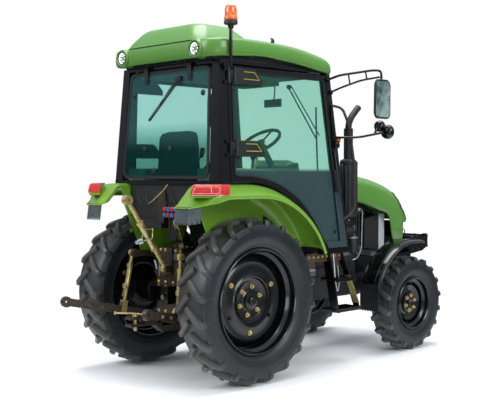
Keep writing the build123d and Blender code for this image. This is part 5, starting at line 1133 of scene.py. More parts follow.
# ======================================================================= bonnet frame and nose grille
# Black pressed frame inside the bonnet: nose wall, underside of the brow, side rails and hinge plates. The
# grille is a black moulding of slanted slats and fine uprights in a frame, clipped to the nose wall.
bm = bmesh.new()
slab(bm, at(-0.306, 2.253, 0.934), at(0.306, 2.263, 1.090))
slab(bm, at(-0.290, 2.259, 1.076), at(0.290, 2.333, 1.086))
for side in (-1, 1):
    slab(bm, at(side * 0.325, 1.15, 1.340), at(side * 0.352, 1.621, 1.362), Matrix.Rotation(-0.13, 4, "X"))
    slab(bm, at(side * 0.262, 1.150, 1.370), at(side * 0.310, 1.190, 1.515))
piece("bonnet_frame", bm, black, "bonnet", sharp=30, bevel=0.003)
bm = bmesh.new()
slab(bm, at(-0.188, 2.264, 0.940), at(0.188, 2.265, 1.050))
for i in range(9):
    z = 0.948 + i * 0.012
    slab(bm, at(-0.186, 2.265, z), at(0.186, 2.274, z + 0.005), Matrix.Rotation(0.4, 4, "X"))
for i in range(9):
    x = -0.18 + i * 0.045
    slab(bm, at(x - 0.002, 2.265, 0.942), at(x + 0.002, 2.271, 1.048))
for z in (0.938, 1.046):
    slab(bm, at(-0.192, 2.264, z), at(0.192, 2.278, z + 0.008))
for x in (-0.192, 0.184):
    slab(bm, at(x, 2.264, 0.938), at(x + 0.008, 2.278, 1.054))
grille = piece("nose_grille", bm, dark_plastic, "bonnet", sharp=30)
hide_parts("hood_grille")


# ======================================================================= headlamps
# Smoked clear covers that wrap round the nose's corners in the bonnet's skin, with two bowls in each, a white
# light guide across it and a black moulded rim; bowls and guide glow faintly, a painted glow for their
# reflections. Screwed in from behind.
LAMP_FOOT = ((2.110, 1.350), (2.165, 1.268), (2.222, 1.185), (2.272, 1.126), (2.330, 1.088))
smoked = see_through("smoked_lamp_cover", "#2b3236", "#343c40", 0.72)
for hand, side in SIDES:
    covers, bowls, rims = bmesh.new(), bmesh.new(), bmesh.new()
    grid = []
    for y in (2.138, 2.158, 2.180, 2.200, 2.221, 2.241, 2.261, 2.279, 2.296, 2.311, 2.323, 2.333):
        fine = []
        half_row = hood_row(y, 1.0)[3:]
        for (xa, za), (xb, zb) in zip(half_row, half_row[1:]):
            fine += [(xa + (xb - xa) * t / 10, za + (zb - za) * t / 10) for t in range(10)]
        lower = min(along(y, LAMP_FOOT), half_row[-1][1] - 0.018)
        run = [p for p in fine if p[1] >= lower and p[0] >= 0.118]
        run = [run[round((len(run) - 1) * k / 10)] for k in range(11)]
        grid.append([(side * (x * 1.006 + 0.001), AXLE_Y + y + 0.003, z + 0.005) for x, z in run])
    skin(covers, grid, closed=False)
    lamp = piece(f"headlamp_cover_{hand}", covers, smoked, "bonnet", sharp=50)
    body = lamp.modifiers.new("lens_thickness", "SOLIDIFY")
    body.thickness = 0.004
    body.offset = -1
    if side > 0:
        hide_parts("headlamps")
    for k, (y, x, z) in enumerate(((2.289, 0.255, 1.172), (2.257, 0.300, 1.205))):
        spun(bowls, [(0.006, 0.026 - 0.004 * k), (0.0, 0.022 - 0.003 * k), (-0.012, 0.012), (-0.014, 0.002)],
             at(side * x, y, z), (side * 0.5, 0.8, 0.45), 24)
    for edge, thick in (([row[0] for row in grid], 0.004), ([row[-1] for row in grid], 0.004),
                        (grid[-1], 0.0045), (grid[0], 0.004)):
        pipe(rims, edge, thick, 0.02, 8)
    piece(f"headlamp_bowls_{hand}", bowls, glow_painted_reflector, "bonnet", sharp=40)
    piece(f"headlamp_rims_{hand}", rims, dark_plastic, "bonnet", sharp=60)
    bm = bmesh.new()
    line = [(side * x * 1.020, AXLE_Y + y + 0.006, z + 0.006) for x, y, z in
            ((0.318, 2.236, 1.228), (0.306, 2.276, 1.182), (0.290, 2.321, 1.124))]
    pipe(bm, line, 0.0045, 0.03, 8)
    piece(f"headlamp_guide_{hand}", bm, glow_painted_reflector, "bonnet")


# ======================================================================= engine and cooling
# Four-cylinder diesel in dark grey iron behind the open bonnet flanks, with a silver injection pump and
# pipes, black filters, an alternator, and the fan shroud in front of a pale radiator side. Bolted together.
iron = finish_of("engine_iron", "#232627", "#2e3131", 0.6, 70, 3.0, bump=0.35, metallic=0.2)
alloy = finish_of("cast_alloy", "#8d8f8e", "#a4a6a4", 0.42, 40, 2.2, bump=0.3, metallic=0.75)
pale_metal = finish_of("radiator_side", "#c3ccd0", "#b2bcc0", 0.5, 160, 2.0, bump=0.1)
dress("engine", iron, bevel=0.006)
dress("fan_shroud", dark_plastic, bevel=0.006)
dress("radiator", pale_metal, bevel=0.003)
ENGINE_BACK, ENGINE_FRONT = AXLE_Y + 1.110, AXLE_Y + 1.741
iron_bits, alloy_bits, black_bits, steel_bits = bmesh.new(), bmesh.new(), bmesh.new(), bmesh.new()
slab(iron_bits, (-0.115, ENGINE_BACK + 0.06, 1.190), (0.115, ENGINE_FRONT - 0.06, 1.300))
for i in range(4):
    y = ENGINE_BACK + 0.13 + i * 0.135
    slab(alloy_bits, (0.172, y - 0.035, 1.020), (0.230, y + 0.035, 1.070))
    slab(iron_bits, (-0.232, y - 0.030, 1.050), (-0.172, y + 0.030, 1.110))
    bar(steel_bits, (0.0, y, 1.298), (0.0, y, 1.318), 0.016)
    pipe(steel_bits, [(0.235, y + 0.01, 0.905), (0.240, y + 0.01, 0.98), (0.190, y, 1.090),
                      (0.150, y, 1.165)], 0.0035, 0.04, 8)
slab(iron_bits, (0.172, ENGINE_BACK + 0.07, 1.075), (0.222, ENGINE_FRONT - 0.07, 1.105))
bar(iron_bits, (-0.225, ENGINE_BACK + 0.08, 1.080), (-0.225, ENGINE_FRONT - 0.08, 1.080), 0.034)
# injection pump, its outlets and governor
slab(alloy_bits, (0.180, ENGINE_FRONT - 0.31, 0.815), (0.262, ENGINE_FRONT - 0.075, 0.895))
bar(alloy_bits, (0.221, ENGINE_FRONT - 0.315, 0.852), (0.221, ENGINE_FRONT - 0.345, 0.852), 0.046)
bar(alloy_bits, (0.221, ENGINE_FRONT - 0.08, 0.852), (0.221, ENGINE_FRONT - 0.02, 0.852), 0.040)
for i in range(4):
    bar(steel_bits, (0.235, ENGINE_FRONT - 0.27 + i * 0.05, 0.890),
        (0.235, ENGINE_FRONT - 0.27 + i * 0.05, 0.915), 0.009)
# filters and starter
spun(black_bits, [(0.0, 0.010), (0.0, 0.047), (0.008, 0.050), (0.100, 0.050), (0.110, 0.044), (0.118, 0.012)],
     at(0.262, 1.462, 1.020), (0, 1, 0), 32)
spun(black_bits, [(0.0, 0.008), (0.0, 0.036), (0.010, 0.042), (0.120, 0.042), (0.135, 0.030), (0.136, 0.002)],
     at(0.272, 1.581, 0.960), (0, 0.1, -1), 32)
spun(alloy_bits, [(0.0, 0.008), (0.0, 0.046), (0.016, 0.046), (0.022, 0.030), (0.024, 0.002)],
     at(0.272, 1.583, 0.958), (0, 0, 1), 32)
bar(black_bits, (0.215, ENGINE_BACK + 0.02, 0.790), (0.215, ENGINE_BACK + 0.20, 0.790), 0.046)
bar(steel_bits, (0.215, ENGINE_BACK + 0.03, 0.858), (0.215, ENGINE_BACK + 0.13, 0.858), 0.024)
# alternator, water pump pulley, fan belt and fan
spun(alloy_bits, [(0.0, 0.010), (0.0, 0.050), (0.012, 0.058), (0.088, 0.058), (0.100, 0.046), (0.101, 0.008)],
     (-0.235, ENGINE_FRONT - 0.10, 1.010), (0, 1, 0), 32)
for x, z, r in ((-0.235, 1.010, 0.032), (0.0, 0.790, 0.072), (0.0, 1.010, 0.058)):
    spun(iron_bits, [(0.0, 0.008), (0.0, r), (0.004, r + 0.003), (0.010, r - 0.006), (0.016, r + 0.003),
                     (0.020, r), (0.020, 0.006)], (x, ENGINE_FRONT + 0.012, z), (0, 1, 0), 32)
pipe(black_bits, [(-0.230, ENGINE_FRONT + 0.022, 1.043), (0.02, ENGINE_FRONT + 0.022, 1.070),
                  (0.062, ENGINE_FRONT + 0.022, 1.00), (0.076, ENGINE_FRONT + 0.022, 0.79),
                  (0.0, ENGINE_FRONT + 0.022, 0.714), (-0.072, ENGINE_FRONT + 0.022, 0.78),
                  (-0.262, ENGINE_FRONT + 0.022, 0.995), (-0.230, ENGINE_FRONT + 0.022, 1.043)], 0.006, 0.04,
     8)
for i in range(7):
    a = math.tau * i / 7
    turn = Matrix.Rotation(a, 4, "Y") @ Matrix.Translation((0.130, 0, 0)) @ Matrix.Rotation(0.5, 4, "X")
    bmesh.ops.create_cube(black_bits, size=1.0, matrix=Matrix.Translation(at(0, 1.821, 1.010)) @ turn
                          @ Matrix.Diagonal((0.150, 0.004, 0.058, 1)))
bar(black_bits, (0, ENGINE_FRONT + 0.030, 1.010), at(0, 1.841, 1.010), 0.042)
# radiator hoses, intake pipe from the air cleaner, silver return pipes down the flank
pipe(black_bits, [(0.06, ENGINE_FRONT - 0.03, 1.16), (0.10, ENGINE_FRONT + 0.04, 1.235),
                  at(0.16, 1.881, 1.215), at(0.16, 1.976, 1.150)], 0.024, 0.07)
pipe(black_bits, [(-0.12, ENGINE_FRONT - 0.03, 0.84), at(-0.16, 1.821, 0.815), at(-0.16, 1.971, 0.835)],
     0.024, 0.07)
bar(black_bits, at(0.02, 1.40, 1.345), at(0.02, 1.721, 1.325), 0.052, 32)
pipe(black_bits, [at(0.02, 1.40, 1.345), at(0.02, 1.33, 1.345), at(0.13, 1.30, 1.27), at(0.18, 1.32, 1.14)],
     0.030, 0.06)
for x, y0, y1 in ((0.282, 1.668, 1.706), (0.296, 1.645, 1.684)):
    pipe(steel_bits, [(0.180, AXLE_Y + y0 - 0.03, 1.180), at(x, y0, 1.222), at(x, y1, 1.196),
                      (x, AXLE_Y + y1 - 0.01, 0.86), at(x - 0.03, y0, 0.775),
                      (0.24, AXLE_Y + y0 - 0.06, 0.770)], 0.0065, 0.035, 12)
for x in (-0.16, -0.08, 0.0, 0.08, 0.16):
    for z in (0.70, 0.96, 1.13):
        bolt(iron_bits, (x, ENGINE_FRONT, z), (0, 1, 0), 0.008, 0.008)
for i in range(7):
    y = ENGINE_BACK + 0.04 + i * 0.088
    bolt(iron_bits, (0.175, y, 0.655), (1, 0, 0), 0.0075, 0.008)
    bolt(iron_bits, (-0.175, y, 0.655), (-1, 0, 0), 0.0075, 0.008)
    bolt(iron_bits, (0.175, y, 1.150), (1, 0, 0), 0.0085, 0.009)
slab(iron_bits, (0.172, ENGINE_BACK + 0.01, 0.600), (0.186, ENGINE_FRONT - 0.01, 0.640))
slab(iron_bits, (-0.186, ENGINE_BACK + 0.01, 0.600), (-0.172, ENGINE_FRONT - 0.01, 0.640))
piece("engine_castings", iron_bits, iron, "chassis", sharp=35, bevel=0.003)
piece("engine_alloy", alloy_bits, alloy, "chassis", sharp=35, bevel=0.003)
piece("engine_filters_hoses", black_bits, dark_plastic, "chassis", sharp=35)
steel = finish_of("bright_steel", "#b9bcbd", "#a2a5a6", 0.3, 25, 1.2, bump=0.08, metallic=1.0)
piece("engine_pipes", steel_bits, steel, "chassis", sharp=40)


# ======================================================================= radiator core
# Soldered core with its fins, header seams and filler cap in front of the fan, in black enamel between pale
# side plates. Bolted to the front frame.
bm = bmesh.new()
for i in range(34):
    z = 0.835 + i * 0.0092
    slab(bm, at(-0.235, 2.042, z), at(0.235, 2.045, z + 0.003))
for x in (-0.252, 0.240):
    slab(bm, at(x, 2.042, 0.82), at(x + 0.012, 2.051, 1.155))
bar(bm, at(0.12, 1.996, 1.160), at(0.12, 1.996, 1.182), 0.030)
piece("radiator_core", bm, dark_plastic, "chassis", sharp=30)


# ======================================================================= exhaust
# Upright silencer in heat-proof black behind a perforated guard, clamped to the engine's outlet, with a
# bent tail pipe cut on the slant.
heat_black = finish_of("heat_black", "#17181a", "#212326", 0.5, 110, 1.8, bump=0.2, metallic=0.15)
mx, my = 0.500, AXLE_Y + 1.245
bm = bmesh.new()
spun(bm, [(1.165, 0.034), (1.165, 0.054), (1.172, 0.066), (1.185, 0.0700), (1.615, 0.0700), (1.628, 0.066),
          (1.638, 0.050), (1.642, 0.031)], (mx, my, 0.0), (0, 0, 1), 48)
tail = [(mx, my, 1.630), (mx, my, 1.925), (mx, my + 0.035, 1.985), (mx, my + 0.105, 2.050),
        (mx, my + 0.128, 2.068)]
pipe(bm, tail, 0.0265, 0.09, 28)
spun(bm, [(1.636, 0.028), (1.636, 0.038), (1.890, 0.038), (1.892, 0.028)], (mx, my, 0.0), (0, 0, 1), 40)
pipe(bm, [(0.176, my, 1.255), (0.43, my, 1.255), (mx - 0.02, my, 1.255)], 0.030, 0.04, 20)
for z in (1.70, 1.66):
    spun(bm, [(0.0, 0.0300), (0.0, 0.0345), (0.014, 0.0345), (0.014, 0.0300)], (mx, my, z), (0, 0, 1), 32)
for side in (-1, 1):
    slab(bm, (mx + side * 0.034 - 0.006, my - 0.012, 1.672), (mx + side * 0.034 + 0.006, my + 0.012, 1.700))
spun(bm, [(0.0, 0.032), (0.0, 0.050), (0.012, 0.050), (0.012, 0.032)], (0.178, my, 1.255), (1, 0, 0), 28)
made = piece("exhaust_silencer", bm, heat_black, "chassis", sharp=40)
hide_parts("exhaust")
bm = bmesh.new()
guard_r = 0.0765
for k in range(9):
    a0 = math.radians(-100 + k * 25)
    rows = []
    for j in range(4):
        a = a0 + math.radians(17.0) * j / 3
        rows.append([(mx + guard_r * math.cos(a), my + guard_r * math.sin(a), z)
                     for z in (1.19, 1.30, 1.41, 1.52, 1.60)])
    skin(bm, rows, closed=False)
for z in (1.180, 1.385, 1.600):
    rows = []
    for j in range(30):
        a = math.radians(-103 + j * 7.6)
        rows.append([(mx + (guard_r + d) * math.cos(a), my + (guard_r + d) * math.sin(a), z + h)
                     for d, h in ((0, 0), (0.002, 0), (0.002, 0.014), (0, 0.014))])
    skin(bm, rows)
for z in (1.24, 1.55):
    bolt(bm, (mx + guard_r + 0.001, my, z), (1, 0, 0), 0.006, 0.006)
made = piece("exhaust_guard", bm, heat_black, "chassis", sharp=40)
thick = made.modifiers.new("sheet_thickness", "SOLIDIFY")
thick.thickness = 0.0015


# ======================================================================= rear fenders
# Pressed steel fenders in green enamel: a flat crown that rounds down to a rolled outer edge, curving with
# the tyre in front and sloping away behind, with an inner wall down to the axle. Bolted to the cab. Their
# green is yellower, and painted lighter than the body's to stand in for the strong light on the fenders.
# Lighter and yellower than the body's green: the extra lightness is painted light for the strong light on the
# fender tops.
fender_green_painted_lighter = finish_of("yellow_green_enamel_painted_lighter", "#6c9c28", "#76a62e", 0.38, 900, 1.6, bump=0.02,
                         Coat_Weight=0.3, Coat_Roughness=0.08)
FENDER_IN, FENDER_OUT = 0.425, 0.746
CROSS = ((0.425, 0.690), (0.425, 0.800), (0.427, 0.824), (0.436, 0.836), (0.452, 0.8405), (0.500, 0.842),
         (0.560, 0.840), (0.606, 0.834), (0.645, 0.820), (0.690, 0.797), (0.722, 0.782), (0.738, 0.773),
         (0.745, 0.765), (0.746, 0.746))


def fender_rows():
    """Sections of the right fender from its front foot over the crown to its rear end."""
    rows = []
    for i in range(25):
        a = math.radians(24 + 66 * i / 24)
        rows.append([at(x, r * math.cos(a), AXLE_Z + r * math.sin(a)) for x, r in CROSS])
    for i in range(1, 30):
        y = -0.565 * i / 29
        reach = 0.746 - max(0.0, -0.415 - y)
        fall = max(0.0, -0.385 - y)
        top = 1.4445 - 0.84 * fall - 0.2 * fall * min(1.0, fall / 0.05)
        foot = 1.3485 - max(0.0, -0.330 - y) * 0.283
        row = []
        for x, r in CROSS:
            z = AXLE_Z + r
            if r < 0.82 and x < 0.43:
                z = min(z, top - 0.02)
                z = max(z, top - 0.032)
            elif x < 0.7459:
                z = min(z, top - max(0.0, x - 0.56) * 0.25 * min(1.0, fall / 0.06))
            else:
                z = foot
            row.append((FENDER_IN + (x - FENDER_IN) * (reach - FENDER_IN) / (FENDER_OUT - FENDER_IN),
                        AXLE_Y + y, max(z, foot)))
        rows.append(row)
    return rows


for hand, side in SIDES:
    bm = bmesh.new()
    rows = [[(side * x, y, z) for x, y, z in row] for row in fender_rows()]
    skin(bm, rows, closed=False)
    last = rows[-1]
    skin(bm, [last, [(x, y, 1.2835) for x, y, z in last]], closed=False)
    bmesh.ops.remove_doubles(bm, verts=bm.verts, dist=0.0004)
    prism(bm, [(AXLE_Y - 0.365, 1.415), (AXLE_Y - 0.330, 1.270), (AXLE_Y - 0.250, 1.090),
               (AXLE_Y - 0.160, 0.880), (AXLE_Y + 0.200, 0.880), (AXLE_Y + 0.300, 1.100),
               (AXLE_Y + 0.330, 1.245), (AXLE_Y + 0.000, 1.420)], "x", side * 0.4255, side * 0.4295)
    made = piece(f"rear_fender_{hand}_shell", bm, fender_green_painted_lighter, "chassis", sharp=42)
    thick = made.modifiers.new("sheet_thickness", "SOLIDIFY")
    thick.thickness = 0.004
    thick.offset = 0
    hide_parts(f"rear_fender_{hand}")
    bm = bmesh.new()
    pipe(bm, [row[-1] for row in rows], 0.0055, 0.002, 8)
    for y, z in ((0.16, 0.93), (-0.12, 0.93), (-0.27, 1.08)):
        bolt(bm, at(side * 0.430, y, z), (side, 0, 0), 0.011, 0.009)
    piece(f"rear_fender_{hand}_bead", bm, fender_green_painted_lighter, "chassis")
    bm = bmesh.new()
    for x, y, z, axis in ((0.70, -0.19, 1.372, (0, 0, 1)), (0.60, -0.551, 1.296, (0, -1, 0)),
                          (0.47, -0.564, 1.296, (0, -1, 0))):
        bolt(bm, at(side * x, y, z), axis, 0.006, 0.006)
    for a in (math.radians(30), math.radians(52)):
        bolt(bm, at(side * 0.7475, 0.7545 * math.cos(a), AXLE_Z + 0.7545 * math.sin(a)), (side, 0, 0), 0.006,
             0.006)
    piece(f"rear_fender_{hand}_bolts", bm, zinc, "chassis")


# ======================================================================= rear mud flaps
# Grey translucent rubber flaps with toothed lower edges, clamped under the fenders' rear skirts and bent
# round their outer corners. Cut from sheet 6 mm thick.
FLAP_FACE = ((0.438, -0.545), (0.515, -0.5505), (0.588, -0.553), (0.600, -0.548), (0.626, -0.522),
             (0.652, -0.496))
flap_rubber = see_through("smoked_flap", "#454e52", "#586266", 0.86, 0.35)
for hand, side in SIDES:
    bm = bmesh.new()
    for first, second in zip(FLAP_FACE, FLAP_FACE[1:]):
        teeth = max(1, round(math.dist(first, second) / 0.0125))
        for k in range(teeth):
            (xa, ya), (xb, yb) = [(first[0] + (second[0] - first[0]) * t,
                                   first[1] + (second[1] - first[1]) * t)
                                  for t in (k / teeth, (k + 1) / teeth)]
            foot = 1.170 + (0.014 if (k % 2) else 0.0) + max(0.0, xa - 0.60) * 0.25
            rows = []
            for d in (0.0, 0.006):
                rows.append([(side * xa, AXLE_Y + ya + d, 1.292), (side * xb, AXLE_Y + yb + d, 1.292),
                             (side * xb, AXLE_Y + yb + d - 0.018, foot),
                             (side * xa, AXLE_Y + ya + d - 0.018, foot)])
            skin(bm, rows, cap_first=True, cap_last=True)
    made = piece(f"mud_flap_{hand}", bm, flap_rubber, "chassis", sharp=30)
    if side > 0:
        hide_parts("mud_flaps")


# ======================================================================= tail lamps
# Red moulded lenses across the fenders' outer rear corners, with a paler raised frame round two chambers, on
# a painted base. Screwed on from below.
def on_corner(side, u, w, z):
    """A point in a lamp's own directions: along it, outward across the corner, and up."""
    slant = math.sqrt(0.5)
    return (side * (0.655 + slant * u + slant * w), AXLE_Y - 0.415 + slant * u - slant * w, z)


TAIL_OUTLINE = ((-0.139, -0.030), (-0.139, 0.030), (-0.122, 0.058), (0.070, 0.060), (0.090, 0.044),
                (0.132, 0.002), (0.132, -0.030))
# runs of the pale frame, each with its radius and bend: loop, bar between the chambers, lower lip
TAIL_LINES = ((((-0.120, 0.060, 1.385), (0.066, 0.062, 1.385), (0.064, 0.054, 1.430), (-0.102, 0.052, 1.430),
                (-0.120, 0.060, 1.385)), 0.0035, 0.012),
              (((0.010, 0.062, 1.386), (0.006, 0.053, 1.429)), 0.0028, 0.012),
              (((-0.135, 0.036, 1.374), (-0.118, 0.061, 1.374), (0.071, 0.063, 1.374), (0.088, 0.047, 1.374)),
               0.0032, 0.01))
red = finish_of("red_lens", "#c2241d", "#d3342a", 0.12, 26, 5.0, bump=0.03, Coat_Weight=1.0)
pale_red = finish_of("pale_red_frame", "#e77f7c", "#f09a92", 0.2, 26, 5.0, bump=0.02, Coat_Weight=1.0)
lens, frames, bases = bmesh.new(), bmesh.new(), bmesh.new()
for side in (-1, 1):
    rows = []
    for z, front, left in ((1.371, 0.0, 0.0), (1.400, -0.002, -0.006), (1.432, -0.008, -0.016),
                           (1.444, -0.016, -0.022), (1.448, -0.026, -0.030)):
        rows.append([on_corner(side, max(u, -0.139 - left), w + (front if w > 0 else 0), z)
                     for u, w in TAIL_OUTLINE])
    skin(lens, rows, cap_last=True, cap_first=True)
    rows = [[on_corner(side, u, min(w, 0.056) - back, z) for u, w in TAIL_OUTLINE]
            for back, z in ((0.004, 1.355), (0.002, 1.372))]
    skin(bases, rows, cap_last=True, cap_first=True)
    for line, thick, bend in TAIL_LINES:
        pipe(frames, [on_corner(side, *spot) for spot in line], thick, bend, 8)
made = piece("tail_lamp_lenses", lens, red, "chassis", sharp=35, bevel=0.003)
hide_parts("tail_lamps")
piece("tail_lamp_frames", frames, pale_red, "chassis")
piece("tail_lamp_bases", bases, fender_green_painted_lighter, "chassis", sharp=30, bevel=0.003)


# ======================================================================= hydraulic couplers
# Two rows of spool couplers on a steel bracket behind the cab, capped in blue and red plastic, with hoses
# and yellow control rods running down to the lift housing.
blue_cap = finish_of("blue_cap", "#2b6fb0", "#2461a0", 0.4, 20, 1.5, bump=0.05)
red_cap = finish_of("red_cap", "#c22a2a", "#aa2020", 0.4, 20, 1.5, bump=0.05)
low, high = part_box("hydraulic_couplers")
bm = bmesh.new()
slab(bm, (0.095, low.y + 0.050, 1.200), (0.300, high.y - 0.001, 1.280))
slab(bm, (0.098, low.y + 0.040, 1.203), (0.297, low.y + 0.052, 1.277))
for x in (0.110, 0.285):
    for z in (1.212, 1.268):
        bolt(bm, (x, low.y + 0.040, z), (0, -1, 0), 0.006, 0.006)
blocks = piece("coupler_bracket", bm, dark_plastic, "chassis", sharp=30, bevel=0.003)
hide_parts("hydraulic_couplers")
sockets, blue, reds = bmesh.new(), bmesh.new(), bmesh.new()
for i, x in enumerate((0.122, 0.164, 0.206, 0.248)):
    for z in (1.221, 1.262):
        spun(sockets, [(0.0, 0.016), (0.020, 0.016), (0.022, 0.013), (0.034, 0.013)], (x, low.y + 0.042, z),
             (0, -1, 0), 24)
        cap = blue if (i + (z > 1.24)) % 2 == 0 else reds
        spun(cap, [(0.0, 0.0150), (0.004, 0.0175), (0.022, 0.0175), (0.028, 0.014), (0.029, 0.004)],
             (x, low.y + 0.022, z), (0, -1, 0), 24)
piece("coupler_sockets", sockets, steel, "chassis", sharp=40)
piece("coupler_caps_blue", blue, blue_cap, "chassis", sharp=40)
piece("coupler_caps_red", reds, red_cap, "chassis", sharp=40)
hoses, rods = bmesh.new(), bmesh.new()
for i, x in enumerate((0.104, 0.122, 0.140, 0.158, 0.176, 0.194)):
    y = low.y + 0.068 + 0.008 * (i % 2)
    foot_x, foot_y = x * 0.55 + 0.01, AXLE_Y - 0.08 + 0.02 * i
    pipe(hoses, [(x, y, 1.202), (x, y, 1.12), (x * 0.72 + 0.01, y - 0.015, 1.03),
                 (foot_x, foot_y - 0.03, 0.985), (foot_x, foot_y, 0.962)], 0.0085, 0.05, 10)
for i, x in enumerate((0.186, 0.206, 0.224)):
    pipe(rods, [(x, low.y + 0.055, 1.205), (x, low.y + 0.030, 1.17), at(x - 0.10, -0.215, 0.990),
                at(x - 0.10, -0.215, 0.962)], 0.0045, 0.02, 8)
    bar(rods, (x, low.y + 0.047, 1.192), (x, low.y + 0.040, 1.172), 0.009, 6)
piece("coupler_hoses", hoses, rubber_seal, "chassis")
piece("spool_control_rods", rods, zinc, "chassis")


# ======================================================================= gearbox, lift housing and drawbar
# Dark brown-black castings under the cab: ribbed gearbox with bolted side covers, trumpet housings on the
# rear axle, and the lift housing above. The drawbar is forged, its zinc pin on a bent handle.
cast = finish_of("brown_cast_iron", "#2e241c", "#40342a", 0.5, 60, 3.2, bump=0.45, metallic=0.25)
forged = finish_of("worn_dark_steel", "#3b342e", "#51473d", 0.45, 35, 2.0, bump=0.25, metallic=0.55)
dress("transmission", cast, bevel=0.006)
dress("lift_housing", cast, bevel=0.005)
dress("drawbar", forged, bevel=0.004)
dress("pto_guard", black, bevel=0.002)
dress("pto_shaft", steel)
dress("prop_shaft", heat_black)
bits, nuts, silver = bmesh.new(), bmesh.new(), bmesh.new()
for side in (-1, 1):
    for y in (0.28, 0.42, 0.56, 0.70, 0.84, 0.98):
        slab(bits, (side * 0.164, AXLE_Y + y - 0.006, 0.44), (side * 0.172, AXLE_Y + y + 0.006, 0.80))
    slab(bits, at(side * 0.164, 0.30, 0.50), at(side * 0.180, 0.52, 0.72))
    slab(bits, at(side * 0.164, 0.60, 0.46), at(side * 0.182, 0.92, 0.60))
    for y in (0.32, 0.41, 0.50):
        for z in (0.515, 0.705):
            bolt(nuts, at(side * 0.180, y, z), (side, 0, 0), 0.009, 0.008)
    for y in (0.62, 0.70, 0.78, 0.90):
        for z in (0.475, 0.585):
            bolt(nuts, at(side * 0.182, y, z), (side, 0, 0), 0.009, 0.008)
    for k in range(10):
        a = math.tau * (k + 0.5) / 10
        bolt(nuts, at(side * 0.2255, 0.118 * math.cos(a), AXLE_Z + 0.118 * math.sin(a)), (side, 0, 0), 0.010,
             0.010)
        bolt(nuts, at(side * 0.3, 0.06 * math.cos(a), AXLE_Z + 0.06 * math.sin(a)), (side, 0, 0), 0.007,
             0.007)
    for y in (0.94, 1.00, 1.06, 1.115):
        bolt(nuts, at(side * 0.166, y, 0.782), (side, 0, 0), 0.010, 0.010)
    bar(silver, at(side * 0.230, 1.00, 0.700), at(side * 0.230, 1.11, 0.700), 0.036, 28)
    slab(silver, at(side * 0.196, 1.02, 0.665), at(side * 0.232, 1.09, 0.760))
# rear face: cover with its bolts, spool block, oil pipes beside the take-off
slab(bits, at(-0.140, -0.243, 0.470), at(0.140, -0.229, 0.720))
slab(bits, at(-0.110, -0.240, 0.745), at(-0.045, -0.229, 0.860))
slab(bits, at(0.050, -0.245, 0.730), at(0.118, -0.229, 0.850))
for x in (-0.125, -0.045, 0.045, 0.125):
    for z in (0.485, 0.705):
        bolt(nuts, at(x, -0.243, z), (0, -1, 0), 0.009, 0.008)
for x in (-0.115, -0.06, 0.06, 0.115):
    bolt(nuts, at(x, -0.231, 0.945), (0, -1, 0), 0.009, 0.008)
for x in (-0.10, -0.04, 0.04, 0.10):
    bolt(nuts, at(x, -0.10, 0.965), (0, 0, 1), 0.009, 0.008)
    bolt(nuts, at(x, 0.02, 0.965), (0, 0, 1), 0.009, 0.008)
spun(bits, [(0.0, 0.010), (0.0, 0.055), (0.014, 0.055), (0.020, 0.044), (0.021, 0.020)], at(0, -0.243, 0.600),
     (0, -1, 0), 32)
for k in range(6):
    a = math.tau * k / 6
    slab(silver, at(-0.003 + 0.0165 * math.cos(a), -0.312, 0.597 + 0.0165 * math.sin(a)),
         at(0.003 + 0.0165 * math.cos(a), -0.262, 0.603 + 0.0165 * math.sin(a)), Matrix.Rotation(-a, 4, "Y"))
# outside lift cylinders from the lugs to the arms, with bright rods
for side in (-1, 1):
    bar(bits, at(side * 0.200, -0.085, 0.560), at(side * 0.206, -0.185, 0.775), 0.028, 28)
    bar(silver, at(side * 0.206, -0.183, 0.770), at(side * 0.206, -0.215, 0.862), 0.014, 20)
    spun(bits, [(0.0, 0.010), (0.0, 0.031), (0.016, 0.031), (0.018, 0.016)], at(side * 0.206, -0.185, 0.772),
         (0, -0.42, 0.9), 28)
    pipe(silver, [at(side * 0.185, -0.13, 0.62), at(side * 0.165, -0.20, 0.68), at(side * 0.12, -0.245, 0.80),
                  at(side * 0.10, -0.24, 0.90)], 0.0055, 0.05, 10)
piece("gearbox_covers", bits, cast, "chassis", sharp=32, bevel=0.003)
piece("gearbox_bolts", nuts, zinc, "chassis", sharp=30)
piece("gearbox_bright_parts", silver, steel, "chassis", sharp=40)


# ======================================================================= rear wall boxes and wiring
# Black moulded boxes and ribs under the rear window with a run of wiring conduit, a loose dark steel plate
# and a yellow-zinc tie beside the top link. Screwed to the cab's rear wall.
tank, plate, cords = bmesh.new(), bmesh.new(), bmesh.new()
rear_wall = AXLE_Y - 0.262
slab(tank, (-0.330, rear_wall - 0.010, 1.110), (-0.060, rear_wall + 0.060, 1.380))
slab(tank, (-0.040, rear_wall - 0.020, 1.300), (0.085, rear_wall + 0.050, 1.400))
slab(tank, (0.110, rear_wall - 0.008, 1.310), (0.370, rear_wall + 0.050, 1.395))
for i in range(7):
    x = -0.36 + i * 0.105
    pipe(tank, [(x, rear_wall + 0.01, 1.405), (x + 0.02, rear_wall - 0.018, 1.345),
                (x + 0.08, rear_wall - 0.022, 1.300 - 0.02 * (i % 3)), (x + 0.10, rear_wall + 0.01, 1.230)],
         0.0075, 0.05, 10)
prism(plate, [(-0.075, 1.385), (0.010, 1.400), (0.030, 1.290), (-0.005, 1.150), (-0.060, 1.175)], "y",
      rear_wall - 0.034, rear_wall - 0.028)
pipe(cords, [(0.045, rear_wall - 0.030, 1.440), (0.020, rear_wall - 0.060, 1.390),
             (-0.020, rear_wall - 0.115, 1.325), (-0.030, rear_wall - 0.150, 1.300)], 0.0032, 0.03, 8)
piece("rear_wall_boxes", tank, dark_plastic, "chassis", sharp=30, bevel=0.004)
piece("rear_wall_plate", plate, forged, "chassis", sharp=30, bevel=0.001)
piece("top_link_tie", cords, zinc, "chassis")


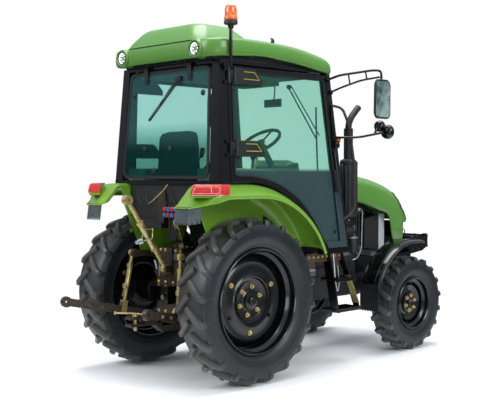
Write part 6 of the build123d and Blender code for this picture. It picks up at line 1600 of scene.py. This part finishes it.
# ======================================================================= feed pipes
# Two bright steel oil pipes from the pump along the gearbox's right flank, bent to shape and held by the
# unions at their ends.
bm = bmesh.new()
for z, x in ((0.512, 0.262), (0.486, 0.268)):
    pipe(bm, [at(0.182, 0.20, z), at(x, 0.26, z), at(x, 0.86, z), at(0.205, 0.98, z - 0.01),
              at(0.176, 1.10, z - 0.01)], 0.0085, 0.04, 12)
piece("feed_pipes", bm, steel, "chassis")


# ======================================================================= drawbar pin
# Turned pin in yellow zinc that drops through the drawbar's clevis, with a collar, and a bent round handle
# welded across its head.
low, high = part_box("drawbar_pin")
mid = (low + high) / 2
bm = bmesh.new()
bar(bm, (mid.x, mid.y, low.z), (mid.x, mid.y, high.z - 0.004), 0.0130, 24)
spun(bm, [(0.0, 0.013), (0.0, 0.024), (0.012, 0.024), (0.012, 0.013)], (mid.x, mid.y, high.z - 0.030),
     (0, 0, 1), 28)
pipe(bm, [(mid.x - 0.105, mid.y - 0.100, high.z - 0.006), (mid.x - 0.020, mid.y - 0.018, high.z - 0.010),
          (mid.x + 0.050, mid.y + 0.044, high.z - 0.018)], 0.0065, 0.03, 12)
spun(bm, [(0.0, 0.006), (0.003, 0.0115), (0.014, 0.0115), (0.018, 0.006)],
     (mid.x - 0.100, mid.y - 0.095, high.z - 0.006), (-0.7, -0.7, 0), 18)
made = piece("drawbar_pin_body", bm, zinc, "chassis", sharp=40)
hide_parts("drawbar_pin")


# ======================================================================= three-point hitch
# Forged lower links hang from the gearbox; each lift rod is a yellow-zinc fork, threaded rod and turnbuckle;
# the top link is a yellow-zinc screw with a dark sleeve and a wire handle, its ends balls in eyes.
dress("lift_arms", cast, bevel=0.005)
for name in ("lower_link_left", "lower_link_right"):
    dress(name, forged, bevel=0.004)
for name in ("lift_rod_left", "lift_rod_right", "top_link"):
    dress(name, zinc, bevel=0.002)
ARM_REACH, ARM_RISE = 0.242, math.radians(3.6)
arm_pin = Vector((0.2845, AXLE_Y - 0.130 - ARM_REACH * math.cos(ARM_RISE),
                  0.905 + ARM_REACH * math.sin(ARM_RISE)))
for hand, side in SIDES:
    low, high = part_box(f"lift_rod_{hand}")
    top = Vector((side * arm_pin.x, arm_pin.y, arm_pin.z))
    foot_y = low.y + 0.024
    foot = Vector(((low.x + 0.027) if side < 0 else (high.x - 0.027), foot_y + 0.004, low.z + 0.088))
    line = top - foot
    bm = bmesh.new()
    for share, radius, length, count in ((0.26, 0.021, 0.016, 6), (0.30, 0.0235, 0.020, 6),
                                         (0.70, 0.0235, 0.020, 6), (0.74, 0.021, 0.016, 6)):
        start = foot + line * share
        bar(bm, start, start + line.normalized() * length, radius, count)
    for i in range(13):
        start = foot + line * (0.10 + 0.012 * i)
        bar(bm, start, start + line.normalized() * 0.0022, 0.0132, 16)
    for i in range(9):
        start = foot + line * (0.78 + 0.012 * i)
        bar(bm, start, start + line.normalized() * 0.0022, 0.0132, 16)
    spun(bm, [(0.0, 0.014), (0.0, 0.022), (0.006, 0.022), (0.006, 0.014)],
         top + Vector((side * 0.0165, 0, 0)), (side, 0, 0), 24)
    piece(f"lift_rod_{hand}_nuts", bm, zinc, f"lift_rod_{hand}", sharp=30)


# ======================================================================= lower link latches
# Dark forged sleeves of the telescopic link ends, drawn over each bar, with zinc spring pins that hold them
# out. They slide along the bar when the latch is lifted.
for hand, side in SIDES:
    low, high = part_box(f"lower_link_{hand}")
    start = Vector(at(side * 0.225, -0.020, 0.400))
    end = Vector(((low.x + 0.030) if side < 0 else (high.x - 0.030), low.y + 0.03,
                  (high.z - 0.035) if high.z > 0.45 else (low.z + 0.035)))
    line = end - start
    bm = bmesh.new()
    turn = line.to_track_quat("-Y", "Z").to_matrix().to_4x4()
    outward = Matrix.Translation((side * 0.010, 0, 0))
    for share, length, half, thick in ((0.72, 0.20, 0.025, 0.010), (0.60, 0.06, 0.033, 0.012)):
        spot = Matrix.Translation(start + line * share)
        sleeve = Matrix.Diagonal((thick, length, half * 2, 1))
        bmesh.ops.create_cube(bm, size=1.0, matrix=spot @ turn @ outward @ sleeve)
    piece(f"lower_link_{hand}_latch", bm, forged, f"lower_link_{hand}", sharp=30, bevel=0.002)
    bm = bmesh.new()
    for share in (0.66, 0.78):
        spot = start + line * share
        spun(bm, [(0.0, 0.008), (0.0, 0.012), (0.022, 0.012), (0.024, 0.006)], spot, (side, 0, 0), 20)
    piece(f"lower_link_{hand}_pins", bm, zinc, f"lower_link_{hand}", sharp=35)


# ======================================================================= top link fittings
# Yellow-zinc lock rings, the screws' threads and a bent wire handle on the sleeve, with a dark grip plate a
# side and the knob of its spring latch. Threaded onto the link or welded to its sleeve.
TOP_LINK_TILT = math.radians(56)
foot = Vector(at(0, -0.280, 0.810))
direction = Vector((0, -math.cos(TOP_LINK_TILT), math.sin(TOP_LINK_TILT)))
bm, dark = bmesh.new(), bmesh.new()
bar(bm, foot + direction * 0.178, foot + direction * 0.200, 0.0275, 6)
bar(bm, foot + direction * 0.410, foot + direction * 0.432, 0.0275, 6)
for i in range(12):
    for first in (0.055, 0.445):
        bar(bm, foot + direction * (first + 0.009 * i), foot + direction * (first + 0.004 + 0.009 * i),
            0.0178, 20)
grip = foot + direction * 0.305
for side in (-1, 1):
    slab(dark, (side * 0.0235 - 0.004, grip.y - 0.012, grip.z - 0.060),
         (side * 0.0235 + 0.004, grip.y + 0.012, grip.z + 0.060), Matrix.Rotation(math.radians(34), 4, "X"))
spot = foot + direction * 0.300
pipe(bm, [spot + Vector((-0.030, -0.010, 0.040)), spot + Vector((0.050, 0.010, 0.062)),
          spot + Vector((0.062, -0.006, -0.012)), spot + Vector((-0.026, -0.040, -0.034)),
          spot + Vector((-0.030, -0.010, 0.040))], 0.0042, 0.012, 8)
spun(dark, [(0.0, 0.020), (0.002, 0.024), (0.036, 0.024), (0.040, 0.014), (0.062, 0.014), (0.064, 0.008)],
     spot + Vector((-0.020, -0.020, -0.030)), (-0.7, -0.6, -0.25), 24)
piece("top_link_screw", bm, zinc, "top_link", sharp=35)
piece("top_link_grip", dark, steel, "top_link", sharp=35, bevel=0.002)


# ======================================================================= mirrors and their arms
# Folding mirrors on welded double-tube arms from the front pillars, black enamelled, in rounded housings
# with dark glass. A lower arm for the side lamps starts from the same pillar. Bolted on.
def mirror_ring(side, outline, out, shrink):
    """The mirror's outline at a distance from the machine's middle, drawn in toward its own."""
    return [(side * out, AXLE_Y + MIRROR_Y + (y - MIRROR_Y) * shrink, MIRROR_Z + (z - MIRROR_Z) * shrink)
            for y, z in outline]


MIRROR_Y, MIRROR_Z = 1.096, 2.095
# corners of the mirror: its arc's middle, first angle and radius
MIRROR_CORNERS = ((1.148, 1.992, -90, 0.040), (1.142, 2.196, 0, 0.046), (1.048, 2.204, 90, 0.036),
                  (1.044, 1.988, 180, 0.036))
MIRROR_DEPTHS = ((0.930, 0.55), (0.933, 0.80), (0.942, 0.95), (0.954, 1.05), (0.964, 1.05), (0.969, 1.02),
                 (0.966, 0.97))
mirror_face = finish_of("mirror_glass", "#2f5a52", "#c4dcdb", 0.05, 130, 8.0, bump=0.01, metallic=0.4)
for hand, side in SIDES:
    arms = bmesh.new()
    root_high, root_low = at(side * 0.558, 0.913, 2.259), at(side * 0.562, 0.943, 2.162)
    pipe(arms, [root_high, at(side * 0.660, 0.945, 2.292), at(side * 0.890, 1.065, 2.322),
                at(side * 0.950, 1.097, 2.318), at(side * 0.950, 1.097, 2.236)], 0.0095, 0.04, 12)
    pipe(arms, [root_low, at(side * 0.640, 0.975, 2.196), at(side * 0.800, 1.030, 2.248),
                at(side * 0.938, 1.092, 2.268)], 0.0080, 0.05, 12)
    for t in (0.72, 0.84):
        y0 = 0.945 + (t - 0.66) * 0.52
        bar(arms, at(side * t, y0, 2.292 + (t - 0.66) * 0.13),
            (side * t, AXLE_Y + y0 + 0.018, 2.205 + (t - 0.64) * 0.24), 0.0065, 10)
    for spot in (root_high, root_low):
        spun(arms, [(-0.004, 0.020), (0.012, 0.020), (0.014, 0.012)], spot, (side, 0, 0), 20)
    pipe(arms, [at(side * 0.579, 0.966, 1.806), at(side * 0.640, 0.975, 1.806),
                at(side * 0.760, 1.058, 1.806), at(side * 0.930, 1.152, 1.842)], 0.0095, 0.05, 12)
    spun(arms, [(-0.004, 0.024), (0.010, 0.024), (0.014, 0.013)], at(side * 0.579, 0.966, 1.806),
         (side, 0, 0), 20)
    bar(arms, at(side * 0.868, 1.122, 1.830), at(side * 0.868, 1.150, 1.878), 0.010, 12)
    made = piece(f"mirror_arm_{hand}", arms, black, "chassis", sharp=40)
    if side > 0:
        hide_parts("mirror_arms")
    outline = []
    for cy, cz, start, r in MIRROR_CORNERS:
        for i in range(7):
            a = math.radians(start + 15 * i)
            outline.append((cy + r * math.cos(a), cz + r * math.sin(a)))
    bm = bmesh.new()
    skin(bm, [mirror_ring(side, outline, out, shrink) for out, shrink in MIRROR_DEPTHS], cap_first=True,
         cap_last=True)
    made = piece(f"mirror_housing_{hand}", bm, dark_plastic, "chassis", sharp=35)
    if side > 0:
        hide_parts("mirrors")
    bm = bmesh.new()
    skin(bm, [mirror_ring(side, outline, out, shrink)
              for out, shrink in ((0.9655, 0.965), (0.9680, 0.955), (0.9690, 0.50))], cap_first=True,
         cap_last=True)
    piece(f"mirror_glass_{hand}", bm, mirror_face, "chassis", sharp=30)


# ======================================================================= side lamps
# Two round lamps a side on the lower arm, looking forward: glossy black pressed bowls with fronts that glow
# faintly, a painted glow for their reflections.
# Each is clamped to the arm by its stay.
for hand, side in SIDES:
    bowls, fronts = bmesh.new(), bmesh.new()
    for x, y, z, r in ((0.942, 1.150, 1.848, 0.056), (0.868, 1.146, 1.894, 0.045)):
        spun(bowls, [(0.0, r * 0.10), (0.002, r * 0.45), (0.008, r * 0.72), (0.020, r * 0.93), (0.036, r),
                     (0.052, r), (0.054, r * 0.92)], at(side * x, y, z), (0, 1, 0), 32)
        spun(fronts, [(0.0, r * 0.90), (0.010, r * 0.78), (0.016, r * 0.45), (0.018, r * 0.05)],
             (side * x, AXLE_Y + y + 0.053, z), (0, 1, 0), 32)
    made = piece(f"side_lamp_bodies_{hand}", bowls, black, "chassis", sharp=40)
    if side > 0:
        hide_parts("side_lamps")
    piece(f"side_lamp_fronts_{hand}", fronts, glow_painted_reflector, "chassis", sharp=50)


# ======================================================================= grab tubes and indicators
# A bent steel grab tube in black runs down each front pillar on two feet. An amber indicator on its sheet
# bracket is screwed to the pillar behind it.
for hand, side in SIDES:
    bm = bmesh.new()
    pipe(bm, [at(side * 0.570, 0.950, 2.060), at(side * 0.635, 1.007, 2.040), at(side * 0.668, 1.050, 1.900),
              at(side * 0.688, 1.100, 1.560), at(side * 0.688, 1.100, 1.230), at(side * 0.600, 1.045, 1.150)],
         0.0105, 0.07, 12)
    piece(f"grab_tube_{hand}", bm, forged, "chassis", sharp=60)
    bm = bmesh.new()
    prism(bm, [(AXLE_Y + 0.955, 1.735), (AXLE_Y + 0.955, 1.835), (AXLE_Y + 1.035, 1.800),
               (AXLE_Y + 1.035, 1.770)], "x", side * 0.584, side * 0.590)
    spun(bm, [(0.0, 0.020), (0.014, 0.026), (0.022, 0.020)], at(side * 0.590, 0.985, 1.745), (side, 0, 0), 24)
    piece(f"indicator_bracket_{hand}", bm, black, "chassis", sharp=30)
    bm = bmesh.new()
    spun(bm, [(0.0, 0.018), (0.010, 0.018), (0.022, 0.013), (0.026, 0.003)], at(side * 0.589, 1.004, 1.794),
         (side, 0.2, 0), 24)
    piece(f"indicator_lens_{hand}", bm, amber, "chassis", sharp=50)


# ======================================================================= steps
# Two welded treads a side with raised grips, hung from the cab floor on narrow black hangers and one
# yellow-zinc strut; a bright release rod hangs beside them.
for hand, side in SIDES:
    bm, gold, rod = bmesh.new(), bmesh.new(), bmesh.new()
    for rear, front, z in ((0.930, 1.250, 0.415), (0.917, 1.178, 0.660)):
        for x in (0.482, 0.642):
            slab(bm, (side * x - 0.003, AXLE_Y + rear + 0.01, z),
                 at(side * x + 0.003 + side * 0.004, front, z + 0.030))
        for i in range(5):
            x = 0.500 + i * 0.032
            slab(bm, (side * x - 0.006, AXLE_Y + rear + 0.012, z + 0.012),
                 (side * x + 0.006, AXLE_Y + front - 0.004, z + 0.022))
        count = int((front - rear) / 0.026)
        for i in range(count):
            y = rear + 0.014 + i * 0.026
            slab(bm, at(side * 0.566 - 0.082, y, z + 0.010),
                 (side * 0.566 + 0.082, AXLE_Y + y + 0.004, z + 0.030))
    for y, low_y, wide in ((0.948, 0.958, 0.085), (1.110, 1.238, 0.060)):
        ends = []
        for z, x, yy in ((0.896, 0.520, y), (0.660, 0.566, (y + low_y) / 2), (0.412, 0.610, low_y)):
            ends.append([(side * (x + dx), AXLE_Y + yy + dy, z) for dx, dy in
                         ((-wide / 2, -0.006), (wide / 2, -0.006), (wide / 2, 0.006), (-wide / 2, 0.006))])
        skin(bm, ends, cap_first=True, cap_last=True)
    ends = [[(side * (x + dx), AXLE_Y + yy + dy, z) for dx, dy in
             ((-0.028, -0.020), (0.028, -0.020), (0.028, -0.014), (-0.028, -0.014))]
            for z, x, yy in ((0.700, 0.585, 1.150), (0.470, 0.625, 1.225))]
    skin(gold, ends, cap_first=True, cap_last=True)
    pipe(rod, [at(side * 0.540, 1.010, 0.895), at(side * 0.560, 1.020, 0.640), at(side * 0.560, 1.045, 0.560),
                at(side * 0.560, 1.065, 0.640), at(side * 0.550, 1.055, 0.780)], 0.0055, 0.03, 10)
    for y in (0.948, 1.150):
        bolt(gold, (side * 0.520, AXLE_Y + y + 0.006, 0.880), (0, 1, 0), 0.009, 0.008)
    made = piece(f"steps_{hand}", bm, black, "chassis", sharp=30, bevel=0.0015)
    if side > 0:
        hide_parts("steps")
    piece(f"step_strut_{hand}", gold, zinc, "chassis", sharp=30)
    piece(f"step_release_rod_{hand}", rod, steel, "chassis")


# ======================================================================= cab mounting rails
# Pressed steel rails under the sills carry the cab on its mounts: brown primer left bare, with a row of zinc
# bolts through the web and two deeper plates where the mounts sit.
primer = finish_of("brown_primer", "#3b2c20", "#4c3a2b", 0.55, 40, 2.0, bump=0.12)
rails, nuts = bmesh.new(), bmesh.new()
for side in (-1, 1):
    slab(rails, at(side * 0.530 - 0.004, 0.700, 0.824), at(side * 0.530 + 0.004, 1.120, 0.892))
    slab(rails, at(side * 0.515 - 0.019, 0.700, 0.820), at(side * 0.515 + 0.019, 1.120, 0.828))
    for y in (0.770, 1.060):
        slab(rails, (side * 0.522 - 0.004, AXLE_Y + y - 0.040, 0.770),
             (side * 0.522 + 0.004, AXLE_Y + y + 0.040, 0.880))
    for k in range(8):
        bolt(nuts, (side * 0.534, AXLE_Y + 0.730 + 0.052 * k, 0.862), (side, 0, 0), 0.0085, 0.009)
piece("cab_mount_rails", rails, primer, "chassis", sharp=30, bevel=0.002)
piece("cab_mount_bolts", nuts, zinc, "chassis", sharp=30)


# ======================================================================= front axle and fenders
# Cast front axle on its middle pivot with bolted covers, steered knuckles and a drag link; pressed black
# fenders ride on the knuckles, each with a beaded edge and a toothed rubber flap behind the tyre.
axle_y, axle_z = AXLE_Y + 1.926, 0.4025
NOSE, GUARD_R, GUARD_SWEEP = 0.130, 0.5475, 72
# the fender across: distance from the machine's middle, and height against its radius
GUARD = ((0.500, -0.014), (0.501, -0.003), (0.506, 0.0), (0.560, 0.0005), (0.640, 0.0), (0.672, -0.004),
         (0.690, -0.012), (0.695, -0.022))
dress("front_axle", iron, bevel=0.006)
dress("front_frame", black, bevel=0.004)
for hand, side in SIDES:
    dress(f"knuckle_{hand}", iron, bevel=0.006)
    bm = bmesh.new()
    rows = []
    for i in range(5):
        y = NOSE * (1 - i / 5)
        rows.append([(side * x, axle_y + y, axle_z + GUARD_R + d - 0.006 * (y / NOSE) ** 2)
                     for x, d in GUARD])
    for i in range(22):
        a = math.radians(90 + GUARD_SWEEP * i / 21)
        rows.append([(side * x, axle_y + (GUARD_R + d) * math.cos(a), axle_z + (GUARD_R + d) * math.sin(a))
                     for x, d in GUARD])
    skin(bm, rows, closed=False)
    made = piece(f"front_fender_{hand}_shell", bm, black, f"knuckle_{hand}", sharp=50)
    thick = made.modifiers.new("sheet_thickness", "SOLIDIFY")
    thick.thickness = 0.003
    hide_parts(f"front_fender_{hand}")
    bm = bmesh.new()
    pipe(bm, [row[-1] for row in rows], 0.0045, 0.002, 8)
    pipe(bm, [(row[4][0], row[4][1] + (0.002 if k < 5 else 0), row[4][2] + 0.002)
              for k, row in enumerate(rows)], 0.0028, 0.002, 8)
    for i in (6, 14, 21):
        a = math.radians(90 + GUARD_SWEEP * i / 21)
        for x in (0.540, 0.655):
            bolt(bm, (side * x, axle_y + 0.548 * math.cos(a), axle_z + 0.548 * math.sin(a)),
                 (0, math.cos(a), math.sin(a)), 0.007, 0.005)
    piece(f"front_fender_{hand}_bead", bm, black, f"knuckle_{hand}", sharp=60)
    bm = bmesh.new()
    tail = math.radians(90 + GUARD_SWEEP)
    edge_y = axle_y + (GUARD_R - 0.004) * math.cos(tail)
    top_z, foot_z = axle_z + (GUARD_R - 0.004) * math.sin(tail) + 0.030, 0.372
    outline = [(0.502, top_z), (0.694, top_z), (0.694, foot_z)]
    for i in range(7):
        x = 0.694 - 0.0274 * i
        outline += [(x - 0.0137, foot_z + 0.016), (x - 0.0274, foot_z)]
    outline = [(side * x, z) for x, z in outline[:-1]] + [(side * 0.502, foot_z)]
    prism(bm, outline, "y", edge_y - 0.006, edge_y)
    piece(f"front_fender_{hand}_flap", bm, rubber, f"knuckle_{hand}", sharp=30)
bm = bmesh.new()
for k in range(8):
    a = math.tau * k / 8
    bolt(bm, (0.085 * math.cos(a), axle_y - 0.078, 0.5 + 0.07 * math.sin(a)), (0, -1, 0), 0.009, 0.010)
piece("front_axle_bolts", bm, iron, "chassis", sharp=30)


# ======================================================================= weight bracket
# Welded black plate bracket before the nose that carries the front weights: ribs, two cross bars, pegs and
# the bolts that hold it on the front frame.
dress("weight_bracket", black, bevel=0.004)
bm, nuts = bmesh.new(), bmesh.new()
low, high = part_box("weight_bracket")
for side in (-1, 1):
    for y, z in ((0.050, 0.80), (0.050, 0.87), (0.130, 0.80), (0.130, 0.87), (0.235, 0.86)):
        bolt(nuts, (side * (high.x + 0.0005), low.y + y, z), (side, 0, 0), 0.010, 0.008)
    slab(bm, (side * high.x - 0.005, low.y + 0.160, 0.800), (side * high.x + 0.005, low.y + 0.215, 0.868))
    slab(bm, (side * 0.150 - 0.012, high.y - 0.050, high.z - 0.07),
         (side * 0.150 + 0.012, high.y + 0.002, high.z - 0.045))
    bar(bm, (side * 0.110, low.y + 0.16, 0.905), (side * 0.110, low.y + 0.16, 0.945), 0.012, 16)
slab(bm, (-0.172, high.y - 0.024, 0.905), (0.172, high.y + 0.002, 0.932))
slab(bm, (-0.172, high.y - 0.028, 0.812), (0.172, high.y + 0.002, 0.836))
for x in (-0.12, -0.04, 0.04, 0.12):
    bolt(nuts, (x, high.y, 0.87), (0, 1, 0), 0.009, 0.006)
piece("weight_bracket_ribs", bm, black, "chassis", sharp=30, bevel=0.003)
piece("weight_bracket_bolts", nuts, iron, "chassis", sharp=30)


# ======================================================================= sizes and finish
# The dressed model's box.
low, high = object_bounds()
